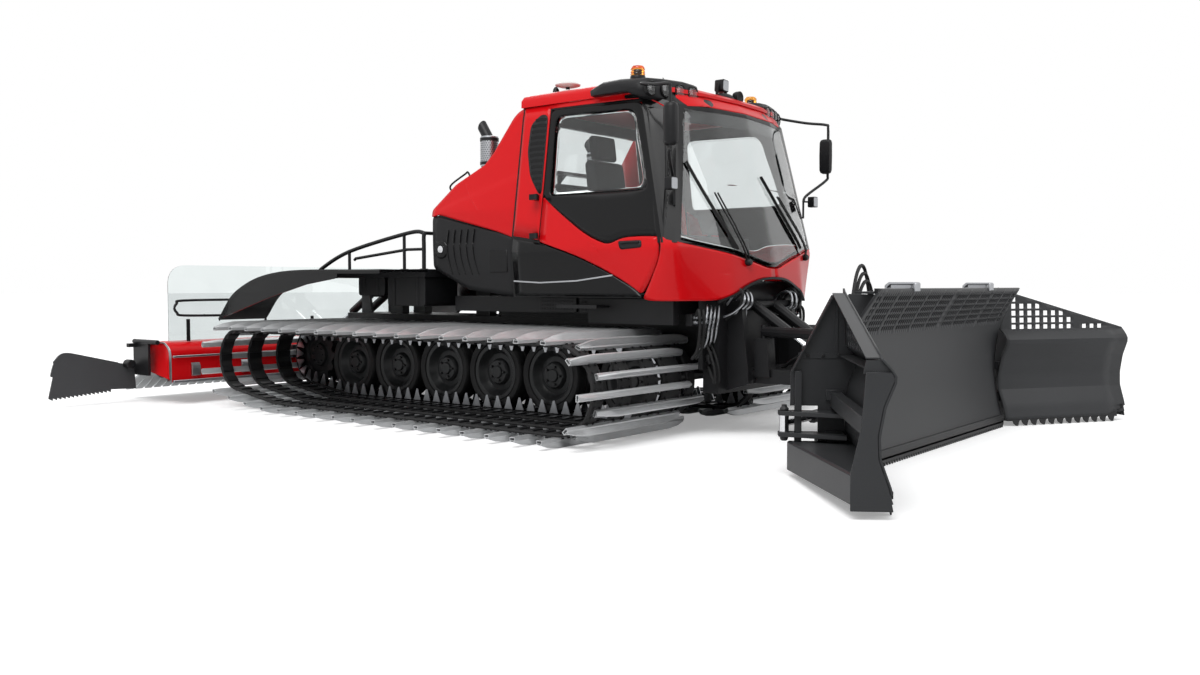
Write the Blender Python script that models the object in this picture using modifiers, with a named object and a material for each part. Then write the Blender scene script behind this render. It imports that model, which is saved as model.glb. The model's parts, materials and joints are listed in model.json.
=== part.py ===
"""Snowcat groomer with an all-way front blade and a rear tiller.

Metres, +X forward, +Y to the machine's left, +Z up, and the ground at zero.
Sizes along X are written from the beacon line on the cab roof, and the root
empty then moves the whole machine so that the origin lies under its middle.
"""

import math

import bmesh
import bpy
from mathutils import Matrix, Vector

# Clearances
SEAT_GAP = 0.0003
PIN_GAP = 0.0008
RUN_GAP = 0.008
OVERRUN = 0.06
SINK = 0.012
ORIGIN_SHIFT = 1.635

# Round pieces
WHEEL_STEPS = 16
PIVOT_STEPS = 32
PIN_SIDES = 10
ARC_STEP = math.radians(22.5)

# Tracks
TRACK_OUTER = 2.10
SHOE_LENGTH = 1.48
SHOE_STAGGER = 0.25
SHOE_PITCH = 0.138
SHOE_HEIGHT = 0.085
SHOE_BASE = 0.052
SHOE_TIP_SHARE = 0.3
BELT_OUTER = 1.90
BELT_INNER = 0.50
BELT_THICK = 0.025

# Running gear
WHEEL_RADIUS = 0.34
WHEEL_WIDTH = 0.22
WHEEL_PLANE = 0.83
WHEEL_PITCH = 0.69
REAR_WHEEL_X = -3.72
WHEEL_COUNT = 5
IDLER_X = -0.06
AXLE_RADIUS = 0.05
HUB_RADIUS = 0.10
RIM_RADIUS = 0.20
RIM_RECESS = 0.07
RIM_LIP = 0.03
SPROCKET_X = -4.38
SPROCKET_Z = 0.50
SPROCKET_WRAP = 0.29
SPROCKET_TEETH = 12
SPROCKET_THICK = 0.12
TOOTH_DEPTH = 0.045
FINAL_DRIVE_RADIUS = 0.15

# Hull and platform
HULL_HALF = 0.34
HULL_REAR = -4.55
HULL_FRONT = 0.46
HULL_TOP = 0.95
HULL_RISE = 0.16
PLATFORM_REAR = -2.15
PLATFORM_FRONT = 0.42
PLATFORM_HALF = 0.95
PLATFORM_BOTTOM = 1.02
SIDE_PLATE_THICK = 0.02
SIDE_PLATE_REAR = -0.45
SIDE_PLATE_HALF = 1.02
SIDE_PLATE_BOTTOM = 0.94
CROSSMEMBER_THICK = 0.14
CROSSMEMBER_HALF = 0.60
CROSSMEMBER_BOTTOM = 0.36
CROSSMEMBER_TOP = 1.12
EAR_THICK = 0.06
EAR_HALF = 0.40

# Cab: a shell lofted through three sections
CAB_REAR = -1.19
CAB_LENGTH = 1.95
CAB_HALF = 1.20
CAB_BOTTOM = 1.16
CAB_HEIGHT = 1.68
CAB_WALL = 0.05
FLOOR_THICK = 0.04
GLASS_THICK = 0.008
DOOR_GAP = 0.016
DOOR_KNUCKLE = 0.014
DOOR_KNUCKLE_LENGTH = 0.05
# Heights of the door hinges, as shares of the cab's height
DOOR_HINGE_SHARES = (0.30, 0.50)
DOOR_LUG_REACH = 0.08
DOOR_LUG_INWARD = 0.11
DOOR_HINGE_X = -0.862
DOOR_HINGE_OUT = 0.02

# Columns: height, side half width, side front x, corner x, corner half, mid x, mid half, tip x
CAB_SECTION_SHARES = (
    (0.00, 0.965, 0.800, 0.885, 0.860, 0.990, 0.500, 1.030),
    (0.24, 1.000, 0.842, 0.885, 0.960, 0.965, 0.500, 1.000),
    (0.94, 0.860, 0.675, 0.795, 0.735, 0.845, 0.400, 0.865),
    (1.00, 0.840, 0.660, 0.760, 0.710, 0.800, 0.400, 0.815),
)

# Columns: x share of the cab's length, z share of its height
DOOR_SHARES = (
    (0.172, 0.970), (0.172, 0.275), (0.487, 0.150), (0.697, 0.045), (0.720, 0.015),
    (0.765, 0.080), (0.820, 0.198), (0.812, 0.275), (0.672, 0.955),
)
DOOR_WINDOW_SHARES = (
    (0.215, 0.930), (0.215, 0.330), (0.480, 0.262), (0.690, 0.235), (0.772, 0.240),
    (0.785, 0.290), (0.655, 0.915),
)
# Columns: y share of the cab's half width, z share of its height, right half from the tip
WINDSHIELD_SHARES = ((0.0, 0.165), (0.45, 0.215), (0.90, 0.275), (0.665, 0.915), (0.0, 0.925))
REAR_WINDOW_SHARES = ((0.0, 0.62), (0.62, 0.62), (0.55, 0.93), (0.0, 0.93))
NOSE_SEAM_SHARES = (
    (0.720, -0.020), (0.720, 0.015), (0.765, 0.080), (0.820, 0.198), (0.813, 0.262), (1.120, 0.262),
    (1.120, -0.020),
)
NOSE_ARCH_SHARES = ((0.0, -0.05), (0.44, -0.05), (0.26, 0.075), (0.0, 0.080))

# Roof
ROOF_THICK = 0.13
ROOF_OVERHANG = 0.035
ROOF_CHAMFER = 0.05
BEACON_Y = 0.90
BEACON_RADIUS = 0.065
BEACON_HEIGHT = 0.11
ROOF_SPLIT_X = 0.10
ROOF_PAD_REAR = -1.05
ROOF_PAD_FRONT = 0.02
ROOF_PAD_HALF = 0.78
ROOF_PAD_RISE = 0.012
LIGHT_BAR_DEPTH = 0.34
LIGHT_BAR_HEIGHT = 0.11
LIGHT_BAR_HALF = 1.10
# Columns: x share of the light bar's depth, y share of its half width, right half
LIGHT_BAR_SHARES = ((0.0, 0.92), (0.38, 1.0), (0.56, 0.52), (0.95, 0.42), (1.0, 0.0))
LAMP_RADIUS = 0.05
LAMP_DEPTH = 0.03
# Columns: share of the way along the pod's front from its outer end
LAMP_PLACES = (0.11, 0.37, 0.63, 0.89)
SEARCH_SIZE = 0.10
SEARCH_RISE = 0.03
DOME_SHARE = 0.65

# Engine bay and cowl
BAY_REAR = -2.26
BAY_HALF = 1.13
BAY_WALL = 0.03
BAY_BOTTOM = 1.16
BAY_HEIGHT = 0.78
# Columns: x share of the bay's length from its rear, z share of its height
BAY_SHARES = ((0.02, 0.34), (0.45, 0.08), (1.0, 0.0), (1.0, 0.665), (0.82, 0.745), (0.09, 0.985), (0.0, 0.93))
COWL_WALL = 0.03
ENGINE_LENGTH = 0.80
ENGINE_WIDTH = 0.80
ENGINE_HEIGHT = 0.45
MUFFLER_X = -1.83
MUFFLER_Y = 0.80
MUFFLER_RADIUS = 0.085
MUFFLER_HEIGHT = 0.31
MUFFLER_BOTTOM = 2.44
STACK_RADIUS = 0.05
STACK_HEIGHT = 0.13
MUFFLER_BRACKET = 0.05

# Cargo deck, fenders and rail
DECK_REAR = -4.05
DECK_FRONT = -2.30
DECK_HALF = 1.20
DECK_TOP = 1.41
DECK_THICK = 0.07
DECK_LEG_HALF = 0.10
BED_FLOOR_RISE = 0.012
FENDER_THICK = 0.03
FENDER_OUTER = 1.75
# Columns: x share of the fender's length from its rear, z share of its drop
FENDER_LENGTH = 2.64
FENDER_DROP = 0.50
FENDER_SHARES = ((0.0, 0.0), (0.14, 0.62), (0.42, 0.98), (1.0, 1.0))
TANK_LENGTH = 0.56
TANK_HEIGHT = 0.28
TANK_DEPTH = 0.45
RAIL_RADIUS = 0.022
RAIL_TOP = 1.79
RAIL_REAR = -3.95
RAIL_FRONT = -2.40
# Columns: x share of the rail's length from its rear, z share of its height
RAIL_SHARES = ((0.0, 0.09), (0.29, 0.55), (0.84, 0.98), (1.0, 1.0))
MID_RAIL_SHARE = 0.26
RAIL_HALF = 1.14

# Cab fittings
SEAT_X = -0.62
SEAT_WIDTH = 0.50
SEAT_DEPTH = 0.50
SEAT_CUSHION = 0.13
SEAT_BACK = 0.66
SEAT_LIFT = 0.32
SEAT_SPACING = 0.44
CONSOLE_X = 0.20
MIRROR_ARM_RADIUS = 0.016
MIRROR_OUT = 0.24
MIRROR_RADIUS = 0.085
MIRROR_HEIGHT = 0.34

# Blade
BLADE_HALF = 1.59
BLADE_EDGE_Z = 0.012
BLADE_EDGE_X = 2.27
BLADE_HEIGHT = 1.23
BLADE_DEPTH = 0.24
BLADE_PLATE = 0.028
# Columns: depth share behind the upper lip, height share
BLADE_SHARES = ((0.45, 0.0), (0.72, 0.12), (0.95, 0.33), (0.95, 0.53), (0.70, 0.76), (0.0, 1.0))
WING_LENGTH = 1.43
# Columns: depth share behind the lip, height share
WING_SHARES = (
    (0.45, 0.0), (0.58, 0.13), (0.82, 0.26), (0.84, 0.36), (0.72, 0.49), (0.47, 0.61), (0.60, 0.655), (0.80, 0.69),
    (0.88, 1.0),
)
WING_BOX_BACK = 0.30
WING_BOX_TIP = 0.06
WING_BOX_LOW = 0.035
WING_BOX_TOP = 0.235
WING_CHEEK_OUT = 0.055
WING_LUG_REACH = 0.085
WING_FOOT_CUT = 0.13
# Columns: x share of the box's reach behind the hinge, z share of the blade's height
WING_CHEEK_SHARES = ((-0.27, 0.17), (-0.27, 0.37), (-0.87, 0.37), (-0.87, 0.55), (0.0, 0.965))
WING_END_SHARES = ((-0.18, 0.03), (-0.18, 0.20), (0.0, 0.40), (0.07, 0.64))
WING_TIP_SHARE = 0.70
WING_FOLD = math.radians(33)
WING_MITRE = math.radians(18.2)
WING_AXIS_X = 2.08
BLADE_BEAM = 0.12
BLADE_RIB_THICK = 0.03
BLADE_RIB_PLACES = (0.30, 0.85, 1.38)

# Blade carrier and push frame
LIFT_X = 0.74
LIFT_Z = 0.50
SWING_X = 1.78
TILT_Z = 0.46
FORK_HALF = 0.13
FORK_PLATE = 0.07
FORK_GAP = 0.24
SWING_PIN = 0.05
CROSSBAR_HALF = 0.60
CROSSBAR_Z = 0.78
CROSSBAR_SIZE = 0.08
ANGLE_EAR_X = 0.86
ANGLE_EAR_Y = 0.30
ANGLE_PIN_Y = 0.55
LIFT_PIN_X = 0.68
LIFT_PIN_Z = 1.10
LIFT_EYE_X = 1.30
LIFT_EYE_Z = 0.68
LIFT_CYLINDER_Y = 0.17

# Cylinders
BARREL_RADIUS = 0.045
ROD_RADIUS = 0.024
EYE_RADIUS = 0.045

# Tiller
TILLER_HINGE_X = -4.66
TILLER_HINGE_Z = 0.62
HOOD_HALF = 2.18
HOOD_FRONT = -5.16
HOOD_LENGTH = 0.62
HOOD_BOTTOM = 0.24
HOOD_HEIGHT = 0.42
HOOD_SKIN = 0.03
ROTOR_X = -5.46
ROTOR_Z = 0.37
ROTOR_CORE = 0.08
ROTOR_RADIUS = 0.17
ROTOR_START = 0.06
TINE_ROWS = 10
TINE_SIZE = 0.05
COMB_LENGTH = 0.42
COMB_THICK = 0.025
FINISHER_LENGTH = 0.92
FINISHER_HEIGHT = 0.48
FINISHER_LOW = 0.085
# Columns: y share of the finisher's length, z share of its height
FINISHER_SHARES = (
    (0.0, 0.13), (1.0, 0.0), (0.98, 0.50), (0.94, 0.80), (0.86, 0.98), (0.78, 1.0), (0.20, 0.72), (0.0, 0.68),
)
FLAP_THICK = 0.012
FLAP_HALF = 2.12
FLAP_HEIGHT = 0.82

# Values used above by more than one piece
COWL_RISE = 0.96
COWL_TAPER_SHARE = 0.13
# Columns: x share of the bay's length from its rear, z share of the cowl's rise
COWL_SHARES = ((0.0, 0.035), (0.35, 0.36), (0.86, 0.90), (1.0, 0.95))
CONSOLE_DEPTH = 0.18
CONSOLE_HALF = 0.62
CONSOLE_BOTTOM = 1.62
CONSOLE_TOP = 1.74
MIRROR_FORWARD = 0.385
MIRROR_DROP = 0.07
MIRROR_TOP_DROP = 0.21
# Columns: x, y and z from the foot of the mirror to the lower arm's bends
MIRROR_RETURN = ((0.03, -0.02, -0.05), (-0.10, -0.24, -0.20))
RAIL_DROP = 0.17
TILT_PIN_LENGTH = 0.24
BLADE_BACK_X = 1.96
WING_BACK_MITRE = math.radians(8)
WING_AXIS_Y = BLADE_HALF + RUN_GAP / 2
KNUCKLE_RADIUS = 0.04
EYE_HALF = 0.055
WING_PIN_BACK = 0.30
WING_PIN_OUT = 0.10
WING_BASE_X = 1.86
WING_BASE_INSET = 0.79
WING_BASE_Y = BLADE_HALF - WING_BASE_INSET
WING_CYLINDER_SHARE = 0.275
WING_CYLINDER_Z = BLADE_EDGE_Z + BLADE_HEIGHT * WING_CYLINDER_SHARE
WING_BARREL = 0.62
WING_ROD = 0.50
TILLER_PIN_X = -4.40
TILLER_PIN_Z = 1.16
TILLER_EYE_X = -5.00
TILLER_EYE_Z = 0.80
TILLER_CYLINDER_Y = 0.12
TILLER_BARREL = 0.40
TILLER_ROD = 0.39
LIFT_BARREL = 0.43
LIFT_ROD = 0.405
ANGLE_BARREL = 0.60
ANGLE_ROD = 0.61
COMB_DROP = 0.22
# Columns: where each knuckle of a wing hinge starts and ends, as shares of the blade's height
KNUCKLE_SHARES = ((0.10, 0.17), (0.17, 0.24), (0.34, 0.40), (0.40, 0.46), (0.46, 0.52))
HOOD_MIDDLE = 0.03
FINISHER_PIN = 0.025
FINISHER_PIN_SHARE = 0.22
TINE_TWIST = math.radians(36)
# Columns: share of the hood's length behind its front, share of its height
HOOD_SHARES = ((0.0, 0.0), (0.0, 0.80), (0.18, 1.0), (0.70, 1.0), (1.0, 0.55), (1.0, 0.25))
HOOD_INNER_SHARES = ((0.10, -0.30), (0.10, 0.62), (0.25, 0.90), (0.66, 0.90), (0.92, 0.50), (0.92, -0.30))

LOOKS = {
    "red_paint": ((0.62, 0.012, 0.015, 1), 0.25, 0.0),
    "black_plastic": ((0.018, 0.018, 0.02, 1), 0.38, 0.0),
    "black_steel": ((0.02, 0.02, 0.022, 1), 0.45, 0.2),
    "grey_steel": ((0.11, 0.115, 0.12, 1), 0.42, 0.5),
    "bright_steel": ((0.55, 0.56, 0.58, 1), 0.28, 1.0),
    "chrome": ((0.75, 0.76, 0.78, 1), 0.12, 1.0),
    "aluminium": ((0.60, 0.61, 0.62, 1), 0.38, 1.0),
    "rubber": ((0.02, 0.02, 0.021, 1), 0.75, 0.0),
    "tinted_glass": ((0.03, 0.035, 0.04, 1), 0.06, 0.0),
    "clear_sheet": ((0.75, 0.78, 0.80, 1), 0.12, 0.0),
    "amber": ((0.85, 0.28, 0.01, 1), 0.2, 0.0),
    "seat_cloth": ((0.03, 0.03, 0.032, 1), 0.9, 0.0),
}

# Derived places
BELT_BOTTOM = SHOE_HEIGHT + BELT_THICK
HUB_Z = BELT_BOTTOM + WHEEL_RADIUS
HULL_BOTTOM = HUB_Z + AXLE_RADIUS + SEAT_GAP
PLATFORM_TOP = CAB_BOTTOM - SEAT_GAP
BAY_LENGTH = CAB_REAR - SEAT_GAP - BAY_REAR
CAB_TOP = CAB_BOTTOM + CAB_HEIGHT
ROOF_BOTTOM = CAB_TOP + SEAT_GAP
ROOF_TOP = ROOF_BOTTOM + ROOF_THICK
ROOF_FRONT_X = CAB_REAR + CAB_LENGTH * CAB_SECTION_SHARES[-1][-1] + ROOF_OVERHANG
HINGE_Y = CAB_HALF + DOOR_HINGE_OUT
BLADE_LIP_X = BLADE_EDGE_X + BLADE_DEPTH * BLADE_SHARES[0][0]
CROSSMEMBER_FRONT = HULL_FRONT + CROSSMEMBER_THICK

PLANES = {
    "XY": Matrix.Identity(4),
    "XZ": Matrix.Rotation(math.radians(90), 4, "X"),
    "YZ": Matrix(((0, 0, 1, 0), (1, 0, 0, 0), (0, 1, 0, 0), (0, 0, 0, 1))),
}
ROUND_AXES = {
    "X": Matrix.Rotation(math.radians(90), 4, "Y"),
    "Y": Matrix.Rotation(math.radians(-90), 4, "X"),
    "Z": Matrix.Identity(4),
}


def collection(name):
    """Make a collection in the scene."""
    made = bpy.data.collections.new(name)
    bpy.context.scene.collection.children.link(made)
    return made


for old in list(bpy.data.objects):
    bpy.data.objects.remove(old, do_unlink=True)
PARTS = collection("snowcat_groomer")
CUTTERS = collection("cutters")


def empty(name, at=(0, 0, 0), parent=None):
    """An empty that carries pieces, put on the axis they turn about."""
    made = bpy.data.objects.new(name, None)
    PARTS.objects.link(made)
    made.empty_display_size = HUB_RADIUS
    made.location = at
    if parent:
        made.parent = parent
        made.matrix_parent_inverse = pose(parent).inverted()
    return made


def pose(thing):
    """World matrix of an object, worked out from its own placing and its parents."""
    own = thing.matrix_basis.copy()
    if thing.parent:
        return pose(thing.parent) @ thing.matrix_parent_inverse @ own
    return own


def from_mesh(name, mesh, matrix=None):
    """Put a mesh in the scene as an object."""
    made = bpy.data.objects.new(name, mesh)
    CUTTERS.objects.link(made)
    if matrix:
        made.matrix_basis = matrix
    return made


def from_bmesh(name, bm, matrix=None):
    """Finish a bmesh as an object with its faces pointing out."""
    bmesh.ops.recalc_face_normals(bm, faces=bm.faces)
    mesh = bpy.data.meshes.new(name)
    bm.to_mesh(mesh)
    bm.free()
    return from_mesh(name, mesh, matrix)


def piece(thing, name, look, parent):
    """Turn a finished shape into a named sub-part with its own material."""
    thing.name = name
    thing.data.name = name
    CUTTERS.objects.unlink(thing)
    PARTS.objects.link(thing)
    colour, roughness, metallic = LOOKS[look]
    material = bpy.data.materials.new(name + "_" + look)
    material.use_nodes = True
    shader = material.node_tree.nodes["Principled BSDF"]
    shader.inputs["Base Color"].default_value = colour
    shader.inputs["Roughness"].default_value = roughness
    shader.inputs["Metallic"].default_value = metallic
    thing.data.materials.clear()
    thing.data.materials.append(material)
    thing.parent = parent
    thing.matrix_parent_inverse = pose(parent).inverted() if parent.parent else Matrix.Identity(4)
    return thing


def boolean(thing, other, operation):
    """Join, cut or keep with another shape, which stays as a hidden guide."""
    modifier = thing.modifiers.new(operation.lower(), "BOOLEAN")
    modifier.operation = operation
    modifier.solver = "EXACT"
    modifier.object = other
    other.hide_render = True
    other.display_type = "WIRE"
    return thing


def join(thing, *others):
    for other in others:
        boolean(thing, other, "UNION")
    return thing


def cut(thing, *others):
    for other in others:
        boolean(thing, other, "DIFFERENCE")
    return thing


def keep(thing, other):
    return boolean(thing, other, "INTERSECT")


def gather(name, shapes):
    """Several loose shapes that don't touch, as one shape."""
    bm = bmesh.new()
    for shape in shapes:
        start = len(bm.verts)
        bm.from_mesh(shape.data)
        bm.verts.ensure_lookup_table()
        bmesh.ops.transform(bm, matrix=pose(shape), verts=bm.verts[start:])
    for shape in shapes:
        bpy.data.objects.remove(shape, do_unlink=True)
    return from_bmesh(name, bm)


def box(name, low, high):
    """A box between two corners."""
    low = Vector(low)
    high = Vector(high)
    bm = bmesh.new()
    bmesh.ops.create_cube(bm, size=1)
    bmesh.ops.scale(bm, vec=high - low, verts=bm.verts)
    return from_bmesh(name, bm, Matrix.Translation((low + high) / 2))


def slab(name, outlines, plane, low, high):
    """Flat outlines, the later ones holes, drawn in a plane and thick from low to high."""
    if not isinstance(outlines[0][0], (tuple, list)):
        outlines = (outlines,)
    curve = bpy.data.curves.new(name, "CURVE")
    curve.dimensions = "2D"
    curve.fill_mode = "BOTH"
    curve.extrude = (high - low) / 2
    for outline in outlines:
        spline = curve.splines.new("POLY")
        spline.points.add(len(outline) - 1)
        for point, (across, up) in zip(spline.points, outline):
            point.co = (across, up, 0, 1)
        spline.use_cyclic_u = True
    guide = bpy.data.objects.new(name, curve)
    CUTTERS.objects.link(guide)
    middle = (low + high) / 2
    if plane == "XZ":
        middle = -middle
    matrix = PLANES[plane] @ Matrix.Translation((0, 0, middle))
    depsgraph = bpy.context.evaluated_depsgraph_get()
    mesh = bpy.data.meshes.new_from_object(guide.evaluated_get(depsgraph))
    bpy.data.objects.remove(guide, do_unlink=True)
    bm = bmesh.new()
    bm.from_mesh(mesh)
    bmesh.ops.remove_doubles(bm, verts=bm.verts, dist=SEAT_GAP / 10)
    bpy.data.meshes.remove(mesh)
    return from_bmesh(name, bm, matrix)


def bar(name, start, end, radius, sides=PIN_SIDES):
    """A round bar between two points."""
    start = Vector(start)
    end = Vector(end)
    along = end - start
    bm = bmesh.new()
    bmesh.ops.create_cone(bm, cap_ends=True, segments=sides, radius1=radius, radius2=radius,
                          depth=along.length)
    turn = along.to_track_quat("Z", "Y").to_matrix().to_4x4()
    return from_bmesh(name, bm, Matrix.Translation((start + end) / 2) @ turn)


def tube(name, points, radius):
    """A bent tube as a mesh, with its caps welded on."""
    curve = bpy.data.curves.new(name, "CURVE")
    curve.dimensions = "3D"
    curve.bevel_depth = radius
    curve.bevel_resolution = 2
    curve.use_fill_caps = True
    spline = curve.splines.new("POLY")
    spline.points.add(len(points) - 1)
    for point, place in zip(spline.points, points):
        point.co = (*place, 1)
    guide = bpy.data.objects.new(name, curve)
    CUTTERS.objects.link(guide)
    depsgraph = bpy.context.evaluated_depsgraph_get()
    mesh = bpy.data.meshes.new_from_object(guide.evaluated_get(depsgraph))
    bpy.data.objects.remove(guide, do_unlink=True)
    bm = bmesh.new()
    bm.from_mesh(mesh)
    bmesh.ops.remove_doubles(bm, verts=bm.verts, dist=SEAT_GAP / 10)
    bpy.data.meshes.remove(mesh)
    return from_bmesh(name, bm)


def turned(name, profile, axis, at, steps=PIN_SIDES):
    """A profile of radius and height pairs, turned about an axis through a point."""
    bm = bmesh.new()
    verts = [bm.verts.new((radius, 0, height)) for radius, height in profile]
    for first, second in zip(verts, verts[1:]):
        bm.edges.new((first, second))
    mesh = bpy.data.meshes.new(name)
    bm.to_mesh(mesh)
    bm.free()
    made = from_mesh(name, mesh, Matrix.Translation(at) @ ROUND_AXES[axis])
    screw = made.modifiers.new("turn", "SCREW")
    screw.steps = steps
    screw.render_steps = steps
    screw.use_merge_vertices = True
    screw.merge_threshold = SEAT_GAP / 10
    return made


def applied(thing):
    """The evaluated mesh of a shape with modifiers, as a plain shape."""
    depsgraph = bpy.context.evaluated_depsgraph_get()
    mesh = bpy.data.meshes.new_from_object(thing.evaluated_get(depsgraph))
    name = thing.name
    matrix = pose(thing)
    bpy.data.objects.remove(thing, do_unlink=True)
    return from_mesh(name, mesh, matrix)


def mirrored(outline):
    """Both halves of an outline whose points run from the middle line outward and back."""
    return list(outline) + [(-across, up) for across, up in reversed(outline) if across]


def spread(shares, corner, size):
    """Shares of a size, laid out from a corner."""
    return [(corner[0] + share[0] * size[0], corner[1] + share[1] * size[1]) for share in shares]


def grown(outline, amount):
    """An outline moved outward by an amount, or inward by a negative one."""
    area = sum(a[0] * b[1] - b[0] * a[1] for a, b in zip(outline, outline[1:] + outline[:1]))
    side = 1 if area > 0 else -1
    made = []
    count = len(outline)
    for i in range(count):
        here = Vector(outline[i])
        before = (here - Vector(outline[i - 1])).normalized()
        after = (Vector(outline[(i + 1) % count]) - here).normalized()
        first = Vector((before.y, -before.x)) * side
        second = Vector((after.y, -after.x)) * side
        made.append(tuple(here + (first + second) * amount / (1 + first.dot(second))))
    return made


def swung(shape, angle, at):
    """Turn a shape about the upright line through a point."""
    turn = Matrix.Translation(at) @ Matrix.Rotation(angle, 4, "Z") @ Matrix.Translation(-Vector(at))
    shape.matrix_basis = turn @ shape.matrix_basis
    return shape


def flipped(shape):
    """The same shape on the machine's other side, with its faces still pointing out."""
    bm = bmesh.new()
    bm.from_mesh(shape.data)
    bmesh.ops.transform(bm, matrix=pose(shape), verts=bm.verts)
    bmesh.ops.scale(bm, vec=(1, -1, 1), verts=bm.verts)
    name = shape.name
    bpy.data.objects.remove(shape, do_unlink=True)
    return from_bmesh(name, bm)


def on_side(shape, side):
    """Keep a shape made for the left side, or flip it to the right."""
    return shape if side > 0 else flipped(shape)


SIDES = (("right", -1), ("left", 1))


def belt_path(offset):
    """Points round the track's three bends, with the arcs in equal steps.

    Each straight run is the outer tangent of two neighbouring circles.
    """
    circles = (
        (Vector((IDLER_X, HUB_Z)), WHEEL_RADIUS),
        (Vector((SPROCKET_X, SPROCKET_Z)), SPROCKET_WRAP),
        (Vector((REAR_WHEEL_X, HUB_Z)), WHEEL_RADIUS),
    )
    normals = []
    for i, (centre, radius) in enumerate(circles):
        following, next_radius = circles[(i + 1) % len(circles)]
        along = (following - centre).normalized()
        lean = (radius - next_radius) / (following - centre).length
        right = Vector((along.y, -along.x))
        normals.append(along * lean + right * math.sqrt(1 - lean * lean))
    points = []
    for i, (centre, radius) in enumerate(circles):
        start = math.atan2(normals[i - 1].y, normals[i - 1].x)
        sweep = (math.atan2(normals[i].y, normals[i].x) - start) % math.tau
        steps = math.ceil(sweep / ARC_STEP)
        for k in range(steps + 1):
            angle = start + sweep * k / steps
            points.append(tuple(centre + Vector((math.cos(angle), math.sin(angle))) * (radius + offset)))
    return points


def along_loop(points, pitch):
    """Places at an even pitch round a closed path, each with its outward angle."""
    corners = [Vector(p) for p in points]
    lengths = [(b - a).length for a, b in zip(corners, corners[1:] + corners[:1])]
    total = sum(lengths)
    count = 2 * round(total / pitch / 2)
    places = []
    for k in range(count):
        left = total * k / count
        i = 0
        while left > lengths[i]:
            left -= lengths[i]
            i += 1
        run = corners[(i + 1) % len(corners)] - corners[i]
        place = corners[i] + run * left / lengths[i]
        places.append((place, math.atan2(-run.x, run.y)))
    return places


def make_track(root, name, side):
    """Belt loop with two staggered sets of shoes standing out of it."""
    loop = slab("belt", (belt_path(BELT_THICK), belt_path(0)), "XZ", BELT_INNER, BELT_OUTER)
    shoes = []
    for k, (place, angle) in enumerate(along_loop(belt_path(BELT_THICK), SHOE_PITCH)):
        outer = TRACK_OUTER - SHOE_STAGGER * (k % 2)
        shoe = box("shoe", (-SINK, outer - SHOE_LENGTH, -SHOE_BASE / 2), (SHOE_HEIGHT, outer, SHOE_BASE / 2))
        for vert in shoe.data.vertices:
            if vert.co.x > 0:
                vert.co.z *= SHOE_TIP_SHARE
        lie = Matrix.Translation((place.x, 0, place.y)) @ Matrix.Rotation(-angle, 4, "Y")
        shoe.matrix_basis = lie @ shoe.matrix_basis
        shoes.append(shoe)
    join(loop, gather("shoes", shoes))
    piece(on_side(applied(loop), side), name, "rubber", root)


def wheel_pair(name, x, radius, root):
    """Two dished wheels on one axle tube."""
    outer = WHEEL_PLANE + WHEEL_WIDTH / 2
    inner = WHEEL_PLANE - WHEEL_WIDTH / 2
    half = (
        (0, outer - RIM_RECESS / 2), (HUB_RADIUS, outer - RIM_RECESS / 2), (RIM_RADIUS, outer - RIM_RECESS),
        (RIM_RADIUS + RIM_LIP, outer), (radius, outer), (radius, inner), (AXLE_RADIUS, inner + RIM_RECESS),
    )
    profile = list(half) + [(r, -y) for r, y in reversed(half)]
    piece(turned(name, profile, "Y", (x, 0, HUB_Z), WHEEL_STEPS), name, "black_steel", root)


def make_running_gear(root):
    bend_radius = WHEEL_RADIUS * math.cos(ARC_STEP / 2) - SEAT_GAP
    for i in range(WHEEL_COUNT):
        radius = bend_radius if i == 0 else WHEEL_RADIUS - SEAT_GAP
        wheel_pair("axle_%d" % (i + 1), REAR_WHEEL_X + i * WHEEL_PITCH, radius, root)
    wheel_pair("idler_axle", IDLER_X, bend_radius, root)
    tip = SPROCKET_WRAP * math.cos(ARC_STEP / 2) - SEAT_GAP
    for name, side in SIDES:
        outline = []
        for k in range(SPROCKET_TEETH * 4):
            angle = math.tau * k / SPROCKET_TEETH / 4
            reach = tip if k % 4 < 2 else tip - TOOTH_DEPTH
            outline.append((SPROCKET_X + reach * math.cos(angle), SPROCKET_Z + reach * math.sin(angle)))
        sprocket = slab("sprocket", outline, "XZ", WHEEL_PLANE - SPROCKET_THICK / 2,
                        WHEEL_PLANE + SPROCKET_THICK / 2)
        drive = bar("final_drive", (SPROCKET_X, HULL_HALF + SEAT_GAP, SPROCKET_Z),
                    (SPROCKET_X, WHEEL_PLANE + SPROCKET_THICK, SPROCKET_Z), FINAL_DRIVE_RADIUS, WHEEL_STEPS)
        piece(on_side(applied(join(sprocket, drive)), side), "sprocket_" + name, "black_steel", root)


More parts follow.
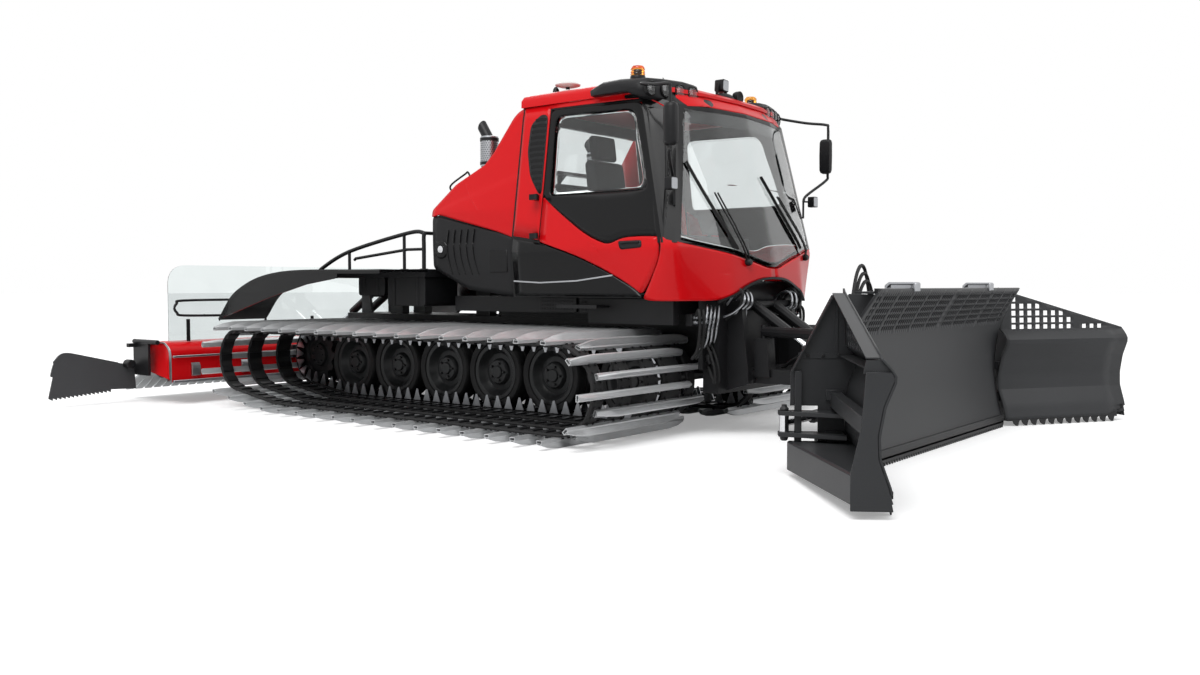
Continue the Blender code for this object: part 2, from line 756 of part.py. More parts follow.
def make_chassis(root):
    """Hull between the tracks, platform, front crossmember and the ears at both ends."""
    hull = slab("hull", (
        (HULL_REAR, HULL_BOTTOM + HULL_RISE), (HULL_REAR + HULL_RISE, HULL_BOTTOM),
        (HULL_FRONT - HULL_RISE, HULL_BOTTOM), (HULL_FRONT, HULL_BOTTOM + HULL_RISE),
        (HULL_FRONT, HULL_TOP), (HULL_REAR, HULL_TOP)), "XZ", -HULL_HALF, HULL_HALF)
    pedestal = box("pedestal", (PLATFORM_REAR + SINK, -HULL_HALF + SINK, HULL_TOP - SINK),
                   (PLATFORM_FRONT - SINK, HULL_HALF - SINK, PLATFORM_BOTTOM + SINK))
    platform = box("platform", (PLATFORM_REAR, -PLATFORM_HALF, PLATFORM_BOTTOM),
                   (PLATFORM_FRONT, PLATFORM_HALF, PLATFORM_TOP))
    crossmember = box("crossmember", (HULL_FRONT - SINK, -CROSSMEMBER_HALF, CROSSMEMBER_BOTTOM),
                      (CROSSMEMBER_FRONT, CROSSMEMBER_HALF, CROSSMEMBER_TOP))
    join(hull, pedestal, platform, crossmember)
    legs = []
    for side in (-1, 1):
        for x in (DECK_REAR + DECK_LEG_HALF * 2, DECK_FRONT - DECK_LEG_HALF * 2):
            legs.append(box("leg", (x - DECK_LEG_HALF, side * HULL_HALF / 2 - DECK_LEG_HALF / 2, HULL_TOP - SINK),
                            (x + DECK_LEG_HALF, side * HULL_HALF / 2 + DECK_LEG_HALF / 2,
                             DECK_TOP - DECK_THICK - SEAT_GAP)))
        plate = side * SIDE_PLATE_HALF
        legs.append(box("side_plate", (SIDE_PLATE_REAR, min(plate, plate - side * SIDE_PLATE_THICK * 4),
                                       SIDE_PLATE_BOTTOM),
                        (PLATFORM_FRONT + SINK, max(plate, plate - side * SIDE_PLATE_THICK * 4),
                         PLATFORM_TOP - SINK)))
        ear = side * (EAR_HALF + EAR_THICK / 2)
        legs.append(slab("front_ear", (
            (CROSSMEMBER_FRONT - SINK, LIFT_Z - EAR_THICK * 2), (LIFT_X + EAR_THICK, LIFT_Z - EAR_THICK),
            (LIFT_X + EAR_THICK, LIFT_Z + EAR_THICK), (LIFT_PIN_X + EAR_THICK, LIFT_PIN_Z - EAR_THICK),
            (LIFT_PIN_X + EAR_THICK, LIFT_PIN_Z + EAR_THICK / 2), (LIFT_PIN_X - EAR_THICK, LIFT_PIN_Z + EAR_THICK / 2),
            (CROSSMEMBER_FRONT - SINK, CROSSMEMBER_TOP - EAR_THICK)), "XZ",
            ear - EAR_THICK / 2, ear + EAR_THICK / 2))
        back = side * (HULL_HALF / 2 + EAR_THICK * 2)
        legs.append(slab("rear_ear", (
            (HULL_REAR + SINK, TILLER_HINGE_Z - EAR_THICK * 2), (HULL_REAR + SINK, HULL_TOP - EAR_THICK),
            (TILLER_HINGE_X - EAR_THICK, HULL_TOP - EAR_THICK * 2),
            (TILLER_HINGE_X - EAR_THICK, TILLER_HINGE_Z - EAR_THICK)), "XZ",
            back - EAR_THICK / 2, back + EAR_THICK / 2))
        y = side * (TILLER_CYLINDER_Y + BARREL_RADIUS + EAR_THICK / 2 + SEAT_GAP)
        legs.append(slab("tiller_ear", (
            (TILLER_PIN_X - EAR_THICK, HULL_TOP - SINK), (TILLER_PIN_X + EAR_THICK * 2, HULL_TOP - SINK),
            (TILLER_PIN_X + EAR_THICK, TILLER_PIN_Z + EAR_THICK), (TILLER_PIN_X - EAR_THICK, TILLER_PIN_Z
             + EAR_THICK)), "XZ", y - EAR_THICK / 4, y + EAR_THICK / 4))
    for leg in legs:
        join(hull, leg)
    piece(hull, "chassis_frame", "black_steel", root)


def cab_section(row, wall=0.0):
    """One closed section of the cab as points in plan, from its rear left corner round."""
    height, half, side_x, corner_x, corner_half, mid_x, mid_half, tip_x = row
    z = CAB_BOTTOM + CAB_HEIGHT * height
    right = (
        (0, half), (side_x, half), (corner_x, corner_half), (mid_x, mid_half), (tip_x, 0),
    )
    left = [(CAB_REAR + CAB_LENGTH * x, CAB_HALF * y, z) for x, y in right]
    return left + [(x, -y, z) for x, y, z in reversed(left[:-1])]


def cab_skin(name, thickness):
    """The cab's side walls as a skin of a given thickness, open above and below."""
    bm = bmesh.new()
    rings = [[bm.verts.new(point) for point in cab_section(row)] for row in CAB_SECTION_SHARES]
    for low, high in zip(rings, rings[1:]):
        for k in range(len(low)):
            following = (k + 1) % len(low)
            bm.faces.new((low[k], low[following], high[following], high[k]))
    skin = from_bmesh(name, bm)
    solid = skin.modifiers.new("wall", "SOLIDIFY")
    solid.thickness = thickness
    solid.offset = -1
    solid.use_even_offset = True
    return skin


def door_prism(name, shares, gap, low, high):
    outline = spread(shares, (CAB_REAR, CAB_BOTTOM), (CAB_LENGTH, CAB_HEIGHT))
    return slab(name, grown(outline, gap), "XZ", low, high)


def front_prism(name, shares, gap, low, high):
    outline = mirrored(spread(shares, (0, CAB_BOTTOM), (CAB_HALF, CAB_HEIGHT)))
    return slab(name, grown(outline, gap), "YZ", low, high)


def door_hinge(thing, side, low, way):
    """Half a door hinge: a knuckle on the axis and a lug into the wall in front of or behind it."""
    high = low + DOOR_KNUCKLE_LENGTH
    axis = (DOOR_HINGE_X, side * HINGE_Y)
    join(thing, bar("knuckle", (*axis, low), (*axis, high), DOOR_KNUCKLE))
    near, far = sorted((DOOR_HINGE_X, DOOR_HINGE_X + way * DOOR_LUG_REACH))
    inner, outer = sorted((side * (HINGE_Y - DOOR_KNUCKLE / 2), side * (HINGE_Y + DOOR_KNUCKLE / 2)))
    join(thing, box("strap", (near, inner, low + SEAT_GAP), (far, outer, high - SEAT_GAP)))
    near, far = sorted((DOOR_HINGE_X + way * DOOR_LUG_REACH / 2, DOOR_HINGE_X + way * DOOR_LUG_REACH))
    inner, outer = sorted((side * (HINGE_Y - DOOR_LUG_INWARD), side * HINGE_Y))
    join(thing, box("lug", (near, inner, low + SEAT_GAP), (far, outer, high - SEAT_GAP)))


def make_cab(root):
    """Shell, nose, windows and doors, all cut from the same skin."""
    wide = CAB_HALF + OVERRUN
    front = CAB_REAR + CAB_LENGTH + OVERRUN * 2
    middle = CAB_REAR + CAB_LENGTH * 0.6
    shell = cab_skin("cab_shell", CAB_WALL)
    floor_half = CAB_HALF * CAB_SECTION_SHARES[0][1] - CAB_WALL / 2
    floor = box("floor", (CAB_REAR + CAB_WALL / 2, -floor_half, CAB_BOTTOM),
                (CAB_REAR + CAB_LENGTH * NOSE_SEAM_SHARES[0][0] - RUN_GAP, floor_half, CAB_BOTTOM + FLOOR_THICK))
    join(shell, floor)
    cut(shell,
        door_prism("doorway", DOOR_SHARES, 0, -wide, wide),
        door_prism("nose_cut", NOSE_SEAM_SHARES, 0, -wide, wide),
        front_prism("windshield_cut", WINDSHIELD_SHARES, 0, middle, front),
        front_prism("rear_window_cut", REAR_WINDOW_SHARES, 0, CAB_REAR - OVERRUN, CAB_REAR + CAB_WALL + OVERRUN))

    nose = cab_skin("nose", CAB_WALL)
    keep(nose, door_prism("nose_keep", NOSE_SEAM_SHARES, -SEAT_GAP, -wide, wide))
    cut(nose, front_prism("nose_windshield", WINDSHIELD_SHARES, 0, middle, front),
        front_prism("nose_arch", NOSE_ARCH_SHARES, 0, middle, front))
    piece(nose, "nose", "red_paint", root)

    windshield = cab_skin("windshield", GLASS_THICK)
    keep(windshield, front_prism("windshield_keep", WINDSHIELD_SHARES, -SEAT_GAP, middle, front))
    piece(windshield, "windshield", "tinted_glass", root)

    rear = cab_skin("rear_window", GLASS_THICK)
    keep(rear, front_prism("rear_keep", REAR_WINDOW_SHARES, -SEAT_GAP, CAB_REAR - OVERRUN,
                           CAB_REAR + CAB_WALL + OVERRUN))
    piece(rear, "rear_window", "tinted_glass", root)

    for name, side in SIDES:
        hinge = empty("door_hinge_" + name, (DOOR_HINGE_X, side * HINGE_Y, CAB_BOTTOM), root)
        low, high = sorted((0, side * wide))
        door = cab_skin("door", CAB_WALL)
        keep(door, door_prism("door_keep", DOOR_SHARES, -DOOR_GAP, low, high))
        cut(door, door_prism("window_cut", DOOR_WINDOW_SHARES, 0, low, high))
        for share in DOOR_HINGE_SHARES:
            foot = CAB_BOTTOM + CAB_HEIGHT * share
            door_hinge(shell, side, foot, -1)
            door_hinge(door, side, foot + DOOR_KNUCKLE_LENGTH + SEAT_GAP, 1)
        piece(door, "door_" + name, "red_paint", hinge)
        glass = cab_skin("glass", GLASS_THICK)
        keep(glass, door_prism("window_keep", DOOR_WINDOW_SHARES, -SEAT_GAP, low, high))
        piece(glass, "door_glass_" + name, "tinted_glass", hinge)
    piece(shell, "cab_shell", "red_paint", root)


def make_roof(root):
    """Roof cap, light bar with its lamps and search light, and two beacons."""
    rim = [(x, y) for x, y, z in cab_section(CAB_SECTION_SHARES[-1])]
    roof = slab("roof", grown(rim, ROOF_OVERHANG), "XY", ROOF_BOTTOM, ROOF_TOP)
    bevel = roof.modifiers.new("edge", "BEVEL")
    bevel.width = ROOF_CHAMFER
    bevel.segments = 1
    bevel.limit_method = "ANGLE"
    bevel.angle_limit = math.radians(60)
    cut(roof, box("roof_split", (ROOF_SPLIT_X, -CAB_HALF - ROOF_OVERHANG, ROOF_BOTTOM - OVERRUN),
                  (ROOF_FRONT_X + OVERRUN, CAB_HALF + ROOF_OVERHANG, ROOF_TOP + OVERRUN)))
    join(roof, box("roof_pad", (ROOF_PAD_REAR, -ROOF_PAD_HALF, ROOF_TOP - SINK),
                   (ROOF_PAD_FRONT, ROOF_PAD_HALF, ROOF_TOP + ROOF_PAD_RISE)))
    piece(roof, "cab_roof", "black_plastic", root)
    for name, side in SIDES:
        beacon = bar("beacon", (0, side * BEACON_Y, ROOF_TOP + SEAT_GAP),
                     (0, side * BEACON_Y, ROOF_TOP + SEAT_GAP + BEACON_HEIGHT), BEACON_RADIUS, WHEEL_STEPS)
        piece(beacon, "beacon_" + name, "amber", root)


def make_engine_bay(root):
    """Black cover with the engine in it, the red cowl over both and the mufflers."""
    outline = spread(BAY_SHARES, (BAY_REAR, BAY_BOTTOM), (BAY_LENGTH, BAY_HEIGHT))
    cover = slab("engine_cover", outline, "XZ", -BAY_HALF, BAY_HALF)
    hollow = slab("bay_hollow", grown(outline, -BAY_WALL), "XZ", -BAY_HALF + BAY_WALL, BAY_HALF - BAY_WALL)
    opening = box("bay_opening", (PLATFORM_REAR - BAY_WALL, -PLATFORM_HALF - RUN_GAP, BAY_BOTTOM - OVERRUN * 2),
                  (BAY_REAR + BAY_LENGTH - BAY_WALL, PLATFORM_HALF + RUN_GAP, BAY_BOTTOM + BAY_HEIGHT / 3))
    cut(cover, hollow, opening)
    piece(cover, "engine_cover", "black_plastic", root)
    engine_x = (PLATFORM_REAR + CAB_REAR) / 2
    engine = box("engine_block", (engine_x - ENGINE_LENGTH / 2, -ENGINE_WIDTH / 2, PLATFORM_TOP + SEAT_GAP),
                 (engine_x + ENGINE_LENGTH / 2, ENGINE_WIDTH / 2, PLATFORM_TOP + SEAT_GAP + ENGINE_HEIGHT))
    piece(engine, "engine_block", "grey_steel", root)


def make_deck(root):
    """Cargo deck with its tanks and fenders, and the rail that stands on it."""
    deck = box("cargo_deck", (DECK_REAR, -DECK_HALF, DECK_TOP - DECK_THICK), (DECK_FRONT, DECK_HALF, DECK_TOP))
    fender_rear = DECK_FRONT - FENDER_LENGTH - OVERRUN
    top = spread(FENDER_SHARES, (fender_rear, DECK_TOP - FENDER_DROP), (FENDER_LENGTH, FENDER_DROP))
    sheet = top + [(x, z - FENDER_THICK) for x, z in reversed(top)]
    for side in (-1, 1):
        low, high = sorted((side * (DECK_HALF - SINK), side * FENDER_OUTER))
        join(deck, slab("fender", sheet, "XZ", low, high))
        low, high = sorted((side * (DECK_HALF - TANK_DEPTH), side * (DECK_HALF - SINK)))
        join(deck, box("tank", (DECK_FRONT - TANK_LENGTH, low, DECK_TOP - DECK_THICK - TANK_HEIGHT),
                       (DECK_FRONT - SINK, high, DECK_TOP - DECK_THICK + SINK)))
    inset = RAIL_RADIUS * 2
    join(deck, box("bed_floor", (RAIL_REAR + inset, -RAIL_HALF + inset, DECK_TOP - SINK),
                   (RAIL_FRONT - inset, RAIL_HALF - inset, DECK_TOP + BED_FLOOR_RISE)))
    piece(deck, "cargo_deck", "black_steel", root)


def make_cowl(root):
    """Red cowl that falls back from the cab roof over the engine, hollow and open below."""
    seam = spread(BAY_SHARES[3:6], (BAY_REAR, BAY_BOTTOM + SEAT_GAP), (BAY_LENGTH, BAY_HEIGHT))
    back = spread(COWL_SHARES, (BAY_REAR, BAY_BOTTOM + BAY_HEIGHT), (BAY_LENGTH, COWL_RISE))
    outline = seam + back
    cowl = slab("cowl", outline, "XZ", -BAY_HALF, BAY_HALF)
    hollow = slab("cowl_hollow", [
        (seam[0][0] + OVERRUN, seam[0][1] - OVERRUN), (back[-1][0] + OVERRUN, back[-1][1] - COWL_WALL * 2),
        (back[2][0] + COWL_WALL, back[2][1] - COWL_WALL * 2), (back[1][0] + COWL_WALL, back[1][1] - COWL_WALL),
        (seam[2][0] + COWL_WALL * 2, seam[2][1] - OVERRUN)], "XZ", -BAY_HALF + COWL_WALL, BAY_HALF - COWL_WALL)
    for shape in (cowl, hollow):
        for vert in shape.data.vertices:
            place = shape.matrix_basis @ vert.co
            lean = max(0, (place.z - BAY_BOTTOM - BAY_HEIGHT) / COWL_RISE)
            vert.co.z *= 1 - COWL_TAPER_SHARE * lean
    cut(cowl, hollow)
    piece(cowl, "cowl", "red_paint", root)


def make_mufflers(root):
    """Two upright mufflers with slanted outlets on one bracket behind the cab."""
    back = spread(COWL_SHARES, (BAY_REAR, BAY_BOTTOM + BAY_HEIGHT + SEAT_GAP * 2), (BAY_LENGTH, COWL_RISE))
    slope = (back[2][1] - back[1][1]) / (back[2][0] - back[1][0])
    foot = [(x, back[1][1] + (x - back[1][0]) * slope)
            for x in (MUFFLER_X - MUFFLER_BRACKET, MUFFLER_X + MUFFLER_BRACKET)]
    top = [(x, MUFFLER_BOTTOM + MUFFLER_BRACKET) for x, z in reversed(foot)]
    shelf = slab("shelf", foot + top, "XZ", -MUFFLER_Y, MUFFLER_Y)
    for side in (-1, 1):
        at = (MUFFLER_X, side * MUFFLER_Y, MUFFLER_BOTTOM)
        top = MUFFLER_HEIGHT + STACK_HEIGHT
        profile = ((0, top), (STACK_RADIUS, top), (STACK_RADIUS, MUFFLER_HEIGHT), (MUFFLER_RADIUS, MUFFLER_HEIGHT),
                   (MUFFLER_RADIUS, -SINK), (0, -SINK))
        join(shelf, turned("muffler", profile, "Z", at))
    piece(shelf, "mufflers", "bright_steel", root)


def make_roof_lights(root):
    """A brow in front of the roof cap with four lamps at each corner, and the search light on it."""
    rear = ROOF_SPLIT_X + SEAT_GAP
    half = spread(LIGHT_BAR_SHARES, (rear, 0), (LIGHT_BAR_DEPTH, LIGHT_BAR_HALF))
    outline = half + [(x, -y) for x, y in half[-2::-1]]
    top = ROOF_BOTTOM + LIGHT_BAR_HEIGHT
    light_bar = slab("light_bar", outline, "XY", ROOF_BOTTOM, top)
    lamp_z = ROOF_BOTTOM + LIGHT_BAR_HEIGHT / 2
    outer, inner = half[1], half[2]
    lamps = []
    for side in (-1, 1):
        for share in LAMP_PLACES:
            x = outer[0] + (inner[0] - outer[0]) * share
            y = side * (outer[1] + (inner[1] - outer[1]) * share)
            lamps.append(bar("lamp", (x - LAMP_DEPTH, y, lamp_z), (x + LAMP_DEPTH, y, lamp_z), LAMP_RADIUS))
    dome_x = rear + LIGHT_BAR_DEPTH * DOME_SHARE
    lamps.append(bar("dome", (dome_x, 0, lamp_z), (dome_x, 0, top + SEARCH_RISE), SEARCH_SIZE / 2 + SEARCH_RISE))
    join(light_bar, gather("lamps", lamps))
    join(light_bar, box("search", (dome_x - SEARCH_SIZE / 2, -SEARCH_SIZE / 2, top + SEARCH_RISE - SINK),
                        (dome_x + SEARCH_SIZE / 2, SEARCH_SIZE / 2, top + SEARCH_RISE + SEARCH_SIZE)))
    piece(light_bar, "light_bar", "black_plastic", root)


def make_interior(root):
    """Two seats and the driver's console on the cab floor."""
    floor = CAB_BOTTOM + FLOOR_THICK + SEAT_GAP
    for name, y in (("driver_seat", SEAT_SPACING), ("passenger_seat", -SEAT_SPACING)):
        low = y - SEAT_WIDTH / 2
        high = y + SEAT_WIDTH / 2
        cushion = slab(name, (
            (SEAT_X + SEAT_DEPTH, floor + SEAT_LIFT), (SEAT_X + SEAT_DEPTH, floor + SEAT_LIFT + SEAT_CUSHION),
            (SEAT_X + SEAT_CUSHION, floor + SEAT_LIFT + SEAT_CUSHION),
            (SEAT_X + SEAT_CUSHION / 3, floor + SEAT_LIFT + SEAT_BACK), (SEAT_X - SEAT_CUSHION / 2,
             floor + SEAT_LIFT + SEAT_BACK), (SEAT_X, floor + SEAT_LIFT)), "XZ", low, high)
        base = box("base", (SEAT_X + SEAT_CUSHION, y - SEAT_WIDTH / 4, floor),
                   (SEAT_X + SEAT_DEPTH - SEAT_CUSHION, y + SEAT_WIDTH / 4, floor + SEAT_LIFT + SINK))
        piece(join(cushion, base), name, "seat_cloth", root)
    console = box("console", (CONSOLE_X - CONSOLE_DEPTH, -CONSOLE_HALF, CONSOLE_BOTTOM),
                  (CONSOLE_X, CONSOLE_HALF, CONSOLE_TOP))
    leg = box("console_leg", (CONSOLE_X - CONSOLE_DEPTH, -CONSOLE_DEPTH / 2, floor),
              (CONSOLE_X - CONSOLE_DEPTH / 2, CONSOLE_DEPTH / 2, CONSOLE_BOTTOM + SINK))
    piece(join(console, leg), "console", "black_plastic", root)


def make_mirrors(root):
    """Mirrors on bent arms that run from the light bar's ends forward, down and back to the cab."""
    for name, side in SIDES:
        start = (ROOF_SPLIT_X + LIGHT_BAR_DEPTH * LIGHT_BAR_SHARES[1][0], LIGHT_BAR_HALF + SEAT_GAP,
                 ROOF_BOTTOM + MIRROR_ARM_RADIUS * 2)
        reach = (start[0] + MIRROR_FORWARD, start[1] + MIRROR_OUT, start[2] - MIRROR_DROP)
        top = start[2] - MIRROR_TOP_DROP
        low = top - MIRROR_HEIGHT
        back = [(reach[0] + x, reach[1] + y, low + z) for x, y, z in MIRROR_RETURN]
        arm = tube("arm", (start, (start[0], start[1] + MIRROR_OUT / 3, start[2]), reach, (reach[0], reach[1], low),
                           *back), MIRROR_ARM_RADIUS)
        glass = turned("mirror", ((0, top), (MIRROR_RADIUS, top), (MIRROR_RADIUS, low), (0, low)), "Z",
                       (reach[0], reach[1], 0))
        piece(on_side(applied(join(arm, glass)), side), "mirror_" + name, "black_plastic", root)


def make_rail(root):
    """Hoop rail that rises forward round the cargo deck, with uprights and a mid rail."""
    foot = DECK_TOP + SEAT_GAP
    line = spread(RAIL_SHARES, (RAIL_REAR, foot), (RAIL_FRONT - RAIL_REAR, RAIL_TOP - foot))
    right = [(RAIL_FRONT, -RAIL_HALF, foot)] + [(x, -RAIL_HALF, z) for x, z in reversed(line)]
    left = [(x, -y, z) for x, y, z in reversed(right)]
    rail = tube("bed_rail", right + left, RAIL_RADIUS)
    mid_z = foot + (RAIL_TOP - foot) * MID_RAIL_SHARE
    extras = []
    for side in (-1, 1):
        y = side * RAIL_HALF
        for x, z in line[:-1]:
            extras.append(bar("upright", (x, y, foot), (x, y, z), RAIL_RADIUS, 8))
        extras.append(bar("mid_rail", (line[1][0], y, mid_z), (RAIL_FRONT, y, mid_z), RAIL_RADIUS * 0.8, 8))
    join(rail, *extras)
    piece(rail, "bed_rail", "black_steel", root)


def cylinder_barrel(name, base, tip, length):
    """A barrel with its bore open towards the tip, from its pin at the base."""
    base = Vector(base)
    along = (Vector(tip) - base).normalized()
    turn = Matrix.Translation(base) @ along.to_track_quat("Z", "Y").to_matrix().to_4x4()
    bore = (ROD_RADIUS + PIN_GAP) / math.cos(math.pi / PIN_SIDES)
    profile = ((0, EYE_RADIUS * 2), (bore, EYE_RADIUS * 2), (bore, length), (BARREL_RADIUS, length),
               (BARREL_RADIUS, 0), (0, 0))
    barrel = turned(name, profile, "Z", (0, 0, 0))
    barrel.matrix_basis = turn
    return barrel


def cylinder_rod(name, base, tip, length):
    """The rod of a cylinder, ending at its pin at the tip."""
    base = Vector(base)
    tip = Vector(tip)
    along = (tip - base).normalized()
    return bar(name, tip - along * length, tip, ROD_RADIUS)


def make_blade(root):
    """Push frame, carrier, moldboard and wings, with the cylinders that move them."""
    lift = empty("blade_lift", (LIFT_X, 0, LIFT_Z), root)
    frame = bar("push_frame", (LIFT_X, -EAR_HALF + PIN_GAP, LIFT_Z), (LIFT_X, EAR_HALF - PIN_GAP, LIFT_Z),
                FORK_PLATE)
    fork_low = TILT_Z - FORK_GAP / 2
    fork_high = TILT_Z + FORK_GAP / 2
    arm_end = SWING_X - FORK_HALF
    wide = EAR_HALF - EAR_THICK
    beam = slab("beam", ((LIFT_X, wide), (LIFT_X, -wide), (LIFT_EYE_X + EAR_THICK, -wide * 0.9),
                         (arm_end, -FORK_HALF), (arm_end, FORK_HALF), (LIFT_EYE_X + EAR_THICK, wide * 0.9)),
                "XY", LIFT_Z - FORK_PLATE * 0.8, LIFT_Z + FORK_PLATE * 0.9)
    head = box("head", (arm_end - FORK_PLATE, -FORK_HALF, fork_low - FORK_PLATE),
               (arm_end + SINK, FORK_HALF, fork_high + FORK_PLATE))
    low_plate = box("low_plate", (arm_end, -FORK_HALF, fork_low - FORK_PLATE), (SWING_X + FORK_HALF / 2,
                    FORK_HALF, fork_low))
    high_plate = box("high_plate", (arm_end, -FORK_HALF, fork_high), (SWING_X + FORK_HALF / 2, FORK_HALF,
                     fork_high + FORK_PLATE))
    join(frame, beam, head, low_plate, high_plate)
    ears = []
    for side in (-1, 1):
        y = side * (LIFT_CYLINDER_Y + BARREL_RADIUS + EAR_THICK)
        ears.append(slab("lift_ear", (
            (LIFT_EYE_X - EAR_THICK * 2, LIFT_Z), (LIFT_EYE_X + EAR_THICK * 2, LIFT_Z),
            (LIFT_EYE_X + EAR_THICK * 0.6, LIFT_EYE_Z + EAR_THICK * 0.6),
            (LIFT_EYE_X - EAR_THICK * 0.6, LIFT_EYE_Z + EAR_THICK * 0.6)), "XZ", y - EAR_THICK / 3, y + EAR_THICK / 3))
        y = side * ANGLE_EAR_Y
        ears.append(slab("angle_ear", (
            (ANGLE_EAR_X - EAR_THICK, LIFT_Z), (ANGLE_EAR_X + EAR_THICK * 1.4, LIFT_Z),
            (ANGLE_EAR_X + EAR_THICK, CROSSBAR_Z + CROSSBAR_SIZE / 2),
            (ANGLE_EAR_X - EAR_THICK, CROSSBAR_Z + CROSSBAR_SIZE / 2)), "XZ", y - EAR_THICK, y + EAR_THICK))
    join(frame, *ears)
    hole = bar("swing_hole", (SWING_X, 0, fork_low - FORK_PLATE - OVERRUN), (SWING_X, 0, fork_high + FORK_PLATE
               + OVERRUN), (SWING_PIN + PIN_GAP / 2) / math.cos(math.pi / PIVOT_STEPS), PIVOT_STEPS)
    cut(frame, hole)
    piece(frame, "push_frame", "black_steel", lift)

    swing = empty("blade_swing", (SWING_X, 0, TILT_Z), lift)
    block = bar("carrier", (SWING_X, 0, fork_low - FORK_PLATE), (SWING_X, 0, CROSSBAR_Z), SWING_PIN, PIVOT_STEPS)
    hub = bar("hub", (SWING_X, 0, fork_low + RUN_GAP), (SWING_X, 0, fork_high - RUN_GAP), FORK_HALF * 0.7,
              WHEEL_STEPS)
    tilt_pin = bar("tilt_pin", (SWING_X, 0, TILT_Z), (SWING_X + TILT_PIN_LENGTH, 0, TILT_Z), SWING_PIN,
                   PIVOT_STEPS)
    crossbar = box("crossbar", (SWING_X - CROSSBAR_SIZE / 2, -CROSSBAR_HALF, CROSSBAR_Z - CROSSBAR_SIZE / 2),
                   (SWING_X + CROSSBAR_SIZE / 2, CROSSBAR_HALF, CROSSBAR_Z + CROSSBAR_SIZE / 2))
    join(block, hub, tilt_pin, crossbar)
    piece(block, "blade_carrier", "black_steel", swing)

    tilt = empty("blade_tilt", (SWING_X, 0, TILT_Z), swing)
    face = spread(BLADE_SHARES, (0, BLADE_EDGE_Z), (-BLADE_DEPTH, BLADE_HEIGHT))
    face = [(BLADE_LIP_X + x, z) for x, z in face]
    back = [(x - BLADE_PLATE, z) for x, z in face]
    sheet = face + back[::-1]
    back_x = WING_BASE_X - BLADE_BEAM
    plan_back = BLADE_HALF - (WING_AXIS_X - back_x) * math.tan(WING_BACK_MITRE)
    plan_front = BLADE_HALF - (BLADE_LIP_X + OVERRUN - WING_AXIS_X) * math.tan(WING_MITRE)
    plan = [(back_x, -plan_back), (WING_AXIS_X, -BLADE_HALF), (BLADE_LIP_X + OVERRUN, -plan_front),
            (BLADE_LIP_X + OVERRUN, plan_front), (WING_AXIS_X, BLADE_HALF), (back_x, plan_back)]
    board = slab("blade", sheet, "XZ", -BLADE_HALF, BLADE_HALF)
    frame_back = BLADE_BACK_X + SINK
    beam_top = BLADE_EDGE_Z + BLADE_HEIGHT * BLADE_SHARES[3][1]
    parts = [box("low_beam", (frame_back, -BLADE_HALF, BLADE_EDGE_Z + BLADE_BEAM),
                 (frame_back + BLADE_BEAM, BLADE_HALF, BLADE_EDGE_Z + BLADE_BEAM * 2)),
             box("high_beam", (frame_back, -BLADE_HALF, beam_top), (frame_back + BLADE_BEAM * 0.8,
                 BLADE_HALF, beam_top + BLADE_BEAM * 0.8)),
             box("boss", (BLADE_BACK_X - SINK, -BLADE_BEAM, BLADE_EDGE_Z + BLADE_BEAM * 1.2),
                 (frame_back + BLADE_BEAM * 0.7, BLADE_BEAM, beam_top + BLADE_BEAM * 0.5))]
    for side in (-1, 1):
        low, high = sorted((side * (WING_BASE_Y - BLADE_BEAM * 0.4), side * (WING_BASE_Y + BLADE_BEAM * 0.6)))
        for z in (WING_CYLINDER_Z - EYE_HALF - SEAT_GAP - BLADE_RIB_THICK, WING_CYLINDER_Z + EYE_HALF + SEAT_GAP):
            parts.append(box("wing_clevis", (WING_BASE_X - BLADE_BEAM / 2, low, z),
                             (frame_back + BLADE_BEAM, high, z + BLADE_RIB_THICK)))
    for y in BLADE_RIB_PLACES:
        for side in (-1, 1):
            rib_back = frame_back - SINK if y < BLADE_RIB_PLACES[-1] else frame_back + BLADE_BEAM / 2
            rib = [(rib_back, BLADE_EDGE_Z + BLADE_BEAM), (face[0][0] - BLADE_PLATE / 2, face[0][1] + SINK)]
            rib += [(x - BLADE_PLATE / 2, z) for x, z in face[1:-1]]
            rib += [(face[-1][0] - BLADE_PLATE / 2, face[-1][1] - BLADE_PLATE), (rib_back,
                    beam_top + BLADE_BEAM)]
            parts.append(slab("rib", rib, "XZ", side * y - BLADE_RIB_THICK / 2, side * y + BLADE_RIB_THICK / 2))
    join(board, *parts)
    keep(board, slab("blade_plan", plan, "XY", -OVERRUN, BLADE_EDGE_Z + BLADE_HEIGHT + OVERRUN))
    cut(board, bar("tilt_bore", (BLADE_BACK_X - OVERRUN, 0, TILT_Z), (SWING_X + TILT_PIN_LENGTH + RUN_GAP, 0,
                   TILT_Z), (SWING_PIN + PIN_GAP / 2) / math.cos(math.pi / PIVOT_STEPS), PIVOT_STEPS))
    for side in (-1, 1):
        at = (WING_AXIS_X, side * WING_AXIS_Y)
        cut(board, bar("knuckle_room", (*at, 0), (*at, BLADE_HEIGHT), KNUCKLE_RADIUS + RUN_GAP))
        for low, high in KNUCKLE_SHARES[0::2]:
            low = BLADE_EDGE_Z + BLADE_HEIGHT * low
            high = BLADE_EDGE_Z + BLADE_HEIGHT * high - SEAT_GAP
            join(board, bar("knuckle", (*at, low), (*at, high), KNUCKLE_RADIUS))
            inner, outer = sorted((at[1] - side * KNUCKLE_RADIUS * 0.6, side * (BLADE_HALF - BLADE_BEAM)))
            join(board, box("lug", (WING_AXIS_X - KNUCKLE_RADIUS * 0.8, inner, low),
                            (WING_AXIS_X + KNUCKLE_RADIUS + BLADE_PLATE / 2, outer, high)))
    piece(board, "blade", "grey_steel", tilt)

    for name, side in SIDES:
        make_wing(name, side, tilt)
    make_blade_cylinders(root, lift, tilt)


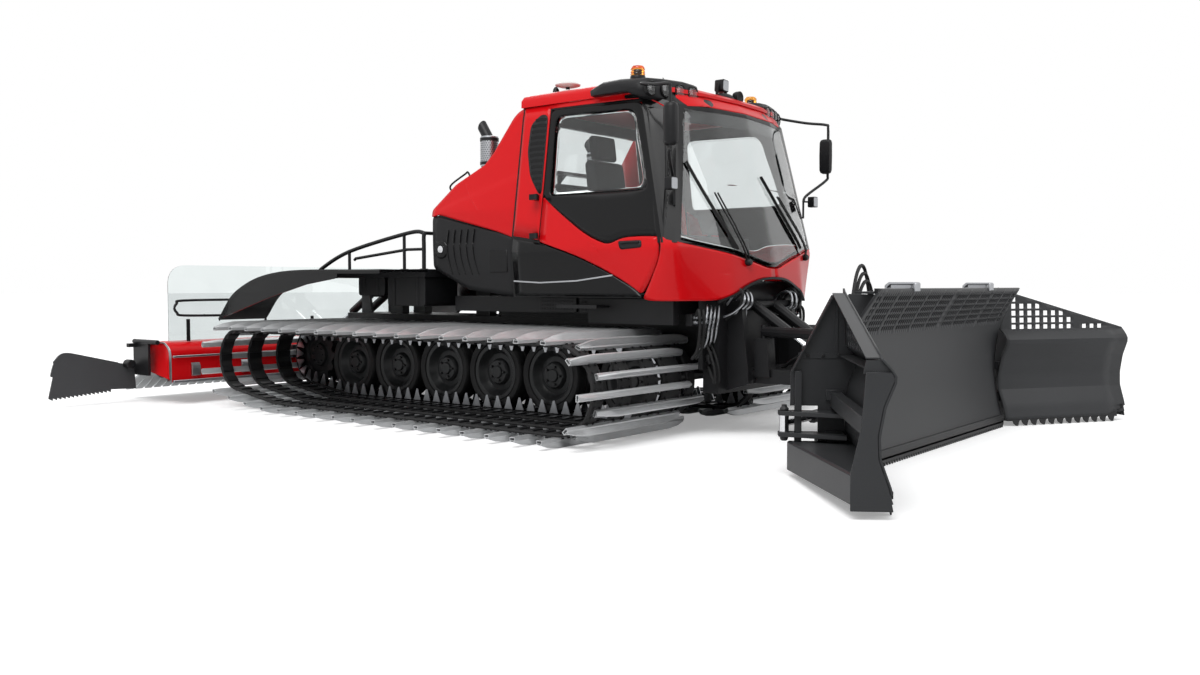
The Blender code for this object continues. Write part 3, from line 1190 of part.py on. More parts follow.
def make_wing(name, side, tilt):
    """A wing that tapers to its tip, built straight and then folded to its stored angle."""
    hinge = empty("wing_hinge_" + name, (WING_AXIS_X, side * WING_AXIS_Y, 0), tilt)
    start = WING_AXIS_Y
    end = WING_AXIS_Y + WING_LENGTH
    face = spread(WING_SHARES, (0, BLADE_EDGE_Z), (-BLADE_DEPTH, BLADE_HEIGHT))
    face = [(BLADE_LIP_X + x, z) for x, z in face]
    back = [(x - BLADE_PLATE, z) for x, z in face]
    core = [(x - BLADE_PLATE / 2, z) for x, z in face]
    wing = slab("wing", face + back[::-1], "XZ", start - BLADE_DEPTH, end)
    beam_z = BLADE_EDGE_Z + BLADE_HEIGHT * WING_SHARES[2][1]
    beam = box("beam", (WING_AXIS_X, start - BLADE_DEPTH, beam_z + BLADE_BEAM),
               (WING_AXIS_X + WING_LUG_REACH, end - SINK, beam_z + BLADE_BEAM * 2))
    low_box = slab("low_box", [
        (WING_AXIS_X - WING_BOX_BACK - OVERRUN, WING_BOX_LOW), (WING_AXIS_X - WING_BOX_BACK - OVERRUN, WING_BOX_TOP),
        (core[2][0], WING_BOX_TOP), core[1], (core[0][0], WING_BOX_LOW)], "XZ", start - BLADE_DEPTH, end - SINK)
    plates = [beam, low_box]
    for shares, low, high in ((WING_CHEEK_SHARES, start + WING_CHEEK_OUT, start + WING_CHEEK_OUT + BLADE_RIB_THICK),
                              (WING_END_SHARES, end - BLADE_RIB_THICK, end - SINK)):
        rear = [(WING_AXIS_X + WING_BOX_BACK * x, BLADE_EDGE_Z + BLADE_HEIGHT * z) for x, z in shares]
        front = [point for point in core if rear[0][1] < point[1] < rear[-1][1]]
        plates.append(slab("plate", rear + front[::-1], "XZ", low, high))
    join(wing, *plates)
    top = BLADE_EDGE_Z + BLADE_HEIGHT + OVERRUN
    tip_top = BLADE_EDGE_Z + BLADE_HEIGHT * WING_TIP_SHARE
    profile = ((start - BLADE_DEPTH, -OVERRUN), (end - WING_FOOT_CUT, -OVERRUN), (end, WING_FOOT_CUT), (end, tip_top),
               (start, top), (start - BLADE_DEPTH, top))
    keep(wing, slab("wing_profile", profile, "YZ", WING_AXIS_X - WING_BOX_BACK - OVERRUN * 2, BLADE_LIP_X + OVERRUN))
    front = BLADE_LIP_X + OVERRUN
    rear = WING_AXIS_X - WING_BOX_BACK
    plan = ((rear, start + RUN_GAP + WING_BOX_BACK * math.tan(WING_BACK_MITRE)), (WING_AXIS_X, start + RUN_GAP),
            (front, start + RUN_GAP + (front - WING_AXIS_X) * math.tan(WING_MITRE)), (front, end + OVERRUN),
            (WING_AXIS_X - WING_BOX_TIP, end + OVERRUN))
    keep(wing, slab("wing_plan", plan, "XY", -OVERRUN, top + OVERRUN))
    at = (WING_AXIS_X, WING_AXIS_Y)
    cut(wing, bar("knuckle_room", (*at, 0), (*at, BLADE_HEIGHT), KNUCKLE_RADIUS + RUN_GAP))
    lug_front = WING_AXIS_X + WING_LUG_REACH
    slant = WING_LUG_REACH * math.tan(WING_MITRE) + RUN_GAP
    for low, high in KNUCKLE_SHARES[1::2]:
        low = BLADE_EDGE_Z + BLADE_HEIGHT * low
        high = BLADE_EDGE_Z + BLADE_HEIGHT * high - SEAT_GAP
        join(wing, bar("knuckle", (*at, low), (*at, high), KNUCKLE_RADIUS))
        join(wing, slab("lug", (
            (WING_AXIS_X - KNUCKLE_RADIUS * 0.8, at[1] + KNUCKLE_RADIUS * 0.6),
            (WING_AXIS_X - KNUCKLE_RADIUS * 0.8, at[1] + BLADE_BEAM), (lug_front, at[1] + BLADE_BEAM),
            (lug_front, at[1] + KNUCKLE_RADIUS * 0.6 + slant),
            (WING_AXIS_X + KNUCKLE_RADIUS * 0.6, at[1] + KNUCKLE_RADIUS * 0.6)), "XY", low, high))
    pin = (WING_AXIS_X - WING_PIN_BACK, WING_AXIS_Y + WING_PIN_OUT)
    for z in (WING_CYLINDER_Z - EYE_HALF - SEAT_GAP - BLADE_RIB_THICK, WING_CYLINDER_Z + EYE_HALF + SEAT_GAP):
        join(wing, slab("lever", (
            (pin[0] - KNUCKLE_RADIUS, pin[1] - KNUCKLE_RADIUS), (pin[0] - KNUCKLE_RADIUS, pin[1] + KNUCKLE_RADIUS),
            (lug_front, pin[1] + BLADE_BEAM * 1.6), (lug_front, at[1] + KNUCKLE_RADIUS + slant)),
            "XY", z, z + BLADE_RIB_THICK))
    shape = applied(wing)
    swung(shape, -WING_FOLD, (WING_AXIS_X, WING_AXIS_Y, 0))
    piece(on_side(shape, side), "wing_" + name, "grey_steel", hinge)


def make_blade_cylinders(root, lift, tilt):
    """Lift pair on shared pins, and one angling cylinder each side."""
    make_pair("lift", (LIFT_PIN_X, LIFT_PIN_Z), (LIFT_EYE_X, LIFT_EYE_Z), LIFT_CYLINDER_Y,
              LIFT_BARREL, LIFT_ROD, EAR_HALF - SEAT_GAP, root)
    angle_z = CROSSBAR_Z + CROSSBAR_SIZE / 2 + EYE_HALF + SEAT_GAP
    for name, side in SIDES:
        base = (ANGLE_EAR_X, side * ANGLE_EAR_Y, angle_z)
        tip = (SWING_X, side * ANGLE_PIN_Y, angle_z)
        flat_cylinder("angle", name, base, tip, ANGLE_BARREL, ANGLE_ROD, lift)
        base = (WING_BASE_X, side * WING_BASE_Y, WING_CYLINDER_Z)
        pin = wing_pin()
        tip = (pin[0], side * pin[1], WING_CYLINDER_Z)
        flat_cylinder("wing", name, base, tip, WING_BARREL, WING_ROD, tilt)


def make_pair(kind, pin, eye, spacing, barrel_length, rod_length, shaft_half, root):
    """Two cylinders side by side whose barrels share one pin shaft and whose rods share another."""
    pivot = empty(kind + "_cylinders", (pin[0], 0, pin[1]), root)
    shaft = bar("pin_shaft", (pin[0], -shaft_half, pin[1]), (pin[0], shaft_half, pin[1]), EYE_RADIUS * 0.7)
    reach = spacing + BARREL_RADIUS
    eye_shaft = bar("eye_shaft", (eye[0], -reach, eye[1]), (eye[0], reach, eye[1]), EYE_RADIUS * 0.7)
    for side in (-1, 1):
        base = (pin[0], side * spacing, pin[1])
        tip = (eye[0], side * spacing, eye[1])
        join(shaft, cylinder_barrel("barrel", base, tip, barrel_length))
        join(eye_shaft, cylinder_rod("rod", base, tip, rod_length))
    piece(shaft, kind + "_barrels", "black_steel", pivot)
    piece(eye_shaft, kind + "_rods", "chrome", pivot)


def flat_cylinder(kind, name, base, tip, barrel_length, rod_length, parent):
    """A cylinder that lies flat and turns about upright pins at both ends."""
    turn = empty(kind + "_cylinder_" + name, base, parent)
    barrel = cylinder_barrel("barrel", base, tip, barrel_length)
    up = Vector((0, 0, EYE_HALF))
    join(barrel, bar("base_pin", Vector(base) - up, Vector(base) + up, EYE_RADIUS * 0.7))
    piece(barrel, kind + "_barrel_" + name, "black_steel", turn)
    rod = cylinder_rod("rod", base, tip, rod_length)
    join(rod, bar("tip_pin", Vector(tip) - up, Vector(tip) + up, EYE_RADIUS * 0.7))
    piece(rod, kind + "_rod_" + name, "chrome", turn)


def wing_pin():
    """Place of the left wing's cylinder pin once the wing is folded."""
    back = -WING_PIN_BACK
    x = back * math.cos(WING_FOLD) + WING_PIN_OUT * math.sin(WING_FOLD)
    y = -back * math.sin(WING_FOLD) + WING_PIN_OUT * math.cos(WING_FOLD)
    return WING_AXIS_X + x, WING_AXIS_Y + y


def make_tiller(root):
    """Carrier arm, hood with its comb, snow flap, two rotors and the side finishers."""
    lift = empty("tiller_lift", (TILLER_HINGE_X, 0, TILLER_HINGE_Z), root)
    ear = HULL_HALF / 2 + EAR_THICK * 1.5
    arm = bar("tiller_arm", (TILLER_HINGE_X, -ear + PIN_GAP, TILLER_HINGE_Z), (TILLER_HINGE_X, ear - PIN_GAP,
              TILLER_HINGE_Z), EAR_THICK)
    beam = slab("beam", ((TILLER_HINGE_X, TILLER_HINGE_Z - EAR_THICK * 0.9), (HOOD_FRONT + SEAT_GAP, HOOD_BOTTOM
                + HOOD_HEIGHT * 0.4), (HOOD_FRONT + SEAT_GAP, HOOD_BOTTOM + HOOD_HEIGHT * 0.9),
                (TILLER_HINGE_X, TILLER_HINGE_Z + EAR_THICK * 0.9)), "XZ", -ear + EAR_THICK * 0.6,
                ear - EAR_THICK * 0.6)
    yoke = box("yoke", (HOOD_FRONT + SEAT_GAP, -HOOD_HALF / 3, HOOD_BOTTOM + HOOD_HEIGHT * 0.45),
               (HOOD_FRONT + EAR_THICK * 1.5, HOOD_HALF / 3, HOOD_BOTTOM + HOOD_HEIGHT * 0.8))
    join(arm, beam, yoke)
    for side in (-1, 1):
        y = side * (TILLER_CYLINDER_Y + BARREL_RADIUS + EAR_THICK / 2 + SEAT_GAP)
        join(arm, slab("eye_ear", (
            (TILLER_EYE_X + EAR_THICK, TILLER_HINGE_Z - EAR_THICK / 3), (TILLER_EYE_X + EAR_THICK / 2,
             TILLER_EYE_Z + EAR_THICK / 2), (TILLER_EYE_X - EAR_THICK / 2, TILLER_EYE_Z + EAR_THICK / 2),
            (TILLER_EYE_X - EAR_THICK * 1.2, TILLER_HINGE_Z - EAR_THICK / 2)), "XZ",
            y - EAR_THICK / 4, y + EAR_THICK / 4))
    piece(arm, "tiller_arm", "black_steel", lift)
    make_pair("tiller", (TILLER_PIN_X, TILLER_PIN_Z), (TILLER_EYE_X, TILLER_EYE_Z), TILLER_CYLINDER_Y,
              TILLER_BARREL, TILLER_ROD, TILLER_CYLINDER_Y + BARREL_RADIUS + EAR_THICK / 4, root)

    outline = spread(HOOD_SHARES, (HOOD_FRONT, HOOD_BOTTOM), (-HOOD_LENGTH, HOOD_HEIGHT))
    hood = slab("hood", outline, "XZ", -HOOD_HALF, HOOD_HALF)
    inner = spread(HOOD_INNER_SHARES, (HOOD_FRONT, HOOD_BOTTOM), (-HOOD_LENGTH, HOOD_HEIGHT))
    for side in (-1, 1):
        low, high = sorted((side * HOOD_MIDDLE, side * (HOOD_HALF - HOOD_SKIN)))
        cut(hood, slab("hood_hollow", inner, "XZ", low, high))
    comb_top = spread(HOOD_SHARES, (HOOD_FRONT, HOOD_BOTTOM), (-HOOD_LENGTH, HOOD_HEIGHT))[-1]
    comb = slab("comb", (
        (comb_top[0] + SINK, comb_top[1] + SINK), (comb_top[0] - COMB_LENGTH * 0.45, comb_top[1]),
        (comb_top[0] - COMB_LENGTH, COMB_DROP), (comb_top[0] - COMB_LENGTH, COMB_DROP - COMB_THICK),
        (comb_top[0] - COMB_LENGTH * 0.45, comb_top[1] - COMB_THICK * 1.6),
        (comb_top[0] + SINK, comb_top[1] - COMB_THICK)), "XZ", -HOOD_HALF + SINK, HOOD_HALF - SINK)
    join(hood, comb)
    front = HOOD_FRONT - HOOD_LENGTH * FINISHER_PIN_SHARE
    for side in (-1, 1):
        low, high = sorted((side * (HOOD_HALF - SINK), side * (HOOD_HALF + EAR_THICK + FINISHER_PIN)))
        join(hood, box("finisher_lug", (front + SEAT_GAP, low, HOOD_BOTTOM + HOOD_HEIGHT - EAR_THICK),
                       (front + EAR_THICK, high, HOOD_BOTTOM + HOOD_HEIGHT + FINISHER_PIN)))
    piece(hood, "tiller_hood", "red_paint", lift)

    flap_top = HOOD_BOTTOM + HOOD_HEIGHT + FLAP_HEIGHT
    flap_low = HOOD_BOTTOM + HOOD_HEIGHT + SEAT_GAP
    corner = FLAP_HEIGHT / 4
    flap = slab("snow_flap", (
        (-FLAP_HALF, flap_low), (FLAP_HALF, flap_low), (FLAP_HALF, flap_top - corner),
        (FLAP_HALF - corner, flap_top), (-FLAP_HALF + corner, flap_top), (-FLAP_HALF, flap_top - corner)), "YZ",
        HOOD_FRONT - HOOD_LENGTH * 0.2 - FLAP_THICK, HOOD_FRONT - HOOD_LENGTH * 0.2)
    piece(flap, "snow_flap", "clear_sheet", lift)

    for name, side in SIDES:
        spin = empty("rotor_axis_" + name, (ROTOR_X, side * HOOD_HALF / 2, ROTOR_Z), lift)
        start = HOOD_MIDDLE + SEAT_GAP
        end = HOOD_HALF - HOOD_SKIN - SEAT_GAP
        rotor = bar("rotor", (ROTOR_X, start, ROTOR_Z), (ROTOR_X, end, ROTOR_Z), ROTOR_CORE)
        tines = []
        for k in range(TINE_ROWS):
            y = start + ROTOR_START + (end - start - ROTOR_START * 2) * k / (TINE_ROWS - 1)
            for half in (0, 1):
                tine = box("tine", (-TINE_SIZE / 2, y - TINE_SIZE / 4, ROTOR_CORE - SINK),
                           (TINE_SIZE / 2, y + TINE_SIZE / 4, ROTOR_RADIUS))
                lie = Matrix.Translation((ROTOR_X, 0, ROTOR_Z)) @ Matrix.Rotation(math.pi * half
                                                                                  + k * TINE_TWIST, 4, "Y")
                tine.matrix_basis = lie @ tine.matrix_basis
                tines.append(tine)
        join(rotor, gather("tines", tines))
        piece(on_side(applied(rotor), side), "rotor_" + name, "grey_steel", spin)
        wall = HOOD_HALF + EAR_THICK
        top = HOOD_BOTTOM + HOOD_HEIGHT
        fold = empty("finisher_hinge_" + name, (HOOD_FRONT - HOOD_LENGTH / 2, side * wall, top), lift)
        sheet = slab("finisher", spread(FINISHER_SHARES, (wall, FINISHER_LOW), (FINISHER_LENGTH, FINISHER_HEIGHT)),
                     "YZ", HOOD_FRONT - HOOD_LENGTH, HOOD_FRONT - HOOD_LENGTH + COMB_THICK)
        front = HOOD_FRONT - HOOD_LENGTH * FINISHER_PIN_SHARE
        pin = bar("finisher_pin", (HOOD_FRONT - HOOD_LENGTH, wall, top), (front, wall, top), FINISHER_PIN)
        web = box("web", (HOOD_FRONT - HOOD_LENGTH, wall - FINISHER_PIN / 2, HOOD_BOTTOM + EAR_THICK),
                  (HOOD_FRONT - HOOD_LENGTH / 2, wall + FINISHER_PIN / 2, top))
        piece(on_side(applied(join(sheet, pin, web)), side), "finisher_" + name, "black_plastic", fold)


def make_all():
    root = empty("snowcat", (0, 0, 0))
    make_chassis(root)
    make_running_gear(root)
    for name, side in SIDES:
        make_track(root, "track_" + name, side)
    make_cab(root)
    make_roof(root)
    make_engine_bay(root)
    make_deck(root)
    make_cowl(root)
    make_mufflers(root)
    make_roof_lights(root)
    make_interior(root)
    make_mirrors(root)
    make_rail(root)
    make_blade(root)
    make_tiller(root)
    for guide in CUTTERS.objects:
        guide.parent = root
    root.location = (ORIGIN_SHIFT, 0, 0)


make_all()
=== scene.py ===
"""Dresses the packed snowcat: paint, glass, tracks, blade, tiller and cab fittings.

Sizes are written from the beacon line on the cab roof, as in the part's source,
and TO_ROW carries them into the row's frame. Metres, +X forward, +Y to the left.
"""

import json
import math

import bmesh
import bpy
import numpy as np
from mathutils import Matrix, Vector

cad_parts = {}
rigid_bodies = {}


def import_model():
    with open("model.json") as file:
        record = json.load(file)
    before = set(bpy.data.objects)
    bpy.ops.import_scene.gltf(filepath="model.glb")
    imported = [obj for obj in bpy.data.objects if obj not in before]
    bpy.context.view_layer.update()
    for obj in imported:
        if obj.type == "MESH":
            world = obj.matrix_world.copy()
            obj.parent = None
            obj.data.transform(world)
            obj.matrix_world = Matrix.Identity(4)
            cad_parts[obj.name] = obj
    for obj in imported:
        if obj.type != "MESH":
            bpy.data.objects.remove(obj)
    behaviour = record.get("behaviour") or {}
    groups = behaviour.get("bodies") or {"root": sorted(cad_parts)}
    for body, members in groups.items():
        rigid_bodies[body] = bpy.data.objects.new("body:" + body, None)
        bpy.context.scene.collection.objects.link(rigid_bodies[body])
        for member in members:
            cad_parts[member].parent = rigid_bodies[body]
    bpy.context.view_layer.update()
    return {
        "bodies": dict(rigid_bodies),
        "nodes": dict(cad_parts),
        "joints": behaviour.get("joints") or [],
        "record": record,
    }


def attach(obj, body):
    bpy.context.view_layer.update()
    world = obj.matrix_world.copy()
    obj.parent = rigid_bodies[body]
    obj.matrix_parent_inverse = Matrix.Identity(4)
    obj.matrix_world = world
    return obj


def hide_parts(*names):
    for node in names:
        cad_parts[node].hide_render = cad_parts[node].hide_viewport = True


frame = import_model()

TO_ROW = np.array([1.635, 0.0, 0.0])
SIDES = (("right", -1), ("left", 1))

# camera, light and floor


def feed(tree, node, inputs):
    """Give each named input of a node a value, or a link where an output socket is given."""
    for key, value in inputs.items():
        if isinstance(value, bpy.types.NodeSocket):
            tree.links.new(value, node.inputs[key])
        else:
            node.inputs[key].default_value = value


def add_node(tree, kind, inputs=None, **settings):
    """A new shader node with its settings made and its inputs fed."""
    node = tree.nodes.new("ShaderNode" + kind)
    for name, value in settings.items():
        setattr(node, name, value)
    feed(tree, node, inputs or {})
    return node


def add_ramp(tree, factor, low, high, places=(0.0, 1.0)):
    """A colour ramp between two colours at two places, driven by a factor."""
    ramp = add_node(tree, "ValToRGB", {0: factor})
    for element, place, colour in zip(ramp.color_ramp.elements, places, (low, high)):
        element.position = place
        element.color = (*colour, 1)
    return ramp.outputs[0]


def studio():
    """Camera at the photograph's angle, a bright room and a plain white floor."""
    scene = bpy.context.scene
    scene.view_settings.view_transform = "Standard"
    camera_data = bpy.data.cameras.new("camera")
    camera_data.sensor_width = 36
    camera_data.lens = 31.592
    camera_data.clip_end = 400
    camera = bpy.data.objects.new("camera", camera_data)
    scene.collection.objects.link(camera)
    camera.location = (6.8632, -8.0464, 1.2619)
    camera.rotation_euler = (math.radians(90 - 2.834), 0, math.radians(38.299))
    scene.camera = camera

    world = bpy.data.worlds.new("room")
    world.use_nodes = True
    scene.world = world
    tree = world.node_tree
    tree.nodes.clear()
    rays = add_node(tree, "LightPath").outputs
    seen = add_node(tree, "Math", {0: rays["Is Camera Ray"], 1: rays["Is Transmission Ray"]},
        operation="MAXIMUM")
    shiny = add_node(tree, "Math", {0: seen.outputs[0], 1: rays["Is Glossy Ray"]}, operation="MAXIMUM")
    split = add_node(tree, "SeparateXYZ", {0: add_node(tree, "TexCoord").outputs["Generated"]})
    rise = add_node(tree, "Math", {0: split.outputs["Z"], 1: 0.5, 2: 0.5}, operation="MULTIPLY_ADD")
    tone = add_ramp(tree, rise.outputs[0], (0.42, 0.42, 0.42), (0.88, 0.89, 0.90), (0.42, 0.95))
    lit = add_node(tree, "Background", {"Color": tone, "Strength": 0.62})
    white = add_node(tree, "Background", {"Color": (1, 1, 1, 1)})
    mix = add_node(tree, "MixShader", {0: shiny.outputs[0], 1: lit.outputs[0], 2: white.outputs[0]})
    add_node(tree, "OutputWorld", {0: mix.outputs[0]})

    for name, at, size, power, aim in (
        ("key", (3.0, -9.0, 9.5), (7, 5), 300, (0, 0, 1)),
        ("fill", (11.0, 2.0, 6.0), (5, 5), 160, (0, 0, 1)),
        ("back", (-9.0, 6.0, 8.0), (7, 4), 200, (0, 0, 1)),
        ("sky", (2.0, -6.0, 10.0), None, 1.7, (0, 0, 0)),
    ):
        light = bpy.data.lights.new(name, "AREA" if size else "SUN")
        light.energy = power
        if size:
            light.shape = "RECTANGLE"
            light.size, light.size_y = size
        else:
            light.angle = math.radians(40)
        lamp = bpy.data.objects.new(name, light)
        scene.collection.objects.link(lamp)
        lamp.location = at
        lamp.rotation_euler = (Vector(aim) - Vector(at)).to_track_quat("-Z", "Y").to_euler()

    mesh = bpy.data.meshes.new("floor")
    mesh.from_pydata([(-150, -150, 0), (150, -150, 0), (150, 150, 0), (-150, 150, 0)], [], [(0, 1, 2, 3)])
    floor = bpy.data.objects.new("floor", mesh)
    scene.collection.objects.link(floor)
    paint = bpy.data.materials.new("floor_white")
    paint.use_nodes = True
    tree = paint.node_tree
    shader = tree.nodes["Principled BSDF"]
    feed(tree, shader, {"Base Color": (0.86, 0.86, 0.86, 1), "Roughness": 0.9, "Specular IOR Level": 0.1})
    glow = add_node(tree, "Emission", {"Color": (1, 1, 1, 1), "Strength": 0.30})
    both = add_node(tree, "AddShader", {0: shader.outputs[0], 1: glow.outputs[0]})
    rays = add_node(tree, "LightPath").outputs
    shown = add_node(tree, "MixShader", {0: rays["Is Camera Ray"], 1: shader.outputs[0], 2: both.outputs[0]})
    feed(tree, tree.nodes["Material Output"], {0: shown.outputs[0]})
    mesh.materials.append(paint)


# finishes


def new_group(name, inputs, outputs):
    """A node group with a vector input, number inputs with their defaults, and number outputs."""
    group = bpy.data.node_groups.new(name, "ShaderNodeTree")
    face = group.interface
    face.new_socket("Vector", in_out="INPUT", socket_type="NodeSocketVector")
    for label, value in inputs:
        face.new_socket(label, in_out="INPUT", socket_type="NodeSocketFloat").default_value = value
    for label in outputs:
        face.new_socket(label, in_out="OUTPUT", socket_type="NodeSocketFloat")
    return group, group.nodes.new("NodeGroupInput").outputs, group.nodes.new("NodeGroupOutput")


def fine_grain_group():
    """Two octaves of noise on object coordinates: a tone from 0 to 1 and a height for bump."""
    tree, given, out = new_group("fine_grain", (("Broad Scale", 2.0), ("Fine Scale", 60.0), ("Share", 0.5)),
        ("Tone", "Height"))
    broad = add_node(tree, "TexNoise", {"Vector": given["Vector"], "Scale": given["Broad Scale"],
        "Detail": 3})
    fine = add_node(tree, "TexNoise", {"Vector": given["Vector"], "Scale": given["Fine Scale"], "Detail": 2})
    mix = add_node(tree, "Mix", {0: given["Share"], 2: broad.outputs[0], 3: fine.outputs[0]},
        data_type="FLOAT")
    feed(tree, out, {"Tone": mix.outputs[0], "Height": fine.outputs[0]})
    return tree


def settled_dust_group():
    """A mask that is strongest on faces that look up, broken by noise."""
    tree, given, out = new_group("settled_dust", (("Amount", 0.2),), ("Mask",))
    split = add_node(tree, "SeparateXYZ", {0: add_node(tree, "NewGeometry").outputs["Normal"]})
    up = add_node(tree, "MapRange", {"From Min": -0.1, "From Max": 1.0, "Value": split.outputs["Z"]})
    patch = add_node(tree, "TexNoise", {"Scale": 9, "Detail": 4, "Vector": given["Vector"]})
    both = add_node(tree, "Math", {0: up.outputs[0], 1: patch.outputs[0]}, operation="MULTIPLY")
    scaled = add_node(tree, "Math", {0: both.outputs[0], 1: given["Amount"]}, operation="MULTIPLY")
    feed(tree, out, {"Mask": scaled.outputs[0]})
    return tree


GRAIN = fine_grain_group()
DUST = settled_dust_group()
DUST_TONE = (0.30, 0.30, 0.30, 1)


def finish_of(name, colour, roughness, metallic=0.0, broad=2.0, fine=60.0, share=0.5, tone=0.12,
        rough_swing=0.08, bump=0.0, bump_depth=0.0004, stretch=(1, 1, 1), dust=0.0, coat=0.0,
        coat_roughness=0.04, specular=0.5):
    """A paint, plastic, rubber or metal whose tone, roughness and bump follow the shared grain."""
    made = bpy.data.materials.new(name)
    made.use_nodes = True
    tree = made.node_tree
    place = add_node(tree, "TexCoord").outputs["Object"]
    stretched = add_node(tree, "Mapping", {"Scale": stretch, "Vector": place})
    grain = add_node(tree, "Group", {"Vector": stretched.outputs[0], "Broad Scale": broad, "Fine Scale": fine,
        "Share": share}, node_tree=GRAIN)
    shown = add_ramp(tree, grain.outputs["Tone"], [c * (1 - tone) for c in colour],
        [min(1, c * (1 + tone)) for c in colour], (0.30, 0.70))
    swing = add_node(tree, "MapRange", {"To Min": max(0.02, roughness - rough_swing),
        "To Max": min(1, roughness + rough_swing), "Value": grain.outputs["Tone"]})
    if dust:
        mask = add_node(tree, "Group", {"Amount": dust, "Vector": place}, node_tree=DUST)
        tint = add_node(tree, "Mix", {0: mask.outputs["Mask"], 6: shown, 7: DUST_TONE}, data_type="RGBA")
        shown = tint.outputs[2]
    inputs = {"Base Color": shown, "Roughness": swing.outputs[0], "Metallic": metallic, "Coat Weight": coat,
        "Coat Roughness": coat_roughness, "Specular IOR Level": specular}
    if bump:
        raised = add_node(tree, "Bump", {"Strength": bump, "Distance": bump_depth,
            "Height": grain.outputs["Height"]})
        inputs["Normal"] = raised.outputs[0]
    feed(tree, tree.nodes["Principled BSDF"], inputs)
    return made


def glass_of(name, colour, roughness=0.0):
    """Clear tinted sheet: light passes through it, with a faint unevenness in its tint."""
    made = bpy.data.materials.new(name)
    made.use_nodes = True
    tree = made.node_tree
    ripple = add_node(tree, "TexNoise", {"Scale": 3, "Vector": add_node(tree, "TexCoord").outputs["Object"]})
    tint = add_ramp(tree, ripple.outputs[0], [c * 0.94 for c in colour], [min(1, c * 1.04) for c in colour])
    feed(tree, tree.nodes["Principled BSDF"], {"Base Color": tint, "Transmission Weight": 1.0,
        "Roughness": roughness, "IOR": 1.45})
    return made


RED = finish_of("red_lacquer", (0.60, 0.003, 0.006), 0.36, broad=0.8, fine=420, tone=0.03, rough_swing=0.03,
    bump=0.03, bump_depth=0.0002, coat=0.22, coat_roughness=0.06, specular=0.12)
BLACK_GLOSS = finish_of("black_lacquer", (0.005, 0.005, 0.0055), 0.22, broad=1, fine=300, tone=0.1, coat=0.14,
    specular=0.15)
BLACK_PLASTIC = finish_of("black_moulding", (0.009, 0.009, 0.010), 0.44, fine=520, tone=0.15, bump=0.25,
    bump_depth=0.0004, dust=0.02, specular=0.22)
BLACK_STEEL = finish_of("black_powder_coat", (0.010, 0.010, 0.011), 0.40, fine=700, tone=0.15, bump=0.2,
    bump_depth=0.0003, dust=0.03, specular=0.25)
BLADE_GREY = finish_of("blade_coat", (0.026, 0.027, 0.029), 0.40, metallic=0.1, broad=1.6, fine=240,
    share=0.35, tone=0.16, rough_swing=0.10, bump=0.12, bump_depth=0.0003, stretch=(1, 0.25, 1), dust=0.03,
    specular=0.3)
BLADE_EDGE = finish_of("edge_steel", (0.009, 0.009, 0.010), 0.42, metallic=0.4, fine=160, tone=0.3, bump=0.3)
ALLOY = finish_of("shoe_alloy", (0.60, 0.61, 0.62), 0.40, metallic=0.55, broad=3, fine=150, share=0.4,
    tone=0.16, rough_swing=0.12, bump=0.15, bump_depth=0.0003, stretch=(1, 0.08, 1), dust=0.10)
STEEL = finish_of("plain_steel", (0.42, 0.43, 0.45), 0.32, metallic=1, fine=200, tone=0.15, bump=0.1)
CHROME = finish_of("rod_chrome", (0.72, 0.73, 0.75), 0.10, metallic=1, fine=90, tone=0.06, rough_swing=0.04)
RUBBER = finish_of("track_rubber", (0.012, 0.012, 0.0125), 0.66, fine=260, tone=0.25, bump=0.5,
    bump_depth=0.0008, dust=0.06, specular=0.3)
TYRE = finish_of("wheel_rubber", (0.010, 0.010, 0.0105), 0.58, fine=320, tone=0.2, bump=0.4,
    bump_depth=0.0006, dust=0.04, specular=0.3)
RIM = finish_of("wheel_coat", (0.020, 0.021, 0.022), 0.38, metallic=0.2, fine=300, tone=0.15, bump=0.1,
    dust=0.02, specular=0.35)
SEAT_BLACK = finish_of("seat_weave", (0.018, 0.018, 0.020), 0.85, fine=900, tone=0.3, bump=0.7,
    bump_depth=0.0008)
SEAT_RED = finish_of("seat_weave_red", (0.45, 0.02, 0.02), 0.85, fine=900, tone=0.25, bump=0.7,
    bump_depth=0.0008)
AMBER = glass_of("amber_lens", (0.95, 0.38, 0.04), 0.12)
WINDOW = glass_of("window_glass", (0.84, 0.87, 0.87))
CLEAR = glass_of("clear_sheet", (0.90, 0.955, 0.95))
LENS = glass_of("lamp_lens", (0.95, 0.96, 0.97))
CHARCOAL = finish_of("charcoal_moulding", (0.040, 0.041, 0.044), 0.55, fine=360, tone=0.15, bump=0.25,
    bump_depth=0.0005, dust=0.06)
CLEAR_GREY = finish_of("comb_moulding", (0.50, 0.52, 0.53), 0.35, fine=200, tone=0.08, bump=0.1, specular=0.4)
WHITE_PLASTIC = finish_of("white_moulding", (0.72, 0.72, 0.70), 0.4, fine=300, tone=0.05, bump=0.1)


# shapes as arrays


def shape(verts, *faces):
    """Points and groups of faces, each group an array with one row per face."""
    points = np.asarray(verts, float).reshape(-1, 3)
    return points, [np.atleast_2d(np.asarray(group, int)) for group in faces if len(group)]


def merged(shapes):
    """Several shapes as one, each one's faces counted on from the points before it."""
    points, groups, start = [], [], 0
    for verts, faces in shapes:
        points.append(verts)
        groups += [group + start for group in faces]
        start += len(verts)
    return np.concatenate(points), groups


def flipped(made):
    """The same shape on the machine's other side: y changes sign and each face is read backwards."""
    verts, faces = made
    return verts * (1, -1, 1), [group[:, ::-1] for group in faces]


def on_side(made, side):
    return made if side > 0 else flipped(made)


def moved(made, matrix):
    verts, faces = made
    matrix = np.asarray(matrix, float)
    return verts @ matrix[:3, :3].T + matrix[:3, 3], faces


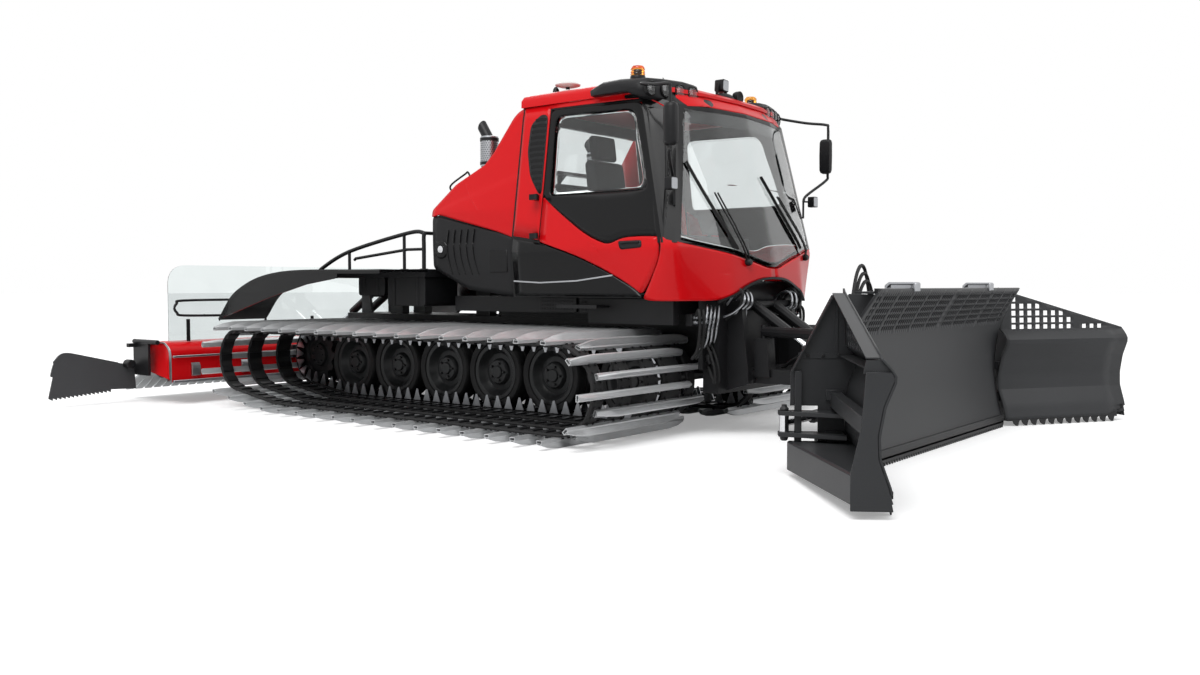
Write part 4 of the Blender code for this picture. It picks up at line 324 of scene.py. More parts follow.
def stamped(made, matrices):
    """One shape at many places: p' = R p + t for every matrix at once."""
    verts, faces = made
    matrices = np.asarray(matrices, float)
    points = np.einsum("mij,nj->mni", matrices[:, :3, :3], verts) + matrices[:, None, :3, 3]
    step = np.arange(len(matrices)) * len(verts)
    groups = [(group[None] + step[:, None, None]).reshape(-1, group.shape[1]) for group in faces]
    return points.reshape(-1, 3), groups


def turn(axis, angle, at=(0, 0, 0)):
    """4x4 that turns about a line along an axis through a point."""
    c, s = math.cos(angle), math.sin(angle)
    rot = {"X": [[1, 0, 0], [0, c, -s], [0, s, c]], "Y": [[c, 0, s], [0, 1, 0], [-s, 0, c]],
           "Z": [[c, -s, 0], [s, c, 0], [0, 0, 1]]}[axis]
    made = np.eye(4)
    made[:3, :3] = rot
    at = np.asarray(at, float)
    made[:3, 3] = at - made[:3, :3] @ at
    return made


def shift(*by):
    made = np.eye(4)
    made[:3, 3] = by
    return made


def grid(points, wrap_u=False, wrap_v=False):
    """Quads over an array of points with two running directions, closed where asked."""
    points = np.asarray(points, float)
    nu, nv = points.shape[:2]
    index = np.arange(nu * nv).reshape(nu, nv)
    if wrap_u:
        index = np.concatenate([index, index[:1]], 0)
    if wrap_v:
        index = np.concatenate([index, index[:, :1]], 1)
    quads = np.stack([index[:-1, :-1], index[1:, :-1], index[1:, 1:], index[:-1, 1:]], -1).reshape(-1, 4)
    return points.reshape(-1, 3), [quads]


def loft(loops):
    """Closed loops joined in their order, with a flat face on both ends."""
    loops = np.asarray(loops, float)
    verts, faces = grid(loops, wrap_v=True)
    index = np.arange(loops.shape[1])[None]
    return verts, faces + [index, index[:, ::-1] + index.size * (len(loops) - 1)]


def block(low, high):
    """A box between two corners."""
    x0, y0, z0 = low
    x1, y1, z1 = high
    verts = [(x0, y0, z0), (x1, y0, z0), (x1, y1, z0), (x0, y1, z0), (x0, y0, z1), (x1, y0, z1), (x1, y1, z1),
        (x0, y1, z1)]
    return shape(verts, [(0, 3, 2, 1), (4, 5, 6, 7), (0, 1, 5, 4), (1, 2, 6, 5), (2, 3, 7, 6), (3, 0, 4, 7)])


def lathe(profile, axis, at, steps=32):
    """A profile of (radius, height) turned about an axis: p = at + r cos a e1 + r sin a e2 + h e3."""
    profile = np.asarray(profile, float)
    angle = np.arange(steps) * math.tau / steps
    e1, e2, e3 = {"X": ((0, 1, 0), (0, 0, 1), (1, 0, 0)), "Y": ((0, 0, 1), (1, 0, 0), (0, 1, 0)),
        "Z": ((1, 0, 0), (0, 1, 0), (0, 0, 1))}[axis]
    ring = np.cos(angle)[:, None] * np.array(e1, float) + np.sin(angle)[:, None] * np.array(e2, float)
    points = profile[None, :, :1] * ring[:, None] + profile[None, :, 1:] * np.array(e3, float)
    return grid(points + np.asarray(at, float), wrap_u=True)


def along(points, count, closed=False):
    """Even places on a polyline: arc length is summed and each coordinate interpolated on it."""
    points = np.asarray(points, float)
    if closed:
        points = np.concatenate([points, points[:1]])
    lengths = np.concatenate([[0], np.cumsum(np.linalg.norm(np.diff(points, axis=0), axis=1))])
    at = np.linspace(0, lengths[-1], count, endpoint=not closed)
    return np.stack([np.interp(at, lengths, points[:, k]) for k in range(points.shape[1])], -1)


def smooth_line(points, per_span=8):
    """Catmull-Rom curve through the points: a cubic between each pair from its two neighbours."""
    points = np.asarray(points, float)
    padded = np.concatenate([points[:1] * 2 - points[1:2], points, points[-1:] * 2 - points[-2:-1]])
    t = np.arange(per_span)[:, None] / per_span
    p0, p1, p2, p3 = (padded[k:len(padded) - 3 + k, None] for k in range(4))
    spans = 0.5 * (2 * p1 + (p2 - p0) * t + (2 * p0 - 5 * p1 + 4 * p2 - p3) * t ** 2
        + (3 * p1 - p0 - 3 * p2 + p3) * t ** 3)
    return np.concatenate([spans.reshape(-1, points.shape[1]), points[-1:]])


def carried(profile, path, closed=False, up=(0, 0, 1)):
    """A profile in (side, up) carried along a path: side = up x tangent, kept square to the tangent."""
    path = np.asarray(path, float)
    profile = np.asarray(profile, float)
    if closed:
        tangent = np.roll(path, -1, 0) - np.roll(path, 1, 0)
    else:
        tangent = np.gradient(path, axis=0)
    tangent /= np.linalg.norm(tangent, axis=1, keepdims=True)
    side = np.cross(np.asarray(up, float), tangent)
    weak = np.linalg.norm(side, axis=1) < 1e-3
    side[weak] = np.cross((1.0, 0.0, 0.0), tangent[weak])
    for k in range(1, len(side)):
        if side[k] @ side[k - 1] < 0:
            side[k] = -side[k]
    side /= np.linalg.norm(side, axis=1, keepdims=True)
    rise = np.cross(tangent, side)
    points = path[:, None] + profile[None, :, :1] * side[:, None] + profile[None, :, 1:] * rise[:, None]
    verts, faces = grid(points, wrap_u=closed, wrap_v=True)
    if not closed:
        count = len(profile)
        last = (len(path) - 1) * count
        return verts, [faces[0][:, ::-1], np.arange(count)[None], (np.arange(count)[::-1] + last)[None]]
    return verts, [faces[0][:, ::-1]]


def ring_profile(radius, sides=10):
    angle = np.arange(sides) * math.tau / sides
    return np.stack([np.cos(angle), np.sin(angle)], -1) * radius


def tube(points, radius, sides=10, bend=None):
    """A round tube along a polyline, smoothed first where bend gives points per span."""
    path = smooth_line(points, bend) if bend else np.asarray(points, float)
    return carried(ring_profile(radius, sides), path)


def rod(start, end, radius, sides=16):
    start, end = np.asarray(start, float), np.asarray(end, float)
    return carried(ring_profile(radius, sides), np.linspace(start, end, 2), up=(0.3, 0.5, 0.81))


def prism(outline, low, high, plane="XZ"):
    """A flat outline given thickness: the same points at low and high, walls between."""
    outline = np.asarray(outline, float)
    area = np.sum(outline[:, 0] * np.roll(outline[:, 1], -1) - np.roll(outline[:, 0], -1) * outline[:, 1])
    if area < 0:
        outline = outline[::-1]
    count = len(outline)
    columns = {"XZ": (0, 2, 1), "XY": (0, 1, 2), "YZ": (1, 2, 0)}[plane]
    points = np.zeros((2, count, 3))
    points[:, :, columns[0]] = outline[:, 0]
    points[:, :, columns[1]] = outline[:, 1]
    points[0, :, columns[2]] = low
    points[1, :, columns[2]] = high
    index = np.arange(count)
    walls = np.stack([index, np.roll(index, -1), np.roll(index, -1) + count, index + count], -1)
    faces = [index[::-1][None], (index + count)[None], walls]
    if plane == "XZ":
        faces = [group[:, ::-1] for group in faces]
    return points.reshape(-1, 3), faces


def bolts(places, axis, radius=0.012, height=0.008, sides=6):
    """Hexagon heads at many places, standing out along an axis."""
    head = lathe([(0, 0), (radius, 0), (radius, height), (radius * 0.8, height * 1.25), (0, height * 1.25)],
        axis[-1], (0, 0, 0), sides)
    if axis[0] == "-":
        head = head[0] * -1, [group[:, ::-1] for group in head[1]]
    matrices = np.tile(np.eye(4), (len(places), 1, 1))
    matrices[:, :3, 3] = places
    return stamped(head, matrices)


def put(name, made, material, body, replaces=(), sharp=38, bevel=0.0, bevel_segments=1, wall=0.0):
    """Write the arrays into a mesh in the row's frame, and hand the piece to its body."""
    verts, groups = made
    mesh = bpy.data.meshes.new(name)
    loops = np.concatenate([group.ravel() for group in groups])
    sizes = np.concatenate([np.full(len(group), group.shape[1]) for group in groups])
    mesh.vertices.add(len(verts))
    mesh.vertices.foreach_set("co", (verts + TO_ROW).astype(np.float32).ravel())
    mesh.loops.add(len(loops))
    mesh.loops.foreach_set("vertex_index", loops.astype(np.int32))
    mesh.polygons.add(len(sizes))
    mesh.polygons.foreach_set("loop_start", np.concatenate([[0], np.cumsum(sizes)[:-1]]).astype(np.int32))
    mesh.polygons.foreach_set("loop_total", sizes.astype(np.int32))
    mesh.update(calc_edges=True)
    mesh.validate()
    bm = bmesh.new()
    bm.from_mesh(mesh)
    bmesh.ops.remove_doubles(bm, verts=bm.verts, dist=1e-6)
    bmesh.ops.dissolve_degenerate(bm, edges=bm.edges, dist=1e-7)
    if not wall:
        bmesh.ops.recalc_face_normals(bm, faces=bm.faces)
    bm.to_mesh(mesh)
    bm.free()
    mesh.polygons.foreach_set("use_smooth", np.ones(len(mesh.polygons), bool))
    mesh.set_sharp_from_angle(angle=math.radians(sharp))
    made_object = bpy.data.objects.new(name, mesh)
    bpy.context.scene.collection.objects.link(made_object)
    mesh.materials.append(material)
    if wall:
        solid = made_object.modifiers.new("wall", "SOLIDIFY")
        solid.thickness = wall
        solid.offset = -1
        solid.use_even_offset = False
    if bevel:
        soft = made_object.modifiers.new("edge", "BEVEL")
        soft.width = bevel
        soft.segments = bevel_segments
        soft.limit_method = "ANGLE"
        soft.angle_limit = math.radians(40)
    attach(made_object, body)
    for node in replaces:
        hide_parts(node)
    return made_object


# tracks and running gear

SHOE_HEIGHT = 0.085
BELT_THICK = 0.025
WHEEL_RADIUS = 0.34
HUB_Z = SHOE_HEIGHT + BELT_THICK + WHEEL_RADIUS
IDLER_X = -0.06
SPROCKET_X, SPROCKET_Z, SPROCKET_WRAP = -4.38, 0.50, 0.29
REAR_WHEEL_X, WHEEL_PITCH = -3.72, 0.69
WHEEL_PLANE, WHEEL_WIDTH = 0.83, 0.22
BELT_LANES = ((0.50, 0.62), (0.70, 0.96), (1.04, 1.22), (1.40, 1.57), (1.76, 1.90))
TRACK_OUTER, SHOE_LENGTH, SHOE_STAGGER, SHOE_PITCH = 2.10, 1.48, 0.25, 0.138


def track_loop(offset, step=math.radians(5)):
    """The loop round idler, sprocket and rear wheel: arcs joined by their common outer tangents."""
    circles = (((IDLER_X, HUB_Z), WHEEL_RADIUS), ((SPROCKET_X, SPROCKET_Z), SPROCKET_WRAP),
        ((REAR_WHEEL_X, HUB_Z), WHEEL_RADIUS))
    normals = []
    for i, (centre, radius) in enumerate(circles):
        following, next_radius = circles[(i + 1) % 3]
        run = np.subtract(following, centre)
        reach = np.linalg.norm(run)
        run = run / reach
        lean = (radius - next_radius) / reach
        normals.append(run * lean + np.array([run[1], -run[0]]) * math.sqrt(1 - lean * lean))
    points = []
    for i, (centre, radius) in enumerate(circles):
        start = math.atan2(normals[i - 1][1], normals[i - 1][0])
        sweep = (math.atan2(normals[i][1], normals[i][0]) - start) % math.tau
        angle = start + np.linspace(0, sweep, max(2, math.ceil(sweep / step) + 1))
        points.append(np.array(centre) + np.stack([np.cos(angle), np.sin(angle)], -1) * (radius + offset))
    return np.concatenate(points)


def loop_places(offset, count):
    """Even places round the loop as matrices: local x points out of the loop and local y across it."""
    points = track_loop(offset, math.radians(1.5))
    at = along(points, count=count * 8, closed=True)
    tangent = np.roll(at, -1, 0) - np.roll(at, 1, 0)
    tangent /= np.linalg.norm(tangent, axis=1, keepdims=True)
    at, tangent = at[::8], tangent[::8]
    out = np.stack([tangent[:, 1], -tangent[:, 0]], -1)
    matrices = np.tile(np.eye(4), (len(at), 1, 1))
    matrices[:, 0, 0], matrices[:, 2, 0] = out[:, 0], out[:, 1]
    matrices[:, 0, 2], matrices[:, 2, 2] = -out[:, 1], out[:, 0]
    matrices[:, 0, 3], matrices[:, 2, 3] = at[:, 0], at[:, 1]
    return matrices


def track_count():
    points = track_loop(BELT_THICK, math.radians(22.5))
    total = np.linalg.norm(points - np.roll(points, -1, 0), axis=1).sum()
    return 2 * round(total / SHOE_PITCH / 2)


def shoe():
    """Hollow alloy bar: a box foot with a wedge fin whose height falls away towards both ends."""
    outer = np.array([(0, -.027), (0, .027), (.026, .027), (.033, .018), (.085, .0055), (.085, -.0055),
        (.033, -.018), (.026, -.027)])
    inner = np.array([(.005, -.022), (.005, .022), (.023, .022), (.031, .0145), (.076, .0022), (.076, -.0022),
        (.031, -.0145), (.023, -.022)])
    stations = np.array([0, 0.10, 0.22, SHOE_LENGTH - 0.22, SHOE_LENGTH - 0.10, SHOE_LENGTH])
    heights = np.array([0.55, 0.86, 1.0, 1.0, 0.80, 0.42])
    skins = []
    for loop in (outer, inner):
        tall = np.where(loop[None, :, 0] > 0.032,
            0.032 + (loop[None, :, 0] - 0.032) * (heights[:, None] - 0.375) / 0.625, loop[None, :, 0])
        points = np.stack([tall, np.tile(stations[:, None], (1, 8)), np.tile(loop[None, :, 1], (6, 1))], -1)
        skins.append(grid(points, wrap_v=True))
    verts, faces = merged([skins[0], (skins[1][0], [skins[1][1][0][:, ::-1]])])
    k = np.arange(8)
    after = np.roll(k, -1)
    near = np.stack([k, after, after + 48, k + 48], -1)
    far = near[:, ::-1] + 40
    web = block((0.024, 0.001, -0.021), (0.0285, SHOE_LENGTH - 0.001, 0.021))
    return merged([(verts, faces + [near, far]), web])


def shoe_fixings(lanes):
    """Clamp plates under each belt and two bolt heads over it, on one shoe."""
    parts = []
    for low, high in lanes:
        parts.append(block((-BELT_THICK - 0.012, low + 0.01, -0.030), (-BELT_THICK, high - 0.01, 0.030)))
        for y in (low + 0.035, high - 0.035):
            parts.append(bolts([(0.002, y, 0.040)], "+X", 0.011, 0.008))
            parts.append(bolts([(0.002, y, -0.040)], "+X", 0.011, 0.008))
    return merged(parts)


def guide_tooth():
    """A bent plate: a triangle that stands in from the belt, with a flange at its foot."""
    flat = [(-0.052, -BELT_THICK - 0.012), (0.052, -BELT_THICK - 0.012), (0.040, -0.065), (0.010, -0.150),
            (-0.010, -0.150), (-0.040, -0.065)]
    verts, faces = prism(flat, -0.004, 0.004, "XZ")
    return verts[:, [2, 1, 0]], faces


def make_tracks():
    """Both tracks: separate rubber belts, two staggered sets of alloy shoes, fixings and guide teeth."""
    count = track_count()
    places = loop_places(BELT_THICK, count)
    for name, side in SIDES:
        belts = []
        for low, high in BELT_LANES:
            outer, inner = track_loop(BELT_THICK), track_loop(0)
            edge = 0.006
            rows = [(inner, low + edge), (inner, high - edge), ((inner + outer) / 2, high),
                    (outer, high - edge),
                    (outer, low + edge), ((inner + outer) / 2, low)]
            points = np.stack([np.stack([line[:, 0], np.full(len(line), y), line[:, 1]], -1) for line,
                y in rows], 1)
            belts.append(grid(points, wrap_u=True, wrap_v=True))
        put("track_belts_" + name, on_side(merged(belts), side), RUBBER, "chassis",
            ["track_" + name])
        shoes, fixings = [], []
        for set_number in (0, 1):
            outer_end = TRACK_OUTER - SHOE_STAGGER * set_number
            start = outer_end - SHOE_LENGTH
            shoes.append(stamped(moved(shoe(), shift(0, start, 0)), places[set_number::2]))
            lanes = [lane for lane in BELT_LANES if lane[0] > start and lane[1] < outer_end + 0.06]
            fixings.append(stamped(shoe_fixings(lanes), places[set_number::2]))
        put("track_shoes_" + name, on_side(merged(shoes), side), ALLOY, "chassis", sharp=25)
        put("track_fixings_" + name, on_side(merged(fixings), side), BLACK_STEEL, "chassis")
        teeth = []
        for y in (WHEEL_PLANE - 0.132, WHEEL_PLANE + 0.132):
            teeth.append(stamped(moved(guide_tooth(), shift(0, y, 0)), places))
        put("track_guides_" + name, on_side(merged(teeth), side), STEEL, "chassis")


def road_wheel(y_in, y_out):
    """Rubber tyre with rounded shoulders, from its inner to its outer face."""
    r = WHEEL_RADIUS - 0.0005
    width = y_out - y_in
    return [(0.262, y_in + 0.03), (0.270, y_in + 0.012), (0.300, y_in + 0.002), (0.322, y_in + 0.004),
            (r - 0.005, y_in + 0.018), (r, y_in + 0.035), (r, y_in + width / 2 - 0.012),
            (r - 0.008, y_in + width / 2),
            (r, y_in + width / 2 + 0.012), (r, y_out - 0.035), (r - 0.005, y_out - 0.018),
            (0.322, y_out - 0.004),
            (0.300, y_out - 0.002), (0.270, y_out - 0.012), (0.262, y_out - 0.03)]


def make_wheels():
    """Six axles of dished wheels: tyre, rim with its dish, hub and five nuts."""
    inner, outer = WHEEL_PLANE - WHEEL_WIDTH / 2, WHEEL_PLANE + WHEEL_WIDTH / 2
    rim = [(0.0, outer - 0.030), (0.052, outer - 0.030), (0.058, outer - 0.034), (0.060, outer - 0.046),
           (0.105, outer - 0.048), (0.118, outer - 0.060), (0.128, outer - 0.085), (0.172, outer - 0.090),
           (0.196, outer - 0.070), (0.216, outer - 0.030), (0.226, outer - 0.020), (0.258, outer - 0.018),
           (0.264, outer - 0.026), (0.264, inner + 0.026), (0.258, inner + 0.018), (0.215, inner + 0.030),
           (0.190, inner + 0.075), (0.050, inner + 0.085), (0.050, 0.0)]
    nuts = [(0.082 * math.cos(math.tau * k / 5), outer - 0.047, 0.082 * math.sin(math.tau * k / 5))
        for k in range(5)]
    places = [("axle_%d" % (i + 1), REAR_WHEEL_X + i * WHEEL_PITCH)
        for i in range(5)] + [("idler_axle", IDLER_X)]
    for node, x in places:
        at = (x, 0, HUB_Z)
        tyres, rims = [], []
        for _, side in SIDES:
            tyres.append(on_side(lathe(road_wheel(inner, outer), "Y", at, 56), side))
            rims.append(on_side(lathe(rim, "Y", at, 48), side))
            rims.append(on_side(moved(bolts(nuts, "+Y", 0.013, 0.014), shift(*at)), side))
        put(node + "_rims", merged(rims), RIM, "chassis", [node], sharp=30)
        put(node + "_tyres", merged(tyres), TYRE, "chassis", sharp=30)


def make_sprockets():
    """Toothed drive rings with lightening dish, and the final drives that carry them."""
    for name, side in SIDES:
        teeth = 12
        k = np.arange(teeth * 8)
        angle = math.tau * k / len(k)
        reach = SPROCKET_WRAP - 0.004 - 0.046 * (0.5 - 0.5 * np.clip(np.cos(angle * teeth) * 2.2, -1, 1))
        rows = []
        for y, scale, floor in ((0.775, 0.0, 0.13), (0.775, 1.0, 0.0), (0.885, 1.0, 0.0), (0.885, 0.0, 0.20),
                (0.865, 0.0, 0.19), (0.860, 0.0, 0.13), (0.890, 0.0, 0.12), (0.895, 0.0, 0.05),
                (0.895, 0.0, 0.0001)):
            radius = reach * scale + floor
            rows.append(np.stack([SPROCKET_X + radius * np.cos(angle), np.full(len(k), y),
                SPROCKET_Z + radius * np.sin(angle)], -1))
        disc = grid(np.stack(rows, 1), wrap_u=True)
        drive = lathe([(0, 0.345), (0.150, 0.345), (0.150, 0.52), (0.138, 0.54), (0.138, 0.74),
            (0.13, 0.775)], "Y", (SPROCKET_X, 0, SPROCKET_Z), 40)
        nuts = [(SPROCKET_X + 0.085 * math.cos(math.tau * i / 8), 0.892,
            SPROCKET_Z + 0.085 * math.sin(math.tau * i / 8)) for i in range(8)]
        put("sprocket_wheel_" + name, on_side(merged([disc, drive, bolts(nuts, "+Y", 0.012, 0.012)]), side),
            RIM,
            "chassis", ["sprocket_" + name], sharp=30)


# cab skin

CAB_REAR, CAB_LENGTH, CAB_HALF, CAB_BOTTOM, CAB_HEIGHT = -1.19, 1.95, 1.20, 1.16, 1.68
# Columns: height, side half, side front x, corner x, corner half, mid x, mid half, tip x
CAB_SECTIONS = np.array([
    (0.00, 0.965, 0.800, 0.885, 0.860, 0.990, 0.500, 1.030),
    (0.24, 1.000, 0.842, 0.885, 0.960, 0.965, 0.500, 1.000),
    (0.94, 0.860, 0.675, 0.795, 0.735, 0.845, 0.400, 0.865),
    (1.00, 0.840, 0.660, 0.760, 0.710, 0.800, 0.400, 0.815),
])
ARC = np.linspace(0, 1, 161)
CORNER_PASSES = 9


def section_at(z):
    """Half outlines of the cab from the tip round to the rear corner, one row per height.

    Corners of the polyline are rounded by averaging neighbours, which keeps the line inside it.
    """
    share = np.clip((np.atleast_1d(z) - CAB_BOTTOM) / CAB_HEIGHT, -0.02, 1.02)
    half, side_x, corner_x, corner_y, mid_x, mid_y, tip_x = (
        np.interp(share, CAB_SECTIONS[:, 0], CAB_SECTIONS[:, k]) for k in range(1, 8))
    zero = np.zeros_like(half)
    xs = CAB_REAR + CAB_LENGTH * np.stack([tip_x, mid_x, corner_x, side_x, zero], -1)
    ys = CAB_HALF * np.stack([zero, mid_y, corner_y, half, half], -1)
    steps = np.hypot(np.diff(xs), np.diff(ys))
    lengths = np.concatenate([zero[:, None], np.cumsum(steps, -1)], -1)
    line = np.empty((len(share), len(ARC), 2))
    for row in range(len(share)):
        at = ARC * lengths[row, -1]
        line[row, :, 0] = np.interp(at, lengths[row], xs[row])
        line[row, :, 1] = np.interp(at, lengths[row], ys[row])
    for _ in range(CORNER_PASSES):
        before = np.concatenate([line[:, 1:2] * (1, -1), line[:, :-1]], 1)
        after = np.concatenate([line[:, 1:], line[:, -1:]], 1)
        line = (before + line * 2 + after) / 4
    return line


LEVELS = np.linspace(CAB_BOTTOM - 0.03, CAB_BOTTOM + CAB_HEIGHT + 0.03, 72)
SKIN = section_at(LEVELS)


def on_skin(arc, z, out=0.0):
    """Point of the right half skin at an arc share (0 at the tip, 1 at the rear corner) and height."""
    arc, z = np.broadcast_arrays(arc, z)
    column = np.clip(np.abs(arc) * (len(ARC) - 1), 0, len(ARC) - 1.0001)
    row = np.clip((z - LEVELS[0]) / (LEVELS[1] - LEVELS[0]), 0, len(LEVELS) - 1.0001)
    c, r = column.astype(int), row.astype(int)
    fc, fr = (column - c)[..., None], (row - r)[..., None]
    near = SKIN[r, c] * (1 - fc) + SKIN[r, c + 1] * fc
    far = SKIN[r + 1, c] * (1 - fc) + SKIN[r + 1, c + 1] * fc
    flat = near * (1 - fr) + far * fr
    run = SKIN[r, np.minimum(c + 1, len(ARC) - 1)] - SKIN[r, np.maximum(c - 1, 0)]
    run = run / np.linalg.norm(run, axis=-1, keepdims=True)
    outward = np.stack([run[..., 1], -run[..., 0]], -1)
    flat = flat + outward * np.asarray(out)[..., None]
    sign = np.where(arc < 0, 1.0, -1.0)
    return np.stack([flat[..., 0], flat[..., 1] * sign, np.broadcast_to(z, arc.shape)], -1)


def arc_of(x, z):
    """Arc share of the skin point at a given x, searched on the section at that height."""
    found = []
    for xi, zi in zip(np.atleast_1d(x), np.atleast_1d(z)):
        row = int(round(np.clip((zi - LEVELS[0]) / (LEVELS[1] - LEVELS[0]), 0, len(LEVELS) - 1)))
        found.append(np.interp(-xi, -SKIN[row, :, 0], ARC))
    return np.array(found)


def arc_of_y(y, z):
    """Arc share of the skin point at a given y on the front, searched at that height."""
    found = []
    for yi, zi in zip(np.atleast_1d(y), np.atleast_1d(z)):
        row = int(round(np.clip((zi - LEVELS[0]) / (LEVELS[1] - LEVELS[0]), 0, len(LEVELS) - 1)))
        top = int(np.argmax(SKIN[row, :, 1] > SKIN[row, :, 1].max() - 0.004))
        found.append(np.interp(abs(yi), SKIN[row, :top, 1], ARC[:top]))
    return np.array(found)


def xz(points):
    """Outline given as x and z on the cab's side, as arc share and z."""
    points = np.asarray(points, float)
    return np.stack([arc_of(points[:, 0], points[:, 1]), points[:, 1]], -1)


def yz(points):
    """Outline given as y and z on the cab's front, as arc share (its sign kept) and z."""
    points = np.asarray(points, float)
    return np.stack([np.sign(points[:, 0]) * arc_of_y(points[:, 0], points[:, 1]), points[:, 1]], -1)


def rounded(outline, radius, steps=5):
    """Each corner replaced by a quadratic curve between points a radius away on both its edges."""
    outline = np.asarray(outline, float)
    made = []
    radii = np.broadcast_to(radius, (len(outline),))
    for k, corner in enumerate(outline):
        before, after = outline[k - 1], outline[(k + 1) % len(outline)]
        one, two = before - corner, after - corner
        near = min(radii[k], 0.45 * np.linalg.norm(one))
        far = min(radii[k], 0.45 * np.linalg.norm(two))
        start = corner + one / np.linalg.norm(one) * near
        end = corner + two / np.linalg.norm(two) * far
        t = np.linspace(0, 1, steps)[:, None]
        made.append((1 - t) ** 2 * start + 2 * t * (1 - t) * corner + t ** 2 * end)
    return np.concatenate(made)


def by_angle(outline, centre, angles):
    """Where rays from the centre leave the outline: the farthest crossing of each ray with an edge."""
    a = outline - centre
    b = np.roll(a, -1, 0)
    ray = np.stack([np.cos(angles), np.sin(angles)], -1)
    edge = b - a
    cross = ray[:, None, 0] * edge[None, :, 1] - ray[:, None, 1] * edge[None, :, 0]
    cross = np.where(np.abs(cross) < 1e-12, 1e-12, cross)
    reach = (a[None, :, 0] * edge[None, :, 1] - a[None, :, 1] * edge[None, :, 0]) / cross
    along_edge = (a[None, :, 0] * ray[:, None, 1] - a[None, :, 1] * ray[:, None, 0]) / cross
    good = (reach > 0) & (along_edge > -1e-6) & (along_edge < 1 + 1e-6)
    return centre + ray * np.where(good, reach, 0).max(1)[:, None]


def panel(outer, mapping, inner=None, rings=8, count=96, centre=None):
    """Rings of points between two outlines, or between an outline and its centre, put on a surface."""
    outer = np.asarray(outer, float)
    span = np.ptp(outer, axis=0)
    scaled = outer / span
    middle = (np.asarray(centre, float) if centre is not None
        else (inner if inner is not None else outer).mean(0)) / span
    angles = np.linspace(0, math.tau, count, endpoint=False)
    corners = scaled - middle
    angles = np.concatenate([angles, np.arctan2(corners[:, 1], corners[:, 0]) % math.tau])
    if inner is not None:
        hole = np.asarray(inner, float) / span
        angles = np.concatenate([angles, np.arctan2(*(hole - middle).T[::-1]) % math.tau])
    angles = np.unique(np.round(angles, 5))
    rim = by_angle(scaled, middle, angles)
    low = by_angle(hole, middle, angles) if inner is not None else middle + (rim - middle) * 0.08
    share = np.linspace(0, 1, rings)[:, None, None]
    flat = (rim[None] * (1 - share) + low[None] * share) * span
    verts, faces = grid(mapping(flat[..., 0], flat[..., 1]), wrap_v=True)
    if inner is None:
        hub = middle * span
        verts = np.concatenate([verts, mapping(hub[:1], hub[1:])])
        ring = np.arange(len(angles)) + (rings - 1) * len(angles)
        faces = faces + [np.stack([ring, np.full(len(ring), len(verts) - 1), np.roll(ring, -1)], -1)]
    return verts, faces


def skin_panel(outer, out=0.0, **options):
    return panel(outer, lambda a, z: on_skin(a, z, np.full(a.shape, out)), **options)


def both_sides(made):
    return merged([made, flipped(made)])


# cab

WINDOW_TOP = [(-0.800, 2.735), (0.052, 2.715), (0.115, 2.52), (0.262, 2.03), (-0.790, 2.03)]
FRAME_EDGE = [(-0.858, 2.792), (0.105, 2.768), (0.150, 2.69), (0.398, 1.655), (0.236, 1.662), (0.039, 1.657),
    (-0.098, 1.597), (-0.282, 1.660), (-0.444, 1.746), (-0.715, 1.925), (-0.858, 2.035)]
RED_BAND = [(-0.858, 2.029), (-0.715, 1.919), (-0.444, 1.740), (-0.282, 1.654), (-0.098, 1.591),
    (0.039, 1.651), (0.236, 1.656), (0.396, 1.649), (0.408, 1.495), (0.302, 1.294), (0.214, 1.187),
    (0.160, 1.235), (-0.109, 1.378), (-0.457, 1.522), (-0.858, 1.640)]


def make_doors():
    """Curved doors: black frame round the glass, red band below, recessed handle with a grip."""
    glass = rounded(WINDOW_TOP, [0.09, 0.09, 0.3, 0.09, 0.06])
    pane = skin_panel(xz(rounded([(-0.812, 2.747), (0.058, 2.727), (0.125, 2.52), (0.276, 2.018),
        (-0.802, 2.018)], [0.09, 0.09, 0.3, 0.09, 0.06])), out=-0.010)
    frame = skin_panel(xz(rounded(FRAME_EDGE, [0.06, 0.05, 0.05, 0.02, 0.05, 0.10, 0.08, 0.2, 0.2, 0.2,
        0.03])), inner=xz(glass), rings=7, count=120)
    band = skin_panel(xz(rounded(RED_BAND, [0.02, 0.2, 0.2, 0.2, 0.08, 0.10, 0.05, 0.02, 0.06, 0.1, 0.05, 0.1,
        0.2, 0.2, 0.02])), centre=xz([(-0.12, 1.48)])[0], rings=9, count=120, out=0.001)
    recess = skin_panel(xz(rounded([(0.00, 1.622), (0.238, 1.626), (0.246, 1.566), (0.03, 1.552)], 0.022)),
        out=0.003, count=48, rings=3)
    line = np.array([(0.035, 1.604), (0.11, 1.612), (0.215, 1.610)])
    grip = carried(ring_profile(0.008, 8), on_skin(arc_of(line[:, 0], line[:, 1]), line[:, 1],
        np.full(3, 0.008)))
    for name, side in SIDES:
        body = "door_" + name
        put("door_frame_" + name, on_side(flipped(frame), side), BLACK_GLOSS, body,
            ["door_" + name],
            wall=0.022, sharp=30)
        put("door_band_" + name, on_side(flipped(band), side), RED, body, wall=0.024, sharp=30)
        put("door_pane_" + name, on_side(flipped(pane), side), WINDOW, body,
            ["door_glass_" + name],
            wall=0.006)
        put("door_recess_" + name, on_side(flipped(recess), side), BLACK_PLASTIC, body,
            wall=0.004)
        put("door_grip_" + name, on_side(flipped(grip), side), BLACK_STEEL, body)


